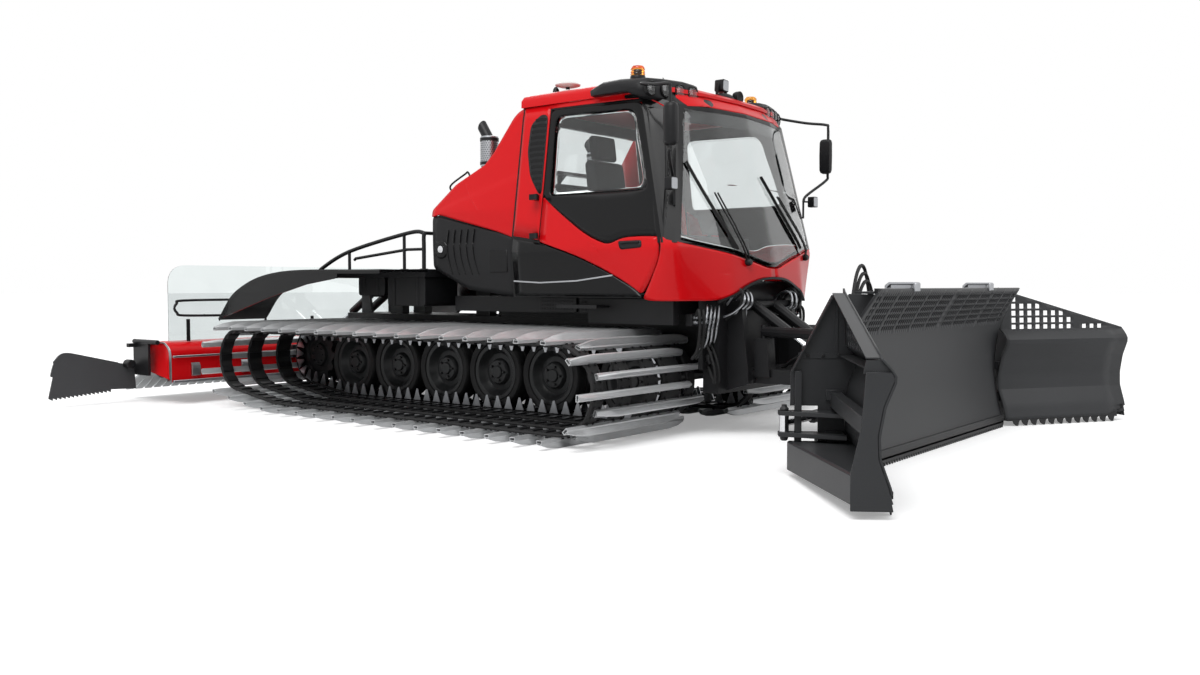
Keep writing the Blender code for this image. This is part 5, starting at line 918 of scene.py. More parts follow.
def make_cab_skins():
    """Red skins over the black shell: behind and above the doors, and the ribbed vent strip."""
    rear = skin_panel(xz([(-1.188, 2.838), (-0.90, 2.838), (-0.868, 2.80), (-0.868, 1.655), (-1.188, 1.700)]),
        out=0.004, rings=5)
    above = skin_panel(xz([(-0.93, 2.840), (0.14, 2.842), (0.125, 2.792), (-0.93, 2.806)]), out=0.004,
        rings=3)
    pillar = skin_panel(xz([(0.120, 2.795), (0.163, 2.69), (0.408, 1.655), (0.440, 1.648), (0.397, 2.10),
        (0.292, 2.70), (0.26, 2.79)]), out=0.002, rings=5)
    skirt = skin_panel(xz(rounded([(-1.186, 1.168), (0.222, 1.168), (0.205, 1.182), (0.160, 1.224),
        (-0.109, 1.366), (-0.457, 1.510), (-0.862, 1.628), (-1.186, 1.676)],
        [0.05, 0.02, 0.02, 0.1, 0.2, 0.2, 0.03, 0.02])), out=0.003, rings=7)
    line = [(-1.17, 1.30), (-0.86, 1.285), (-0.45, 1.300), (-0.06, 1.345)]
    trim = carried([(-0.004, -0.006), (0.006, -0.006), (0.006, 0.006), (-0.004, 0.006)],
        on_skin(xz(line)[:, 0], xz(line)[:, 1], np.full(4, 0.006)))
    vent_edge = rounded([(-0.958, 2.765), (-0.885, 2.745), (-0.878, 2.06), (-0.915, 2.06), (-1.03, 2.22),
        (-1.085, 2.44), (-1.075, 2.68)], 0.05)
    vent = skin_panel(xz(vent_edge), out=0.009, rings=5)
    ribs = []
    for z in np.arange(2.14, 2.72, 0.052):
        start = np.interp(z, [2.06, 2.22, 2.44, 2.68, 2.765], [-0.905, -1.01, -1.065, -1.055, -0.96])
        x = np.linspace(start, -0.895, 5)
        heights = z + np.array([0, 0.004, 0.006, 0.004, 0])
        ribs.append(carried([(-0.004, -0.013), (0.016, -0.010), (0.016, 0.002), (-0.004, 0.013)],
            on_skin(arc_of(x, heights), heights, np.full(5, 0.008))))
    put("cab_side_skins", both_sides(merged([rear, above])), RED, "chassis", wall=0.004,
        sharp=30)
    put("cab_dark_skins", both_sides(merged([pillar, skirt])), BLACK_GLOSS, "chassis",
        wall=0.004,
        sharp=30)
    put("cab_skirt_trims", both_sides(trim), STEEL, "chassis")
    put("cab_vents", both_sides(vent), BLACK_PLASTIC, "chassis", wall=0.006)
    put("cab_vent_ribs", both_sides(merged(ribs)), BLACK_GLOSS, "chassis")


def make_front():
    """Windshield that wraps both corners, its dark border and upper band, the red brow and the nose."""
    low = [(0.0, 1.418), (0.09, 1.420), (0.55, 1.532), (1.00, 1.600)]
    right = np.concatenate([yz(low), xz([(0.448, 1.640), (0.405, 2.10), (0.300, 2.70)]),
        yz([(0.78, 2.728), (0.40, 2.738), (0.0, 2.742)])])
    whole = np.concatenate([right, (right * (-1, 1))[-2:0:-1]])
    whole = rounded(whole, 0.02, 3)
    middle = np.array([0.0, 2.1])
    hole = middle + (whole - middle) * (0.958, 0.955)
    pane = skin_panel(whole, out=0.0, rings=14, count=180, centre=middle)
    border = skin_panel(whole, inner=hole, out=-0.007, rings=3, count=180, centre=middle)
    band_right = np.concatenate([yz([(0.0, 2.60), (0.40, 2.595)]), xz([(0.338, 2.585), (0.300, 2.695)]),
        yz([(0.40, 2.734), (0.0, 2.738)])])
    band = np.concatenate([band_right, (band_right * (-1, 1))[-2:0:-1]])
    top_band = skin_panel(band, out=-0.0075, rings=4, count=120)
    put("windshield_pane", pane, WINDOW, "chassis", ["windshield"], wall=0.006)
    put("windshield_border", merged([border, top_band]), BLACK_GLOSS, "chassis", wall=0.002)
    brow_right = np.concatenate([yz([(0.0, 2.752), (0.40, 2.748), (0.76, 2.740)]),
        xz([(0.285, 2.712), (0.14, 2.795), (0.14, 2.846)]), yz([(0.70, 2.846), (0.0, 2.846)])])
    brow = np.concatenate([brow_right, (brow_right * (-1, 1))[-2:0:-1]])
    put("cab_brow", skin_panel(brow, out=0.006, rings=5, count=140, centre=(0, 2.797)), RED, "chassis",
        wall=0.012)
    nose_right = np.concatenate([
        yz([(0.0, 1.404), (0.09, 1.406), (0.55, 1.518), (1.00, 1.586)]), xz([(0.452, 1.625), (0.430, 1.655),
        (0.418, 1.648), (0.421, 1.493), (0.316, 1.288), (0.232, 1.150), (0.33, 1.135)]),
        yz([(1.02, 1.137), (0.72, 1.137), (0.55, 1.20), (0.40, 1.272), (0.16, 1.330), (0.0, 1.336)])])
    right_half = rounded(nose_right, [0, 0.03, 0.1, 0.1, 0.03, 0.01, 0.01, 0.08, 0.1, 0.03, 0.05, 0.1, 0.06,
        0.05, 0.05, 0.05, 0])
    nose = skin_panel(right_half, out=0.006, rings=12, count=160, centre=yz([(0.86, 1.36)])[0])
    put("nose_skin", both_sides(nose), RED, "chassis", ["nose"], wall=0.03, sharp=32)
    arch = yz([(0.74, 1.13), (0.56, 1.195), (0.40, 1.262), (0.16, 1.320), (-0.16, 1.320), (-0.40, 1.262),
        (-0.56, 1.195), (-0.74, 1.13)])
    line = on_skin(arch[:, 0], arch[:, 1], np.full(8, -0.012))
    put("nose_arch_lip", carried([(-0.03, -0.012), (0.012, -0.012), (0.012, 0.006), (-0.03, 0.006)],
        smooth_line(line, 6)), BLACK_PLASTIC, "chassis")


def make_roof():
    """Roof skin with soft shoulders, black pods with four lamps each, beacons, search light, aerials."""
    rows = []
    outline = section_at([CAB_BOTTOM + CAB_HEIGHT])[0][::4]
    centre = np.array([-0.55, 0.0])
    run = np.gradient(outline, axis=0)
    run /= np.linalg.norm(run, axis=1, keepdims=True)
    out = np.stack([run[:, 1], -run[:, 0]], -1)
    for z, inset in ((2.842, -0.020), (2.90, -0.018), (2.938, 0.010), (2.958, 0.055), (2.968, 0.16),
            (2.969, 0.5)):
        line = outline - out * inset if inset < 0.2 else centre + (outline - centre) * 0.35
        rear = np.array([[CAB_REAR - 0.02 + max(0, inset) * 0.6, line[-1, 1]]])
        half = np.concatenate([line[line[:, 0] > CAB_REAR + 0.1], rear])
        half = along(half, 40)
        ring = np.concatenate([half * (1, -1), half[::-1][:-1]])
        rows.append(np.concatenate([ring, np.full((len(ring), 1), z)], 1))
    rows = np.array(rows)
    front = np.clip((rows[..., 0] - 0.02) / 0.42, 0, 1)
    rows[..., 2] -= front * (rows[..., 2] - 2.842) * 0.62
    verts, faces = grid(rows, wrap_v=True)
    count = rows.shape[1]
    faces.append(np.arange(count)[None] + (len(rows) - 1) * count)
    faces.append(np.arange(count)[None, ::-1])
    put("roof_skin", (verts, faces), RED, "chassis", ["cab_roof"], sharp=40)

    rims, glasses, bowls = [], [], []
    stations = []
    for y, front_x, z_low, z_top, rear_x in ((0.525, 0.325, 2.845, 2.915, 0.10),
            (0.55, 0.352, 2.80, 2.940, -0.02), (0.70, 0.338, 2.778, 2.948, -0.20),
            (0.90, 0.280, 2.770, 2.948, -0.34), (1.05, 0.228, 2.775, 2.942, -0.38),
            (1.105, 0.185, 2.80, 2.915, -0.36), (1.118, 0.13, 2.845, 2.885, -0.30)):
        middle, long = (z_low + z_top) / 2, front_x - rear_x
        loop = [(front_x, middle - 0.02), (front_x, middle + 0.02), (front_x - 0.012, z_top - 0.018),
                (front_x - 0.045, z_top), (rear_x + long * 0.50, z_top + 0.018),
                (rear_x + long * 0.20, z_top + 0.014),
                (rear_x, z_top - 0.03), (rear_x + 0.01, max(z_low, 2.845)),
                (front_x - long * 0.34, max(z_low, 2.842)),
                (front_x - 0.07, z_low), (front_x - 0.03, z_low), (front_x - 0.006, z_low + 0.012)]
        stations.append([(x, -y, z) for x, z in loop])
    lamp_turn = -0.8 * math.atan2(0.085, 0.42)
    for x, y in ((0.225, 1.045), (0.275, 0.905), (0.318, 0.765), (0.350, 0.625)):
        at = (x, -y, 2.852)
        aim = turn("Z", lamp_turn, at)
        rims.append(moved(lathe([(0.062, -0.02), (0.064, 0.006), (0.058, 0.012), (0.053, 0.010),
            (0.050, -0.02)], "X", at, 28), aim))
        bowls.append(moved(lathe([(0.052, 0.006), (0.046, -0.016), (0.030, -0.034), (0.012, -0.040),
            (0.0, -0.040)], "X", at, 24), aim))
        bowls.append(moved(lathe([(0.0, -0.006), (0.010, -0.008), (0.013, -0.02), (0.013, -0.036)], "X", at,
            16), aim))
        glasses.append(moved(lathe([(0.052, 0.007), (0.040, 0.011), (0.020, 0.014), (0.0, 0.0145),
            (0.0, 0.0115), (0.020, 0.011), (0.040, 0.008), (0.050, 0.004)], "X", at, 24), aim))
    put("roof_pods", both_sides(loft(stations)), BLACK_PLASTIC, "chassis", ["light_bar"],
        sharp=50)
    put("roof_lamp_rims", both_sides(merged(rims)), BLACK_GLOSS, "chassis")
    put("roof_lamp_bowls", both_sides(merged(bowls)), CHROME, "chassis")
    put("roof_lamp_glass", both_sides(merged(glasses)), LENS, "chassis")

    dome = lathe([(0.0, 2.952), (0.05, 2.950), (0.085, 2.935), (0.11, 2.905), (0.12, 2.86), (0.12, 2.842),
        (0, 2.842)], "Z", (0.25, 0, 0), 28)
    ear = merged([block((0.225, -0.075, 2.94), (0.255, -0.068, 3.04)),
        block((0.225, 0.068, 2.94), (0.255, 0.075, 3.04))])
    case = prism(rounded([(-0.055, -0.05), (0.05, -0.055), (0.055, 0.05), (-0.045, 0.055)], 0.02), 0.20,
        0.285, "YZ")
    case = moved(case, shift(0, 0, 3.02))
    horn = lathe([(0.0, 0.30), (0.05, 0.30), (0.056, 0.32), (0.056, 0.36), (0.048, 0.352), (0.0, 0.33)], "X",
        (0, 0.13, 2.925), 24)
    put("search_light_case", merged([dome, ear, case, horn]), BLACK_PLASTIC, "chassis",
        bevel=0.003,
        sharp=45)
    face = prism(rounded([(-0.046, -0.042), (0.042, -0.046), (0.046, 0.042), (-0.038, 0.046)], 0.02), 0.285,
        0.289, "YZ")
    put("search_light_face", moved(face, shift(0, 0, 3.02)), STEEL, "chassis")

    disc = lathe([(0.0, 3.030), (0.07, 3.032), (0.112, 3.044), (0.115, 3.052), (0.09, 3.066), (0.04, 3.073),
        (0.0, 3.074)], "Z", (-0.90, -0.75, 0), 32)
    put("roof_disc", disc, WHITE_PLASTIC, "chassis")
    stalk = lathe([(0.0, 2.955), (0.05, 2.955), (0.05, 2.975), (0.018, 2.99), (0.018, 3.031), (0.0, 3.031)],
        "Z", (-0.90, -0.75, 0), 20)
    spike = lathe([(0.0, 2.955), (0.036, 2.955), (0.036, 2.985), (0.026, 3.03), (0.012, 3.05), (0.0, 3.052)],
        "Z", (-1.04, -0.75, 0), 20)
    put("roof_aerials", merged([stalk, spike]), BLACK_PLASTIC, "chassis")

    bases, lenses = [], []
    for _, side in SIDES:
        at = (0, side * 0.92, 0)
        bases.append(lathe([(0, 2.968), (0.064, 2.968), (0.064, 2.990), (0.060, 2.996), (0.0, 2.998)], "Z",
            at, 32))
        lenses.append(lathe([(0.0, 2.999), (0.060, 2.999), (0.062, 3.01), (0.058, 3.02), (0.061, 3.03),
            (0.057, 3.04), (0.060, 3.05), (0.055, 3.065), (0.045, 3.076), (0.0, 3.080)], "Z", at, 32))
        bases.append(lathe([(0.0, 3.0), (0.024, 3.0), (0.024, 3.05), (0.0, 3.055)], "Z", at, 16))
    put("beacon_bases", merged(bases), BLACK_PLASTIC, "chassis")
    put("beacon_lenses", merged(lenses), AMBER, "chassis", ["beacon_right", "beacon_left"])
    cap = lathe([(0.0, 2.998), (0.03, 2.996), (0.062, 2.985), (0.074, 2.966), (0.060, 2.958), (0.0, 2.957)],
        "Z", (-0.86, -0.80, 0), 32)
    put("satellite_cap", cap, WHITE_PLASTIC, "chassis")
    mast = merged([lathe([(0, 2.92), (0.035, 2.92), (0.03, 2.95), (0.012, 2.96), (0.012, 2.985), (0, 2.985)],
        "Z", (-0.86, -0.80, 0), 16), tube([(0.02, -0.50, 2.94), (0.02, -0.50, 2.97), (-0.04, -0.50, 3.05)],
        0.004, 8), lathe([(0.0, 2.975), (0.026, 2.97), (0.03, 2.94), (0.03, 2.925), (0.0, 2.925)], "Z",
        (-1.02, -0.86, 0), 16)])
    put("roof_aerials", mast, BLACK_PLASTIC, "chassis")


def make_mirrors():
    """Tubular arms with rounded mirror heads, a lower lamp and the bracket back to the pillar."""
    for name, side in SIDES:
        arm = tube([(0.225, -1.105, 2.872), (0.225, -1.18, 2.872), (0.42, -1.27, 2.83), (0.59, -1.338, 2.806),
            (0.614, -1.34, 2.77), (0.614, -1.34, 2.55), (0.614, -1.34, 2.33), (0.60, -1.33, 2.27),
            (0.50, -1.13, 2.12), (0.487, -1.09, 2.06)], 0.013, 10, 5)
        head = []
        for z, scale in ((2.335, 0.55), (2.345, 0.86), (2.37, 1.0), (2.50, 1.03), (2.63, 1.0), (2.655, 0.86),
                (2.665, 0.55)):
            loop = [(0.605 + 0.058 * scale * math.cos(a), -1.34 - 0.078 * scale * math.sin(a) * 0.62 + 0.02,
                z) for a in np.linspace(0, math.pi, 13)]
            loop += [(0.605 - 0.058 * scale + 0.116 * scale * t, -1.34 + 0.055 * scale,
                z) for t in (0.06, 0.94)]
            head.append(loop)
        lamp = prism(rounded([(-0.045, -0.05), (0.045, -0.05), (0.045, 0.05), (-0.045, 0.05)], 0.015), 0.50,
            0.56, "YZ")
        lamp = moved(lamp, shift(0, -1.20, 2.06))
        bracket = merged([rod((0.487, -1.09, 2.06), (0.487, -1.09, 1.90), 0.010, 8),
            rod((0.487, -1.09, 2.06), (0.53, -1.20, 2.06), 0.009, 8)])
        put("mirror_arm_" + name, on_side(flipped(merged([arm, bracket])), side), BLACK_STEEL, "chassis",
            ["mirror_" + name])
        put("mirror_head_" + name, on_side(flipped(merged([loft(head), lamp])), side), BLACK_PLASTIC,
            "chassis",
            sharp=45)
        face = prism(rounded([(-0.040, -0.043), (0.040, -0.043), (0.040, 0.043), (-0.040, 0.043)], 0.014),
            0.5605, 0.564, "YZ")
        put("mirror_lamp_" + name, on_side(flipped(moved(face, shift(0, -1.20, 2.06))), side), STEEL,
            "chassis")


def make_wipers():
    """Two arms with twin rods that rise from the base of the windshield, each with its blade."""
    metal, rubber = [], []
    for base, tip, blade_low, blade_high in (
            ((0.38, 1.455), (0.66, 2.02), (0.50, 1.56), (0.90, 2.26)),
            ((-0.80, 1.52), (-0.26, 2.04), (-0.66, 1.60), (-0.02, 2.20))):
        a = yz([base, tip])
        for shift_y in (-0.016, 0.016):
            t = np.linspace(0, 1, 9)
            arc = a[0, 0] + (a[1, 0] - a[0, 0]) * t + shift_y * 0.4
            z = base[1] + (tip[1] - base[1]) * t
            metal.append(tube(on_skin(arc, z, np.interp(t, [0, 0.15, 1], [0.02, 0.055, 0.04])), 0.0075, 8))
        b = yz([blade_low, blade_high])
        t = np.linspace(0, 1, 15)
        arc = b[0, 0] + (b[1, 0] - b[0, 0]) * t
        z = blade_low[1] + (blade_high[1] - blade_low[1]) * t
        rubber.append(carried([(-0.010, -0.012), (0.010, -0.012), (0.004, 0.012), (-0.004, 0.012)],
            on_skin(arc, z, np.full(15, 0.018)), up=(0.9, 0.2, 0.3)))
        hub = on_skin(a[:1, 0], np.array([base[1]]), np.array([0.02]))[0]
        metal.append(lathe([(0, -0.03), (0.028, -0.03), (0.032, 0.01), (0.022, 0.03), (0, 0.032)], "X", hub,
            20))
    put("wiper_arms", merged(metal), BLACK_STEEL, "chassis")
    put("wiper_blades", merged(rubber), RUBBER, "chassis")


# blade and wings

BLADE_LIP_X, BLADE_HALF, BLADE_LOW, BLADE_HEIGHT, BLADE_DEPTH = 2.378, 1.59, 0.012, 1.23, 0.24
BLADE_TOP = BLADE_LOW + BLADE_HEIGHT
BLADE_PROFILE = np.array([(0.45, 0), (0.72, 0.12), (0.95, 0.33), (0.95, 0.53), (0.70, 0.76), (0, 1)])
WING_PROFILE = np.array([(0.45, 0), (0.58, 0.13), (0.82, 0.26), (0.84, 0.36), (0.72, 0.49), (0.47, 0.61),
    (0.60, 0.655), (0.80, 0.69), (0.88, 1.0)])
HINGE_X, HINGE_Y, WING_END, WING_TIP_Z = 2.08, 1.594, 3.024, 0.873
MITRE = math.tan(math.radians(18.2))
FOLDED = turn("Z", -math.radians(33), (HINGE_X, HINGE_Y, 0))
SHEET_THICK = 0.012


def board_x(z, profile, per_span):
    """Front face of a mouldboard: depth read from its profile curve at a height."""
    curve = smooth_line(profile, per_span) if per_span else profile
    depth = np.interp((z - BLADE_LOW) / BLADE_HEIGHT, curve[:, 1], curve[:, 0])
    return BLADE_LIP_X - BLADE_DEPTH * depth


def punched(columns, rows, place, keep):
    """A sheet over columns and rows; faces whose middle falls in a hole are left out."""
    y, z = np.meshgrid(columns, rows, indexing="ij")
    verts, (faces,) = grid(place(y, z))
    flat = np.stack([y.ravel(), z.ravel()], -1)[faces].mean(1)
    return verts, [faces[keep(flat[:, 0], flat[:, 1])]]


def spans(places, half, low, high, step):
    """Sorted lines at both sides of every place, with even lines between them."""
    lines = sorted([p - half for p in places] + [p + half for p in places] + [low, high])
    lines = [line for line in lines if low <= line <= high]
    filled = [lines[0]]
    for line in lines[1:]:
        count = max(1, int(round((line - filled[-1]) / step)))
        filled += list(filled[-1] + (line - filled[-1]) * np.arange(1, count + 1) / count)
    return np.array(filled)


def cutting_teeth(y_start, y_end, pitch, depth, x_at, thick):
    """A row of teeth under an edge: each one a tapered plate."""
    parts = []
    for y in np.arange(y_start, y_end - pitch * 0.5, pitch):
        flat = [(y, 0.06), (y, depth), (y + pitch * 0.30, 0.0), (y + pitch * 0.52, 0.0),
                (y + pitch * 0.78, depth),
                (y + pitch * 0.97, depth), (y + pitch * 0.97, 0.06)]
        verts, faces = prism(flat, 0, thick, "YZ")
        verts[:, 0] += x_at
        parts.append((verts, faces))
    return merged(parts)


def make_board():
    """Mouldboard: curved sheet with six rows of slots, top flange, beams, ribs and toothed edge."""
    slot_rows = [0.965 + 0.043 * k for k in range(6)]
    slot_places = [y for y in np.arange(-1.44, 1.45, 0.036) if min(abs(abs(y) - r)
        for r in (0.02, 0.30, 0.58, 0.85, 1.12, 1.38)) > 0.022]
    columns = spans(slot_places, 0.0125, -1.46, 1.46, 0.25)
    columns = np.concatenate([[-1.60, -1.53], columns, [1.53, 1.60]])
    rows = spans(slot_rows, 0.0145, 0.050, BLADE_TOP, 0.035)

    def place(y, z):
        x = board_x(z, BLADE_PROFILE, 12)
        half = BLADE_HALF - (x - HINGE_X) * MITRE
        return np.stack([x, np.where(np.abs(y) > 1.5, np.sign(y) * (half - (1.60 - np.abs(y)) * 0.5), y), z],
            -1)

    def keep(y, z):
        in_row = np.min(np.abs(z[:, None] - np.array(slot_rows)), 1) < 0.0142
        in_slot = np.min(np.abs(y[:, None] - np.array(slot_places)), 1) < 0.0122
        return ~(in_row & in_slot)

    sheet = punched(columns, rows, place, keep)
    sheet = sheet[0], [group[:, ::-1] for group in sheet[1]]
    put("blade_sheet", sheet, BLADE_GREY, "blade", ["blade"], wall=SHEET_THICK, sharp=30)

    parts = [block((1.96, -1.56, 0.144), (2.08, 1.56, 0.264)),
        block((1.96, -1.56, 0.676), (2.056, 1.56, 0.772)), block((2.215, -1.50, 1.206), (2.366, 1.50, 1.222))]
    parts.append(block((1.972, -0.12, 0.56), (2.045, 0.12, 0.736)))
    parts.append(block((1.972, -0.12, 0.156), (2.045, 0.12, 0.36)))
    parts.append(lathe([(0.044, 1.972), (0.075, 1.972), (0.075, 2.05), (0.044, 2.05)], "X", (0, 0, 0.46), 32))
    for y in (0.30, 0.85, 1.38):
        z = np.linspace(0.14, 1.20, 26)
        front = np.stack([board_x(z, BLADE_PROFILE, 12) - SHEET_THICK * 0.8, z], -1)
        back = [(2.12, 1.205), (1.99, 0.80), (1.975, 0.60), (1.975, 0.14)]
        rib = prism(np.concatenate([front, back]), y - 0.012, y + 0.012, "XZ")
        parts += [rib, flipped(rib)]
    for side in (-1, 1):
        low_y, high_y = sorted((side * 0.752, side * 0.872))
        for z in (0.265, 0.4055):
            parts.append(block((1.80, low_y, z), (2.08, high_y, z + 0.03)))
        for share in ((0.10, 0.17), (0.34, 0.40), (0.46, 0.52)):
            z0, z1 = BLADE_LOW + BLADE_HEIGHT * share[0], BLADE_LOW + BLADE_HEIGHT * share[1] - 0.001
            at = (HINGE_X, side * HINGE_Y, 0)
            parts.append(lathe([(0.0, z0), (0.037, z0), (0.040, z0 + 0.003), (0.040, z1 - 0.003), (0.037, z1),
                (0.0, z1)], "Z", at, 24))
            inner, outer = sorted((side * (HINGE_Y - 0.024), side * (BLADE_HALF - 0.12)))
            parts.append(block((HINGE_X - 0.03, inner, z0 + 0.002), (HINGE_X + 0.05, outer, z1 - 0.002)))
    put("blade_frame", merged(parts), BLADE_GREY, "blade", bevel=0.004, sharp=35)

    edge_x = board_x(0.05, BLADE_PROFILE, 12)
    strip = block((edge_x - 0.002, -1.515, 0.045), (edge_x + 0.012, 1.515, 0.115))
    seam = [board_x(z, BLADE_PROFILE, 12) for z in (0.893, 0.903)]
    line = shape([(seam[0] - 0.001, -1.50, 0.893), (seam[0] + 0.0035, -1.50, 0.893),
        (seam[1] + 0.0035, -1.50, 0.903), (seam[1] - 0.001, -1.50, 0.903), (seam[0] - 0.001, 1.50, 0.893),
        (seam[0] + 0.0035, 1.50, 0.893), (seam[1] + 0.0035, 1.50, 0.903), (seam[1] - 0.001, 1.50, 0.903)],
        [(0, 1, 2, 3), (4, 7, 6, 5), (0, 4, 5, 1), (1, 5, 6, 2), (2, 6, 7, 3), (3, 7, 4, 0)])
    teeth = cutting_teeth(-1.50, 1.50, 0.045, 0.026, edge_x + 0.004, 0.008)
    put("blade_teeth", merged([strip, teeth]), BLADE_EDGE, "blade", sharp=30)
    rim = block((2.352, -1.50, 1.212), (2.378, 1.50, 1.242))
    flange = [(2.30, y, 1.222) for y in np.arange(-1.42, 1.43, 0.071)]
    face_bolts = [(board_x(z, BLADE_PROFILE, 12), y, z) for y in np.arange(-1.42, 1.43, 0.105)
        for z in (1.212, 0.925)]
    put("blade_trim", merged([line, rim, bolts(flange, "+Z", 0.011, 0.007),
        bolts(face_bolts, "+X", 0.009, 0.006)]), BLADE_EDGE, "blade")
    hooks = []
    for y in (-0.86, 0.72):
        saddle = [(2.17, 1.19), (2.17, 1.262), (2.20, 1.285), (2.385, 1.285), (2.395, 1.275), (2.395, 1.22),
            (2.381, 1.22), (2.381, 1.268), (2.21, 1.268), (2.19, 1.25), (2.19, 1.19)]
        hooks.append(prism(saddle, y - 0.05, y + 0.05, "XZ"))
        hooks.append(block((2.21, y - 0.04, 1.224), (2.36, y + 0.04, 1.268)))
    put("blade_hooks", merged(hooks), STEEL, "blade", bevel=0.003)


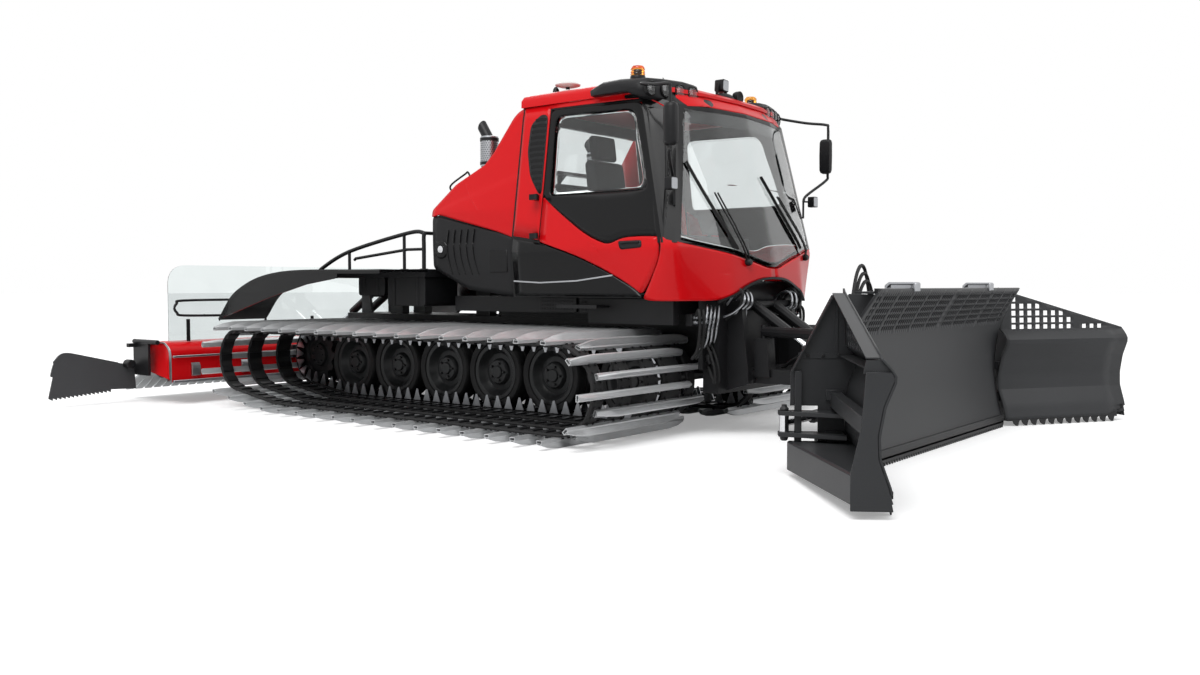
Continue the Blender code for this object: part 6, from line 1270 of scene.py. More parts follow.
def make_wings():
    """Wings: punched curved sheet, cheek with its gable, low box, end plate, post and scalloped edge."""
    hole_rows = [0.885, 0.948, 1.011, 1.074, 1.137]
    counts = [12, 8, 7, 4, 1]
    firsts = HINGE_Y + 0.20
    pitch = 0.088
    hole_places = [firsts + pitch * k for k in range(12)]
    columns = np.concatenate([[HINGE_Y, HINGE_Y + 0.08],
        spans(hole_places, 0.026, HINGE_Y + 0.15, WING_END, 0.16)])
    rows = spans(hole_rows, 0.0215, 0.056, BLADE_TOP, 0.03)

    def top_at(y):
        return BLADE_TOP - (BLADE_TOP - WING_TIP_Z) * np.clip((y - HINGE_Y) / (WING_END - HINGE_Y), 0, 1)

    def low_at(y):
        return BLADE_LOW + np.clip(y - (WING_END - 0.13), 0, 0.13)

    def place(y, z):
        z = np.clip(z, low_at(y), top_at(y))
        x = board_x(z, WING_PROFILE, 0) - 0.006
        start = HINGE_Y + 0.010 + (x - HINGE_X) * MITRE
        y = np.where(y < HINGE_Y + 0.10, start + (y - HINGE_Y) * 0.5, y)
        return np.stack([x, y, z], -1)

    def keep(y, z):
        out = (z > top_at(y)) | (z < low_at(y))
        for row, count in zip(hole_rows, counts):
            for k in range(count):
                if row == hole_rows[0] and k == 8:
                    continue
                out |= (np.abs(z - row) < 0.0213) & (np.abs(y - firsts - pitch * k) < 0.0258)
        return ~out

    verts, (faces,) = punched(columns, rows, place, lambda y, z: np.ones(len(y), bool))
    y, z = np.meshgrid(columns, rows, indexing="ij")
    middle = np.stack([y.ravel(), z.ravel()], -1)[faces].mean(1)
    corner_z = z.ravel()[faces]
    corner_y = y.ravel()[faces]
    over = (corner_z.min(1) >= top_at(corner_y).max(1) - 1e-6) | (corner_z.max(1) <= low_at(corner_y).min(1)
        + 1e-6)
    solid = keep(middle[:, 0], middle[:, 1]) | ((middle[:, 1] > top_at(middle[:, 0])) & ~over)
    solid |= (middle[:, 1] < low_at(middle[:, 0])) & ~over
    sheet = moved((verts, [faces[solid & ~over][:, ::-1]]), FOLDED)

    def core(z):
        return board_x(z, WING_PROFILE, 0) - SHEET_THICK * 0.7

    def plate(shares, y0, y1):
        rear = [(HINGE_X + 0.30 * a, BLADE_LOW + BLADE_HEIGHT * b) for a, b in shares]
        z = np.linspace(rear[-1][1], rear[0][1], 40)
        front = np.stack([core(z), z], -1)
        return prism(np.concatenate([rear, front]), y0, y1, "XZ")

    cheek = ((-0.27, 0.17), (-0.27, 0.37), (-0.87, 0.37), (-0.87, 0.55), (0.0, 0.965))
    end = ((-0.18, 0.03), (-0.18, 0.20), (0.0, 0.40), (0.07, 0.64))
    start = HINGE_Y
    frame_parts = [plate(cheek, start + 0.085, start + 0.097), plate(end, WING_END - 0.014, WING_END - 0.002)]
    rows_box = []
    for y, reach, lift in ((start + 0.10, 0.28, 0.0), (WING_END - 0.004, 0.055, 0.045)):
        rows_box.append([(HINGE_X - reach, y, 0.04 + lift), (HINGE_X - reach, y, 0.225 + lift * 0.4),
            (HINGE_X - reach + 0.012, y, 0.235 + lift * 0.4), (core(0.24), y, 0.235 + lift * 0.4),
            (core(0.16), y, 0.16), (core(0.05), y, 0.045 + lift)])
    frame_parts.append(loft(rows_box))
    frame_parts.append(block((HINGE_X, start + 0.09, 0.46), (HINGE_X + 0.07, WING_END - 0.01, 0.56)))
    for share in ((0.17, 0.24), (0.40, 0.46)):
        z0, z1 = BLADE_LOW + BLADE_HEIGHT * share[0], BLADE_LOW + BLADE_HEIGHT * share[1] - 0.001
        frame_parts.append(lathe([(0.0, z0), (0.040, z0), (0.040, z1), (0.0, z1)], "Z", (HINGE_X, HINGE_Y, 0),
            24))
        frame_parts.append(prism([(2.05, start + 0.026), (2.05, start + 0.12), (2.165, start + 0.12),
            (2.165, start + 0.062), (2.104, start + 0.026)], z0 + 0.001, z1 - 0.001, "XY"))
    for z in (0.265, 0.4055):
        frame_parts.append(prism([(1.74, start + 0.06), (1.74, start + 0.14), (2.165, start + 0.292),
            (2.165, start + 0.078)], z, z + 0.03, "XY"))
    pin = (1.78, start + 0.10, 0)
    frame_parts.append(lathe([(0, 0.235), (0.020, 0.235), (0.028, 0.25), (0.028, 0.262), (0.020, 0.264),
        (0.0, 0.264)], "Z", pin, 20))
    frame_parts.append(lathe([(0, 0.436), (0.030, 0.436), (0.030, 0.45), (0.018, 0.462), (0.018, 0.475),
        (0, 0.478)], "Z", pin, 20))
    post = [(HINGE_X - 0.235, start + 0.100), (HINGE_X - 0.235, start + 0.145),
            (HINGE_X - 0.190, start + 0.145),
            (HINGE_X - 0.190, start + 0.100)]
    frame_parts.append(prism(post, 0.235, 0.70, "XY"))
    gable = []
    for (x0, z0), (x1, z1) in (((1.822, 0.70), (2.085, 1.198)), ((2.085, 1.198), (2.19, 1.198))):
        run = np.array([x1 - x0, z1 - z0])
        run /= np.linalg.norm(run)
        normal = np.array([-run[1], run[0]]) * 0.008
        flat = [(x0, z0), (x1, z1), (x1 - normal[0], z1 - normal[1]), (x0 - normal[0], z0 - normal[1])]
        gable.append(prism(flat, start + 0.085, start + 0.150, "XZ"))
    ridge = []
    for y in (start + 0.10, WING_END - 0.03):
        z = float(top_at(np.array(y)))
        x = core(z - 0.01)
        ridge.append([(x - 0.075, y, z - 0.012), (x - 0.075, y, z - 0.004), (x + 0.004, y, z - 0.004),
            (x + 0.004, y, z - 0.012)])
    gable.append(loft(ridge))
    x = core(0.86)
    gable.append(prism([(x - 0.09, 0.79), (x - 0.075, 0.862), (x + 0.002, 0.862), (x + 0.075, 0.79)],
        WING_END - 0.032, WING_END - 0.024, "XZ"))
    belt_z = 0.80
    band = block((1.87, start + 0.097, belt_z - 0.018), (2.185, start + 0.103, belt_z + 0.018))
    brace = prism([(2.10, 0.81), (2.125, 0.81), (2.125, 1.18), (2.115, 1.18)], start + 0.097, start + 0.105,
        "XZ")
    knobs = bolts([(x, start + 0.103, belt_z) for x in (1.93, 2.03, 2.13)], "+Y", 0.012, 0.008)
    ledge = block((core(0.80) - 0.10, start + 0.10, 0.797), (core(0.80), WING_END - 0.02, 0.805))
    teeth = []
    x_low = board_x(0.05, WING_PROFILE, 0)
    for y in np.arange(start + 0.14, WING_END - 0.15, 0.098):
        flat = [(y, 0.19), (y, 0.055), (y + 0.012, 0.022), (y + 0.038, 0.004), (y + 0.058, 0.002),
                (y + 0.062, 0.02),
                (y + 0.074, 0.046), (y + 0.092, 0.055), (y + 0.0985, 0.055), (y + 0.0985, 0.19)]
        verts, faces = prism(flat, -0.004, 0.004, "YZ")
        verts[:, 0] += board_x(np.clip(verts[:, 2], 0.02, 1), WING_PROFILE, 0)
        teeth.append((verts, faces))
    corner = []
    for k in range(3):
        corner.append(block((x_low - 0.018, WING_END - 0.12 + k * 0.038, 0.045 + k * 0.036), (x_low - 0.008,
            WING_END - 0.095 + k * 0.038, 0.085 + k * 0.036)))
    edge = merged(teeth + corner)
    for name, side in SIDES:
        body = "wing_" + name
        put("wing_sheet_" + name, on_side(sheet, side), BLADE_GREY, body, ["wing_" + name],
            wall=SHEET_THICK, sharp=12)
        put("wing_frame_" + name, on_side(moved(merged(frame_parts), FOLDED), side), BLADE_GREY, body,
            bevel=0.0025, sharp=30)
        put("wing_gable_" + name, on_side(moved(merged(gable + [band, brace, ledge]), FOLDED), side),
            BLADE_GREY, body,
            bevel=0.001)
        put("wing_teeth_" + name, on_side(moved(merged([edge, knobs]), FOLDED), side), BLADE_EDGE, body,
            sharp=30)


# front end: cylinders and hoses


def hose(points, radius=0.011, sides=8, per_span=7):
    return tube(points, radius, sides, per_span)


def make_hoses():
    """Hydraulic hoses held at both ends: bundles over the push frame, loops behind the blade, fittings."""
    black, braided, ends, blocks = [], [], [], []
    for y in (-0.86, -0.80, -0.30, -0.24, 0.24, 0.30, 0.80, 0.86):
        black.append(hose([(0.53, y, 0.96), (0.575, y * 1.02, 1.06), (0.60, y * 1.04, 1.02),
            (0.60, y * 1.03, 0.90), (0.56, y, 0.74), (0.505, y, 0.66)], 0.013))
    for k, y in enumerate((-0.74, -0.68, -0.62, -0.56, -0.18, -0.12, 0.56, 0.68)):
        braided.append(hose([(0.53, y, 1.00), (0.58, y - 0.02, 1.10 - 0.01 * (k % 3)),
            (0.605, y - 0.05, 1.04), (0.60, y - 0.07, 0.92 - 0.02 * (k % 2)), (0.56, y - 0.04, 0.80),
            (0.505, y, 0.74)], 0.010))
    for k, y in enumerate((-0.46, -0.40, -0.34, 0.36, 0.44)):
        braided.append(hose([(0.53, y, 1.02), (0.62, y - 0.01, 1.13 + 0.012 * k), (0.70, y - 0.02, 1.205),
            (0.765, y - 0.03, 1.19), (0.78, y - 0.04, 1.12 - 0.01 * k), (0.70, y - 0.05, 1.045),
            (0.60, y - 0.06, 1.00), (0.53, y - 0.06, 0.985)], 0.011))
    for y in (-0.52, -0.43, 0.40, 0.50):
        black.append(hose([(0.53, y, 1.00), (0.63, y, 1.16), (0.72, y + 0.01, 1.235), (0.77, y + 0.02, 1.18),
            (0.72, y + 0.03, 1.07), (0.58, y + 0.03, 0.97), (0.53, y + 0.03, 0.96)], 0.014))
    for y in (-0.62, -0.56, 0.56, 0.62):
        black.append(hose([(0.50, y, 0.62), (0.56, y * 1.03, 0.50), (0.60, y * 1.06, 0.46),
            (0.61, y * 1.10, 0.58), (0.56, y * 1.10, 0.72), (0.50, y * 1.08, 0.80)], 0.011))
    for y in (-0.83, -0.65, -0.27, -0.15, 0.27, 0.62, 0.83):
        blocks.append(block((0.468, y - 0.07, 0.93), (0.53, y + 0.07, 1.03)))
        for dy in (-0.035, 0.035):
            for z in (0.96, 1.0):
                ends.append(lathe([(0, 0.53), (0.016, 0.53), (0.016, 0.548), (0.012, 0.55), (0.012, 0.57),
                    (0, 0.57)], "X", (0, y + dy, z), 12))
    for y in (-0.62, 0.62):
        blocks.append(block((0.468, y - 0.09, 0.56), (0.512, y + 0.09, 0.84)))
        blocks.append(lathe([(0, 0.512), (0.055, 0.512), (0.060, 0.52), (0.060, 0.55), (0.050, 0.56),
            (0, 0.562)], "X", (0, y, 0.66), 24))
    put("front_hoses", merged(black), RUBBER, "chassis")
    put("front_braided_hoses", merged(braided), STEEL, "chassis")
    put("front_valves", merged(blocks), BLACK_STEEL, "chassis", bevel=0.006, bevel_segments=2)
    put("front_fittings", merged(ends), STEEL, "chassis")

    loops, steel = [], []
    for y, lift in ((-0.10, 0.0), (-0.06, 0.02), (0.06, 0.01), (0.10, -0.01)):
        loops.append(hose([(0.92, y * 1.2, 0.56), (1.10, y * 1.4, 0.66 + lift), (1.35, y * 1.3, 0.63 + lift),
            (1.56, y, 0.60)], 0.011))
    for y in (-0.20, 0.20):
        steel.append(rod((0.95, y, 0.555), (1.56, y * 0.62, 0.555), 0.007, 8))
    put("frame_hoses", merged(loops), RUBBER, "push_frame")
    put("frame_pipes", merged(steel), STEEL, "push_frame")

    behind = []
    for y, up in ((-0.62, 0.17), (-0.58, 0.12), (-0.54, 0.07)):
        behind.append(hose([(2.02, y, 0.79), (1.98, y - 0.05, 1.0), (1.99, y - 0.22, 1.20 + up),
            (2.02, y - 0.42, 1.18 + up), (2.05, y - 0.60, 1.02), (2.04, y - 0.66, 0.79)], 0.013, 8, 9))
    put("blade_hoses", merged(behind), RUBBER, "blade")
    for name, side in SIDES:
        pair = []
        for k in range(2):
            pair.append(hose([(2.00, 0.92 + 0.03 * k, 0.70), (1.93, 1.02, 0.62),
                (1.90, 1.20, 0.60 + 0.02 * k), (1.93, 1.34, 0.64), (1.99, 1.42, 0.70)], 0.010))
        put("wing_feed_hoses_" + name, on_side(merged(pair), side), RUBBER, "blade")


def make_under_nose():
    """Bay under the nose: dark apron behind the arch, perforated side plates whose holes are dark discs
    painting the shade behind them, and the cab steps.
    """
    apron = np.array([[(0.60 - 0.02 * abs(s), s * 0.88, z) for s in np.linspace(-1, 1, 9)]
        for z in (1.045, 1.16, 1.30)])
    put("nose_apron", grid(apron), BLACK_PLASTIC, "chassis", wall=0.01)
    plates, hole_shades = [], []
    for x0, x1 in ((-1.05, -0.62), (-0.58, -0.15), (-0.11, 0.34)):
        plates.append(block((x0, -0.972, 1.026), (x1, -0.954, 1.152)))
        # The holes are flat dark discs on the plate: painted shade standing in for the dark seen through each
        # hole.
        spots = [(x, -0.972, z) for x in np.arange(x0 + 0.03, x1 - 0.02, 0.032)
            for z in (1.055, 1.088, 1.121)]
        hole_shades.append(bolts(spots, "-Y", 0.0105, 0.002, 6))
    put("side_plates", both_sides(merged(plates)), BLACK_STEEL, "chassis", bevel=0.003)
    put("side_plate_hole_shade", both_sides(merged(hole_shades)), RUBBER, "chassis")
    rungs = [block((-0.66, -1.19, 1.075), (-0.22, -0.975, 1.09)),
        block((-0.66, -1.195, 1.068), (-0.22, -1.183, 1.098))]
    ribs = [block((x, -1.18, 1.0895), (x + 0.01, -0.985, 1.096)) for x in np.arange(-0.64, -0.24, 0.04)]
    put("cab_steps", both_sides(merged(rungs + ribs)), BLACK_STEEL, "chassis")


# tiller

HOOD_SECTION = np.array([(0, 0), (0, 0.80), (0.18, 1.0), (0.70, 1.0), (1.0, 0.55), (1.0, 0.25)])
HOOD_FRONT, HOOD_LENGTH, HOOD_LOW, HOOD_HEIGHT = -5.16, 0.62, 0.24, 0.42


def make_hood():
    """Tiller hood: rounded red shell over both rotors, end caps with flanges, clamps and rails under it."""
    corners = np.stack([HOOD_FRONT - HOOD_LENGTH * HOOD_SECTION[:, 0],
        HOOD_LOW + HOOD_HEIGHT * HOOD_SECTION[:, 1]], -1)
    line = [corners[0]]
    for k in range(1, len(corners) - 1):
        a, b, c = corners[k - 1], corners[k], corners[k + 1]
        reach = min(0.06, np.linalg.norm(b - a) * 0.4, np.linalg.norm(c - b) * 0.4)
        p = b + (a - b) / np.linalg.norm(a - b) * reach
        q = b + (c - b) / np.linalg.norm(c - b) * reach
        t = np.linspace(0, 1, 7)[:, None]
        line += list((1 - t) ** 2 * p + 2 * t * (1 - t) * b + t ** 2 * q)
    line.append(corners[-1])
    line = np.array(line)
    centre = line.mean(0)
    inner = centre + (line - centre) * 0.955
    loop = np.concatenate([line, inner[::-1]])
    stations = np.array([-2.17, -2.165, -0.02, 0.02, 2.165, 2.17])
    scale = np.array([0.985, 1.0, 1.0, 1.0, 1.0, 0.985])
    rows = np.stack([np.stack([centre[0] + (loop[:, 0] - centre[0]) * s, np.full(len(loop), y),
        centre[1] + (loop[:, 1] - centre[1]) * s], -1) for y, s in zip(stations, scale)])
    verts, faces = grid(rows, wrap_v=True)
    count = len(line)
    ends = [np.stack([np.arange(count - 1), np.arange(1, count), 2 * count - 2 - np.arange(count - 1),
        2 * count - 1 - np.arange(count - 1)], -1) + shift_by for shift_by in (0, 5 * len(loop))]
    shell = verts, faces + [ends[0], ends[1][:, ::-1]]
    caps, flanges = [], []
    for y0, y1 in ((2.140, 2.150), (-2.150, -2.140), (-0.03, 0.03)):
        caps.append(prism(centre + (line - centre) * 0.96, y0, y1, "XZ"))
    put("tiller_hood_shell", merged([shell] + caps), RED, "tiller", ["tiller_hood"], sharp=30)
    for y in (-2.172, 2.162):
        ring = np.concatenate([line, (centre + (line - centre) * 0.86)[::-1]])
        flanges.append(prism(ring, y, y + 0.010, "XZ"))
    clamps = []
    for y in np.arange(-2.0, 2.01, 0.40):
        clamps.append(block((HOOD_FRONT - 0.44, y - 0.03, 0.648), (HOOD_FRONT - 0.20, y + 0.03, 0.6598)))
    for y in (-1.9, -1.3, -0.75, 0.75, 1.3, 1.9):
        flat = [(-5.152, 0.30), (-5.130, 0.30), (-5.125, 0.40), (-5.152, 0.44)]
        clamps.append(prism(flat, y - 0.05, y + 0.05, "XZ"))
    rails = [block((-5.158, -2.16, 0.235), (-5.120, 2.16, 0.262)),
        block((-5.150, -2.16, 0.500), (-5.128, 2.16, 0.522))]
    put("tiller_clamps", merged(clamps + rails + flanges), STEEL, "tiller", bevel=0.002)

    comb_x = HOOD_FRONT - HOOD_LENGTH
    places = np.arange(-2.14, 2.141, 0.107)
    fingers = []
    for y in places[:-1]:
        flat = [(y + 0.004, comb_x + 0.02, 0.356), (y + 0.103, comb_x + 0.02, 0.356),
                (y + 0.103, comb_x - 0.19, 0.255),
                (y + 0.095, comb_x - 0.41, 0.120), (y + 0.012, comb_x - 0.41, 0.120),
                (y + 0.004, comb_x - 0.19, 0.255)]
        upper = np.array([(x, yy, z) for yy, x, z in flat])
        lower = upper - (0, 0, 0.022)
        index = np.arange(6)
        walls = np.stack([index, np.roll(index, -1), np.roll(index, -1) + 6, index + 6], -1)
        fingers.append((np.concatenate([upper, lower]), [np.array([[0, 1, 4, 5]]), np.array([[1, 2, 3, 4]]),
            np.array([[11, 10, 7, 6]]), np.array([[10, 9, 8, 7]]), walls]))
        for m in range(5):
            for lean in (-1, 1):
                x = comb_x - 0.03 - m * 0.032
                bar = np.array([(x, y + 0.054 + lean * 0.010, 0), (x - 0.010, y + 0.054 + lean * 0.010, 0),
                    (x - 0.030, y + 0.054 + lean * 0.042, 0), (x - 0.020, y + 0.054 + lean * 0.042, 0)])
                bar[:, 2] = np.interp(bar[:, 0], [comb_x - 0.19, comb_x + 0.02], [0.258, 0.359])
                fingers.append((np.concatenate([bar, bar - (0, 0, 0.008)]), [np.array([[0, 1, 2, 3]]),
                    np.array([[0, 4, 5, 1], [1, 5, 6, 2], [2, 6, 7, 3], [3, 7, 4, 0]]),
                    np.array([[7, 6, 5, 4]])]))
    strip = block((comb_x - 0.012, -2.15, 0.340), (comb_x + 0.004, 2.15, 0.372))
    put("tiller_comb", merged(fingers), CLEAR_GREY, "tiller")
    put("tiller_comb_strip", strip, BLACK_PLASTIC, "tiller", bevel=0.003)


def make_flap():
    """Clear snow flap with rounded top corners, the hairpin tube that holds it, its posts and bolts."""
    x = HOOD_FRONT - HOOD_LENGTH * 0.2
    outline = rounded([(-2.12, 0.662), (2.12, 0.662), (2.12, 1.478), (-2.12, 1.478)],
        [0.01, 0.01, 0.22, 0.22], 12)
    sheet = prism(outline, x - 0.009, x - 0.002, "YZ")
    put("snow_flap_sheet", sheet, CLEAR, "tiller", ["snow_flap"], sharp=30)
    tubes, fixings = [], []
    for side in (-1, 1):
        loop = [(x + 0.016, side * 0.95, 0.67), (x + 0.016, side * 0.95, 0.98),
                (x + 0.016, side * 1.00, 1.06),
                (x + 0.016, side * 1.12, 1.10), (x + 0.016, side * 1.95, 1.10),
                (x + 0.016, side * 2.03, 1.07),
                (x + 0.016, side * 2.06, 1.02), (x + 0.016, side * 2.03, 0.97),
                (x + 0.016, side * 1.95, 0.94),
                (x + 0.016, side * 1.30, 0.93)]
        tubes.append(tube(loop, 0.014, 10, 5))
        for y in (1.15, 1.50, 1.85):
            fixings.append((x - 0.001, side * y, 1.10))
        for y in (1.40, 1.70, 1.95):
            fixings.append((x - 0.001, side * y, 0.94))
        for y in (0.30, 1.90):
            tubes.append(block((x + 0.003, side * y - 0.02, 0.662), (x + 0.012, side * y + 0.02, 0.90)))
    back = bolts([(px - 0.008, y, z) for px, y, z in fixings], "-X", 0.013, 0.007)
    put("snow_flap_tubes", merged(tubes), BLACK_STEEL, "tiller")
    put("snow_flap_bolts", back, STEEL, "tiller")


def make_rotors():
    """Cutter shafts: drum, welded tine feet in two spirals, pointed tines and end flanges."""
    tines, drums = [], []
    start, end = 0.0303, 2.1497
    tine = [(-0.025, 0.072), (-0.024, 0.13), (-0.004, 0.169), (0.010, 0.1695), (0.014, 0.14), (0.025, 0.072)]
    for k in range(20):
        y = start + 0.06 + (end - start - 0.12) * k / 19
        for half in (0, 1):
            angle = math.pi * half + k * math.radians(36)
            flat = prism(tine, y - 0.010, y + 0.010, "XZ")
            tines.append(moved(flat, shift(-5.46, 0, 0.37) @ turn("Y", angle)))
    drum = lathe([(0.0, start), (0.075, start), (0.080, start + 0.006), (0.080, end - 0.006), (0.075, end),
        (0.0, end)], "Y", (-5.46, 0, 0.37), 32)
    for y in (0.07, 0.74, 1.45, 2.11):
        drums.append(lathe([(0.079, y - 0.012), (0.098, y - 0.012), (0.100, y - 0.006), (0.100, y + 0.006),
            (0.098, y + 0.012), (0.079, y + 0.012)], "Y", (-5.46, 0, 0.37), 32))
    for name, side in SIDES:
        put("rotor_drum_" + name, on_side(merged([drum] + drums), side), BLADE_GREY, "rotor_" + name,
            ["rotor_" + name], sharp=30)
        put("rotor_tines_" + name, on_side(merged(tines), side), STEEL, "rotor_" + name)


def make_finishers():
    """Side finishers: ribbed moulding with a sawtooth lower edge, pin, roller and folded rim."""
    wall, low, length, height = 2.24, 0.085, 0.92, 0.48
    shares = np.array([(0, .13), (1, 0), (.98, .5), (.94, .8), (.86, .98), (.78, 1), (.20, .72), (0, .68)])
    flat = np.stack([wall + length * shares[:, 0], low + height * shares[:, 1]], -1)
    bottom_left, bottom_right = flat[0], flat[1]
    teeth = [bottom_left]
    count = 15
    for k in range(count):
        t0 = 0.30 + 0.70 * k / count
        t1 = 0.30 + 0.70 * (k + 0.92) / count
        a = bottom_left + (bottom_right - bottom_left) * t0
        b = bottom_left + (bottom_right - bottom_left) * t1
        teeth += [a + (0, 0.030), a + (0.004, 0.0), b + (0, 0.022)]
    outline = np.concatenate([np.array(teeth), [flat[1] + (0, 0.03)],
        rounded(flat[2:], [0.03, 0.05, 0.05, 0.06, 0.1, 0.02], 5)])
    back, front = -5.779, -5.757
    sheet = prism(outline, back + 0.004, front, "YZ")
    ribs = []
    for y, z0, z1 in ((2.52, 0.20, 0.44), (2.76, 0.18, 0.50), (3.0, 0.16, 0.53)):
        ribs.append(block((back, y - 0.006, z0), (back + 0.006, y + 0.006, z1)))
    rim_line = rounded(flat[3:7], [0.02, 0.05, 0.05, 0.02], 5)
    rim = carried([(-0.011, -0.008), (0.011, -0.008), (0.011, 0.002), (-0.011, 0.002)],
        np.stack([np.full(len(rim_line), back + 0.012), rim_line[:, 0], rim_line[:, 1]], -1))
    pin = lathe([(0, -5.7795), (0.022, -5.7795), (0.025, -5.776), (0.025, -5.30), (0.022, -5.297),
        (0, -5.297)], "X", (0, wall, 0.66), 20)
    web = block((-5.779, wall - 0.0125, 0.30), (-5.47, wall + 0.0125, 0.66))
    strut = block((-5.755, wall, 0.60), (-5.70, wall + 0.10, 0.64))
    roller = lathe([(0, -5.752), (0.040, -5.752), (0.050, -5.745), (0.050, -5.66), (0.040, -5.652),
        (0, -5.652)], "X", (0, wall + 0.10, 0.42), 28)
    for name, side in SIDES:
        put("finisher_sheet_" + name, on_side(merged([sheet, rim] + ribs), side), CHARCOAL,
            "finisher_" + name,
            ["finisher_" + name], bevel=0.002, sharp=30)
        put("finisher_arm_" + name, on_side(merged([pin, web, strut, roller]), side), BLACK_STEEL,
            "finisher_" + name,
            sharp=35)


# engine bay, cowl and mufflers

BAY_REAR, BAY_FRONT, BAY_HALF, BAY_LOW, BAY_HEIGHT, COWL_RISE = -2.26, -1.1903, 1.13, 1.16, 0.78, 0.96
BAY_SECTION = np.array([(.02, .34), (.45, .08), (1, 0), (1, .665), (.82, .745), (.09, .985), (0, .93)])
COWL_SECTION = np.array([(0, .035), (.35, .36), (.86, .90), (1, .95)])


def taper(y, z):
    """Sides of the cowl lean in with height: y scaled by 1 - 0.13 times its share of the cowl's rise."""
    return y * (1 - 0.13 * np.clip((z - BAY_LOW - BAY_HEIGHT) / COWL_RISE, 0, 1))


def make_cowl():
    """Red cowl over the engine: side skins with a pressed crease, whose rear edge dips inward.

    The skins end in fins, with a lower louvred deck between them, a scoop and a grab loop.
    """
    length = BAY_FRONT - BAY_REAR
    seam = np.stack([BAY_REAR + length * BAY_SECTION[[3, 4, 5], 0],
        BAY_LOW + BAY_HEIGHT * BAY_SECTION[[3, 4, 5], 1]], -1)
    back = np.stack([BAY_REAR + length * COWL_SECTION[:, 0], BAY_LOW + BAY_HEIGHT
        + COWL_RISE * COWL_SECTION[:, 1]], -1)
    seam = np.concatenate([seam, [[BAY_REAR, BAY_LOW + BAY_HEIGHT * 0.96]]]) + (0, 0.001)
    outline = rounded(np.concatenate([seam, back]), [0.01, 0.05, 0.03, 0.01, 0.02, 0.12, 0.10, 0.01], 6)
    top = rounded(back, [0.01, 0.12, 0.10, 0.01], 8)[4:]
    edge_z, edge_x = top[np.argsort(top[:, 1])].T[::-1]

    def dip(z):
        return np.interp(z, (2.0, 2.2, 2.36, 2.46, 2.86), (0, 0.02, 0.19, 0.18, 0.03))

    def side_skin(x, z):
        depth = np.maximum(BAY_FRONT - np.interp(z, edge_z, edge_x), 0.05)
        x = x + dip(z) * np.clip((BAY_FRONT - x) / depth, 0, 1)
        bulge = 0.010 * np.sin(np.pi * np.clip((x - BAY_REAR) / length, 0, 1))
        crease = BAY_LOW + BAY_HEIGHT + 0.30 * (x - BAY_REAR) / length
        press = -0.007 / (1 + np.exp((crease - z) / 0.012))
        return np.stack([x, -(taper(np.full(x.shape, BAY_HALF - 0.008), z) + bulge + press), z], -1)

    skin = panel(outline, side_skin, rings=14, count=120, centre=(-1.62, 2.06))
    rows = []
    top = top + np.stack([dip(top[:, 1]), np.zeros(len(top))], -1)
    for share in (1, 0.985, 0.96, 0.90, 0.84, 0.80):
        drop = 0.035 * np.clip((share - 0.93) / 0.07, 0, 1) ** 2
        y = taper(np.full(len(top), BAY_HALF - 0.006), top[:, 1]) * share
        rows.append(np.stack([top[:, 0] + drop * 0.4, y, top[:, 1] - drop], -1))
    fin_top = grid(np.array(rows))
    edge = np.array(rows[-1])
    fin = np.stack([edge, edge * (1, 1, 0) + (0, 0, 1.92)])
    inner_wall = grid(fin)
    deck = np.array([[(x, y, z) for x, z in ((BAY_REAR + 0.01, 1.96), (BAY_REAR + 0.10, 2.02), (-1.60, 2.06),
        (-1.20, 2.06))] for y in np.linspace(-1.0, 1.0, 9)])
    tail = np.array([[(x, y, z) for x, z in ((BAY_REAR + 0.005, 1.92), (BAY_REAR + 0.01, 1.96))]
        for y in np.linspace(-1.0, 1.0, 9)])
    louvres = [prism([(x, 2.058), (x + 0.05, 2.058), (x + 0.012, 2.078)], -0.62, 0.62, "XZ")
        for x in np.arange(-2.05, -1.35, 0.075)]
    put("cowl_sides", both_sides(skin), RED, "chassis", ["cowl"], wall=0.02, sharp=40)
    put("cowl_fins", both_sides(merged([fin_top, inner_wall])), RED, "chassis", wall=0.012,
        sharp=35)
    put("cowl_deck", merged([grid(deck), grid(tail)]), BLACK_PLASTIC, "chassis", wall=0.012,
        sharp=35)
    put("cowl_louvres", merged(louvres), BLACK_STEEL, "chassis")

    loops, blacks, scoops = [], [], []
    outer = BAY_HALF + 0.012
    low_x, high_x = (float(np.interp(z, edge_z, edge_x) + dip(z)) for z in (2.14, 2.26))
    loop_y = 0.05 - float(taper(outer, 2.2))
    loops.append(tube([(low_x + 0.01, loop_y, 2.13), (low_x - 0.055, loop_y, 2.175),
        (low_x - 0.03, loop_y, 2.22), (high_x - 0.07, loop_y, 2.30), (high_x - 0.03, loop_y, 2.315),
        (high_x + 0.01, loop_y, 2.25)], 0.009, 8, 4))
    mouth = rounded([(-1.93, 2.20), (-1.90, 2.10), (-1.82, 2.01), (-1.70, 1.955), (-1.64, 1.95),
        (-1.72, 2.03), (-1.80, 2.12), (-1.86, 2.205)], 0.02, 5)
    scoops.append(panel(mouth, lambda x, z: side_skin(x, z) - (0, 0.008, 0), rings=5, count=48,
        centre=(-1.79, 2.06)))
    lip = np.array([(-1.64, 1.95), (-1.72, 2.03), (-1.80, 2.12), (-1.86, 2.205)])
    lip = smooth_line([tuple(p) for p in side_skin(lip[:, 0], lip[:, 1]) - (0, 0.010, 0)], 5)
    blacks.append(carried(ring_profile(0.012, 10), lip))
    crease = np.array([(-1.60, 2.36), (-1.47, 2.13), (-1.33, 1.93)])
    crease = smooth_line([tuple(p) for p in side_skin(crease[:, 0], crease[:, 1]) - (0, 0.004, 0)], 6)
    blacks.append(carried(ring_profile(0.010, 10), crease))
    put("cowl_lips", both_sides(merged(blacks)), RED, "chassis")
    put("cowl_grab_loops", both_sides(merged(loops)), BLACK_STEEL, "chassis")
    put("cowl_scoops", both_sides(merged(scoops)), BLACK_PLASTIC, "chassis", wall=0.006)


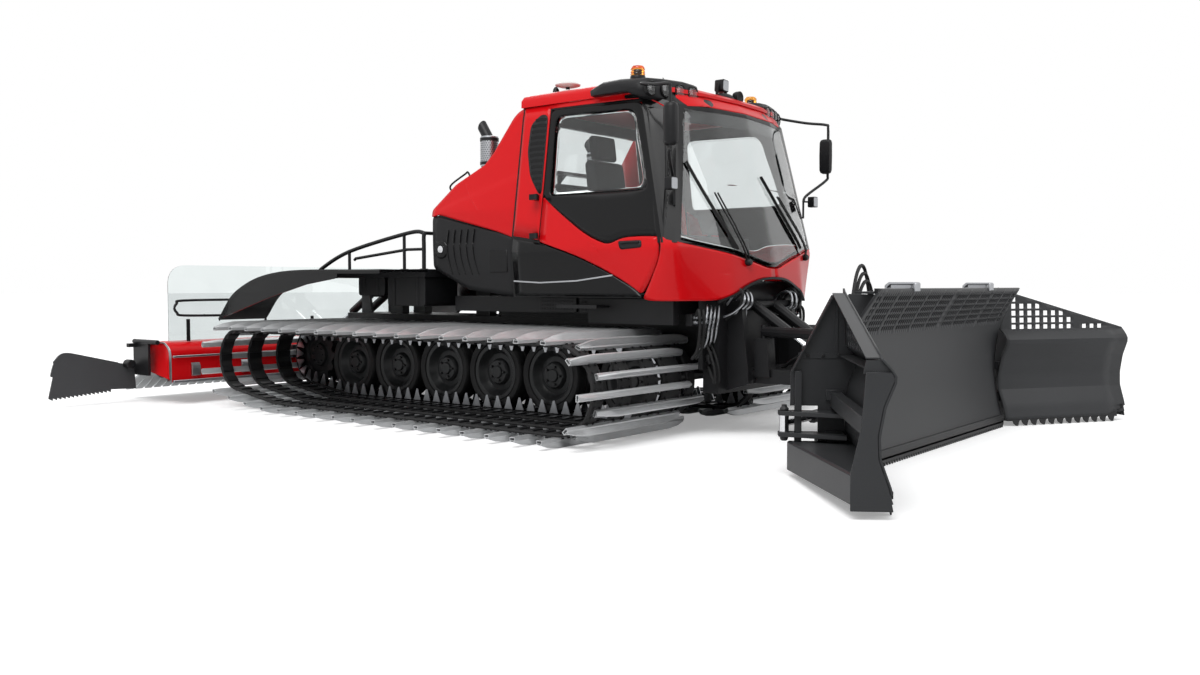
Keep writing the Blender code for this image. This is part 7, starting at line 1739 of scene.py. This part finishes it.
def make_engine_side():
    """Black engine covers: side skins, curved fins, round cap with a bright centre."""
    length = BAY_FRONT - BAY_REAR
    outline = np.stack([BAY_REAR + length * BAY_SECTION[:, 0], BAY_LOW + BAY_HEIGHT * BAY_SECTION[:, 1]], -1)
    outline[5:] = [(BAY_REAR + 0.02, BAY_LOW + BAY_HEIGHT * 0.985), (BAY_REAR, BAY_LOW + BAY_HEIGHT * 0.93)]
    outline = rounded(outline, [0.04, 0.12, 0.01, 0.01, 0.05, 0.03, 0.02], 6)

    def skin_side(x, z):
        bulge = 0.014 * np.sin(np.pi * np.clip((z - BAY_LOW) / BAY_HEIGHT, 0, 1))
        return np.stack([x, -(np.full(x.shape, BAY_HALF - 0.012) + bulge), z], -1)

    skin = panel(outline, skin_side, rings=8, count=96)
    fins = []
    for k in range(5):
        x0 = -1.98 + 0.085 * k
        line = [(x0, -BAY_HALF - 0.004, 1.36), (x0 - 0.055, -BAY_HALF - 0.012, 1.50),
                (x0 - 0.075, -BAY_HALF - 0.012, 1.64),
                (x0 - 0.06, -BAY_HALF - 0.004, 1.78)]
        fins.append(carried([(-0.016, -0.006), (0.010, -0.006), (0.010, 0.006), (-0.016, 0.006)],
            smooth_line(line, 5)))
    box_part = block((-1.50, -BAY_HALF - 0.018, 1.38), (-1.28, -BAY_HALF + 0.02, 1.58))
    cap = lathe([(0.0, 0.0), (0.085, 0.0), (0.088, 0.014), (0.078, 0.026), (0.044, 0.028), (0.040, 0.018),
        (0, 0.018)], "Y", (0, 0, 0), 36)
    cap = cap[0] * (1, -1, 1) + (-2.13, -BAY_HALF - 0.002, 1.60), [g[:, ::-1] for g in cap[1]]
    centre = lathe([(0.0, 0.018), (0.038, 0.018), (0.034, 0.030), (0.014, 0.034), (0.0, 0.034)], "Y",
        (0, 0, 0), 28)
    centre = centre[0] * (1, -1, 1) + (-2.13, -BAY_HALF - 0.002, 1.60), [g[:, ::-1] for g in centre[1]]
    put("engine_side_skins", both_sides(skin), BLACK_PLASTIC, "chassis", wall=0.012)
    put("engine_side_fins", both_sides(merged(fins + [box_part, cap])), BLACK_GLOSS, "chassis",
        bevel=0.003, sharp=35)
    put("engine_side_caps", both_sides(centre), CHROME, "chassis", sharp=35)


def make_mufflers():
    """Perforated mufflers in their clamps with slanted black outlets; the perforations are dark slots on the
    can that paint the shade seen through them.
    """
    cans, black = [], []
    for side in (-1, 1):
        at = (-1.83, side * 0.80, 0)
        cans.append(lathe([(0.0, 2.375), (0.070, 2.375), (0.083, 2.387), (0.085, 2.40), (0.085, 2.655),
            (0.083, 2.668), (0.060, 2.675), (0.0, 2.676)], "Z", at, 40))
        for z in (2.415, 2.64):
            black.append(lathe([(0.0845, z - 0.014), (0.0895, z - 0.014), (0.0895, z + 0.014),
                (0.0845, z + 0.014)], "Z", at, 40))
        stub = lathe([(0.0, 0.0), (0.050, 0.0), (0.050, 0.16), (0.046, 0.165), (0.042, 0.16), (0.042, 0.02),
            (0.0, 0.01)], "Z", (0, 0, 0), 28)
        verts = stub[0].copy()
        verts[:, 2] += np.clip(verts[:, 2] / 0.16, 0, 1) * verts[:, 0] * 0.5
        black.append(moved((verts, stub[1]),
            shift(-1.835, side * 0.80, 2.645) @ turn("Y", math.radians(-34))))
    # Dark patches on the can stand for its holes: painted shade where the inside of the shield would show
    # dark.
    slot = block((0.0850, -0.0045, -0.0045), (0.0862, 0.0045, 0.0045))
    matrices = []
    for side in (-1, 1):
        for row, z in enumerate(np.arange(2.440, 2.62, 0.020)):
            for k in range(22):
                matrices.append(shift(-1.83, side * 0.80, z) @ turn("Z",
                    math.tau * (k + 0.5 * (row % 2)) / 22))
    hole_shades = stamped(slot, np.array(matrices))
    shelf = block((-1.878, -0.80, 2.395), (-1.782, 0.80, 2.425))
    legs = [prism([(-1.875, 2.30), (-1.785, 2.385), (-1.785, 2.40), (-1.875, 2.40)], y - 0.02, y + 0.02, "XZ")
            for y in (-0.78, -0.26, 0.26, 0.78)]
    put("muffler_cans", merged(cans), STEEL, "chassis", ["mufflers"], sharp=35)
    put("muffler_clamps", merged(black + [shelf] + legs), BLACK_STEEL, "chassis", sharp=35)
    put("muffler_hole_shade", hole_shades, BLACK_PLASTIC, "chassis")


# cargo deck


def make_deck():
    """Chequered deck with raised rims, gloss fenders with rolled edges, side tanks, and the hoop rail."""
    top = np.array([(-4.94 + 2.64 * a, 0.91 + 0.50 * b) for a, b in ((0, 0), (.14, .62), (.42, .98), (1, 1))])
    line = smooth_line(top, 8)
    half = 0.29
    profile = [(-half, -0.022), (half - 0.012, -0.022), (half, -0.040), (half + 0.004, -0.040),
        (half + 0.004, -0.012), (half - 0.006, 0.0), (-half, 0.0)]
    profile = [(-a, b) for a, b in profile][::-1]
    path = np.stack([line[:, 0], np.full(len(line), -(1.19 + half) + 0.02), line[:, 1]], -1)
    fender = carried(profile, path)
    side_wall = np.concatenate([line[line[:, 0] < -2.9] - (0, 0.002), [(-2.92, 1.33), (-3.40, 1.27),
        (-4.05, 1.13), (-4.60, 0.985), (-4.93, 0.905)]])
    wall = prism(side_wall, -1.752, -1.738, "XZ")
    fender = merged([fender, wall])
    put("fenders", both_sides(fender), BLACK_GLOSS, "chassis", ["cargo_deck"], sharp=35)
    plate = block((-4.05, -1.19, 1.352), (-2.30, 1.19, 1.406))
    rims = [block((-4.05, -1.20, 1.34), (-2.30, -1.175, 1.418)),
            block((-4.05, 1.175, 1.34), (-2.30, 1.20, 1.418)),
            block((-4.055, -1.20, 1.34), (-4.03, 1.20, 1.418)),
            block((-2.325, -1.20, 1.34), (-2.30, 1.20, 1.418))]
    tanks = []
    for x0, x1, z0 in ((-2.855, -2.315, 1.062), (-3.30, -2.90, 1.16)):
        flat = rounded([(x0, z0), (x1, z0), (x1, 1.35), (x0, 1.35)], 0.035, 5)
        tanks.append(prism(flat, 0.76, 1.188, "XZ"))
        for x in (x0 + 0.10, x1 - 0.10):
            tanks.append(block((x - 0.015, 1.186, z0 + 0.01), (x + 0.015, 1.193, 1.345)))
    put("deck_plate", merged([plate] + rims + [block((-3.85, -1.08, 1.40), (-2.50, 1.08, 1.4195))]),
        BLACK_STEEL,
        "chassis", bevel=0.002)
    put("deck_tanks", merged(tanks + [flipped(t) for t in tanks]), BLACK_PLASTIC, "chassis",
        bevel=0.004, bevel_segments=2)
    stud = shape([(-0.014, 0, 0), (0, -0.005, 0), (0.014, 0, 0), (0, 0.005, 0), (0, 0, 0.0025)],
        [(0, 1, 4), (1, 2, 4), (2, 3, 4), (3, 0, 4)], [(0, 3, 2, 1)])
    matrices = []
    for i, x in enumerate(np.arange(-3.82, -2.52, 0.05)):
        for j, y in enumerate(np.arange(-1.05, 1.06, 0.05)):
            matrices.append(shift(x, y, 1.4194) @ turn("Z", math.radians(45 if (i + j) % 2 else -45)))
    put("deck_studs", stamped(stud, np.array(matrices)), BLACK_STEEL, "chassis")

    rail_top = np.array([(-3.95 + 1.55 * a, 1.41 + 0.36 * b) for a,
        b in ((0, .09), (.29, .55), (.84, .98), (1, 1))])
    rails = []
    for side in (-1, 1):
        y = side * 1.14
        points = [(x, y, z) for x, z in rail_top]
        rails.append(tube([(points[0][0], y, 1.412)] + points + [(-2.38, y, 1.70), (-2.38, y, 1.412)], 0.020,
            12, 6))
        rails.append(tube([(-3.42, y, 1.52), (-3.40, y, 1.535), (-2.62, y, 1.61), (-2.385, y, 1.61)], 0.015,
            10))
        for x, z in ((-3.50, 1.60), (-2.66, 1.755)):
            rails.append(rod((x, y, 1.412), (x, y, z), 0.016, 10))
    rails.append(rod((-2.40, -1.14, 1.765), (-2.40, 1.14, 1.765), 0.018, 12))
    feet = [lathe([(0, 1.412), (0.040, 1.412), (0.040, 1.422), (0.024, 1.424), (0, 1.424)], "Z",
        (x, side * 1.14, 0), 16) for x in (-3.95, -3.50, -2.66, -2.38) for side in (-1, 1)]
    put("hoop_rail", merged(rails + feet), BLACK_STEEL, "chassis", ["bed_rail"], sharp=50)


# cab interior


def pad(low, high, crown):
    """A cushion: a superellipse section whose top is crowned and pressed in along its seams."""
    low, high = np.asarray(low, float), np.asarray(high, float)
    size = (high - low) / 2
    centre = (high + low) / 2
    even = np.linspace(-1, 1, 29)
    uu, vv = np.meshgrid(even, even, indexing="ij")
    edge = (1 - np.abs(uu) ** 6) ** (1 / 6) * (1 - np.abs(vv) ** 6) ** (1 / 6)
    groove = np.exp(-((np.abs(uu) - 0.62) / 0.05) ** 2)
    groove = groove + np.exp(-((vv - 0.1) / 0.05) ** 2) * (np.abs(uu) < 0.62)
    top = centre[2] + size[2] * (edge * (0.86 + crown * (1 - uu ** 2) * (1 - vv ** 2)) - 0.10 * groove * edge)
    bottom = centre[2] - size[2] * edge * 0.98
    upper = np.stack([centre[0] + uu * size[0], centre[1] + vv * size[1], np.minimum(top, high[2])], -1)
    lower = np.stack([centre[0] + uu * size[0], centre[1] + vv * size[1], bottom], -1)
    one, two = grid(upper), grid(lower)
    return merged([one, (two[0], [two[1][0][:, ::-1]])])


def make_cabin():
    """Two seats with bolsters and head rests, the driver's console with screen, wheel and levers."""
    for name, y in (("driver", 0.44), ("passenger", -0.44)):
        cushion = pad((-0.62, y - 0.24, 1.545), (-0.14, y + 0.24, 1.675), 0.14)
        back = pad((-0.36, y - 0.235, -0.06), (0.36, y + 0.235, 0.07), 0.14)
        back = moved(back, shift(-0.68, 0, 2.03) @ turn("Y", math.radians(-98)))
        rest = moved(pad((-0.11, y - 0.15, -0.05), (0.11, y + 0.15, 0.05), 0.1),
            shift(-0.745, 0, 2.50) @ turn("Y", math.radians(-98)))
        seat = put("seat_pads_" + name, merged([cushion, back, rest]), SEAT_BLACK, "chassis",
            [name + "_seat"], sharp=180)
        wings = [pad((-0.33, y + s * 0.235 - 0.03, -0.075), (0.06, y + s * 0.235 + 0.03, 0.10), 0.05)
            for s in (-1, 1)]
        wings = moved(merged(wings), shift(-0.68, 0, 2.03) @ turn("Y", math.radians(-98)))
        sides = merged([pad((-0.60, y + s * 0.235 - 0.022, 1.55), (-0.16, y + s * 0.235 + 0.022, 1.685),
            0.05) for s in (-1, 1)] + [wings])
        put("seat_sides_" + name, sides, SEAT_RED, "chassis", sharp=60)
        stand = merged([block((-0.52, y - 0.14, 1.215), (-0.16, y + 0.14, 1.545)),
            block((-0.56, y - 0.17, 1.50), (-0.12, y + 0.17, 1.555)),
            block((-0.52, y - 0.30, 1.60), (-0.20, y - 0.265, 1.70))])
        put("seat_stand_" + name, stand, BLACK_PLASTIC, "chassis", bevel=0.008,
            bevel_segments=2)
    desk = prism([(0.02, 1.24), (0.02, 1.42), (0.06, 1.56), (0.20, 1.70), (0.20, 1.24)], -0.58, 0.58, "XZ")
    screen = moved(block((-0.008, -0.14, -0.09), (0.008, 0.14, 0.09)),
        shift(0.10, 0.02, 1.80) @ turn("Y", math.radians(-20)))
    stalk = rod((0.13, 0.02, 1.60), (0.11, 0.02, 1.74), 0.014, 10)
    column = rod((0.12, 0.44, 1.50), (-0.03, 0.44, 1.72), 0.022, 12)
    angle = np.linspace(0, math.tau, 33)[:-1]
    wheel = np.stack([-0.04 + 0.12 * np.cos(angle) * 0.80, 0.44 + 0.17 * np.sin(angle),
        1.735 + 0.12 * np.cos(angle) * 0.6], -1)
    spokes = [rod((-0.04, 0.44, 1.735), (-0.04 + 0.12 * math.cos(a) * 0.80, 0.44 + 0.17 * math.sin(a),
        1.735 + 0.12 * math.cos(a) * 0.6), 0.008, 8) for a in (0.6, 2.5, 4.7)]
    levers = [merged([rod((-0.34, y, 1.66), (-0.32, y, 1.78), 0.008, 8), lathe([(0, 1.77), (0.016, 1.775),
        (0.020, 1.80), (0.014, 1.83), (0, 1.835)], "Z", (-0.32, y, 0), 14)]) for y in (0.10, 0.15)]
    box_part = block((-0.46, 0.06, 1.40), (-0.20, 0.19, 1.66))
    put("console_body", merged([desk, box_part]), BLACK_PLASTIC, "chassis", ["console"],
        bevel=0.012,
        bevel_segments=2)
    put("console_fittings", merged([screen, stalk, column,
        carried(ring_profile(0.013, 8), wheel, closed=True)] + spokes + levers), BLACK_GLOSS, "chassis",
        sharp=45)


# CAD nodes that stay


def dress_nodes():
    """Give every carried CAD node the finish of its material slot; the cab shell gets black gloss instead."""
    by_slot = {"red_paint": RED, "black_plastic": BLACK_PLASTIC, "black_steel": BLACK_STEEL,
        "grey_steel": BLADE_GREY, "bright_steel": STEEL, "chrome": CHROME, "rubber": RUBBER,
        "tinted_glass": WINDOW, "clear_sheet": CLEAR, "amber": AMBER, "seat_cloth": SEAT_BLACK}
    slots = {row["node"]: row["material_slot"] for row in frame["record"]["subparts"]}
    for name, node in frame["nodes"].items():
        node.data.materials.clear()
        node.data.materials.append(BLACK_GLOSS if name == "cab_shell" else by_slot[slots[name]])


studio()
dress_nodes()
make_tracks()
make_wheels()
make_sprockets()
make_doors()
make_cab_skins()
make_front()
make_roof()
make_mirrors()
make_wipers()
make_board()
make_wings()
make_hoses()
make_under_nose()
make_hood()
make_flap()
make_rotors()
make_finishers()
make_cowl()
make_engine_side()
make_mufflers()
make_deck()
make_cabin()
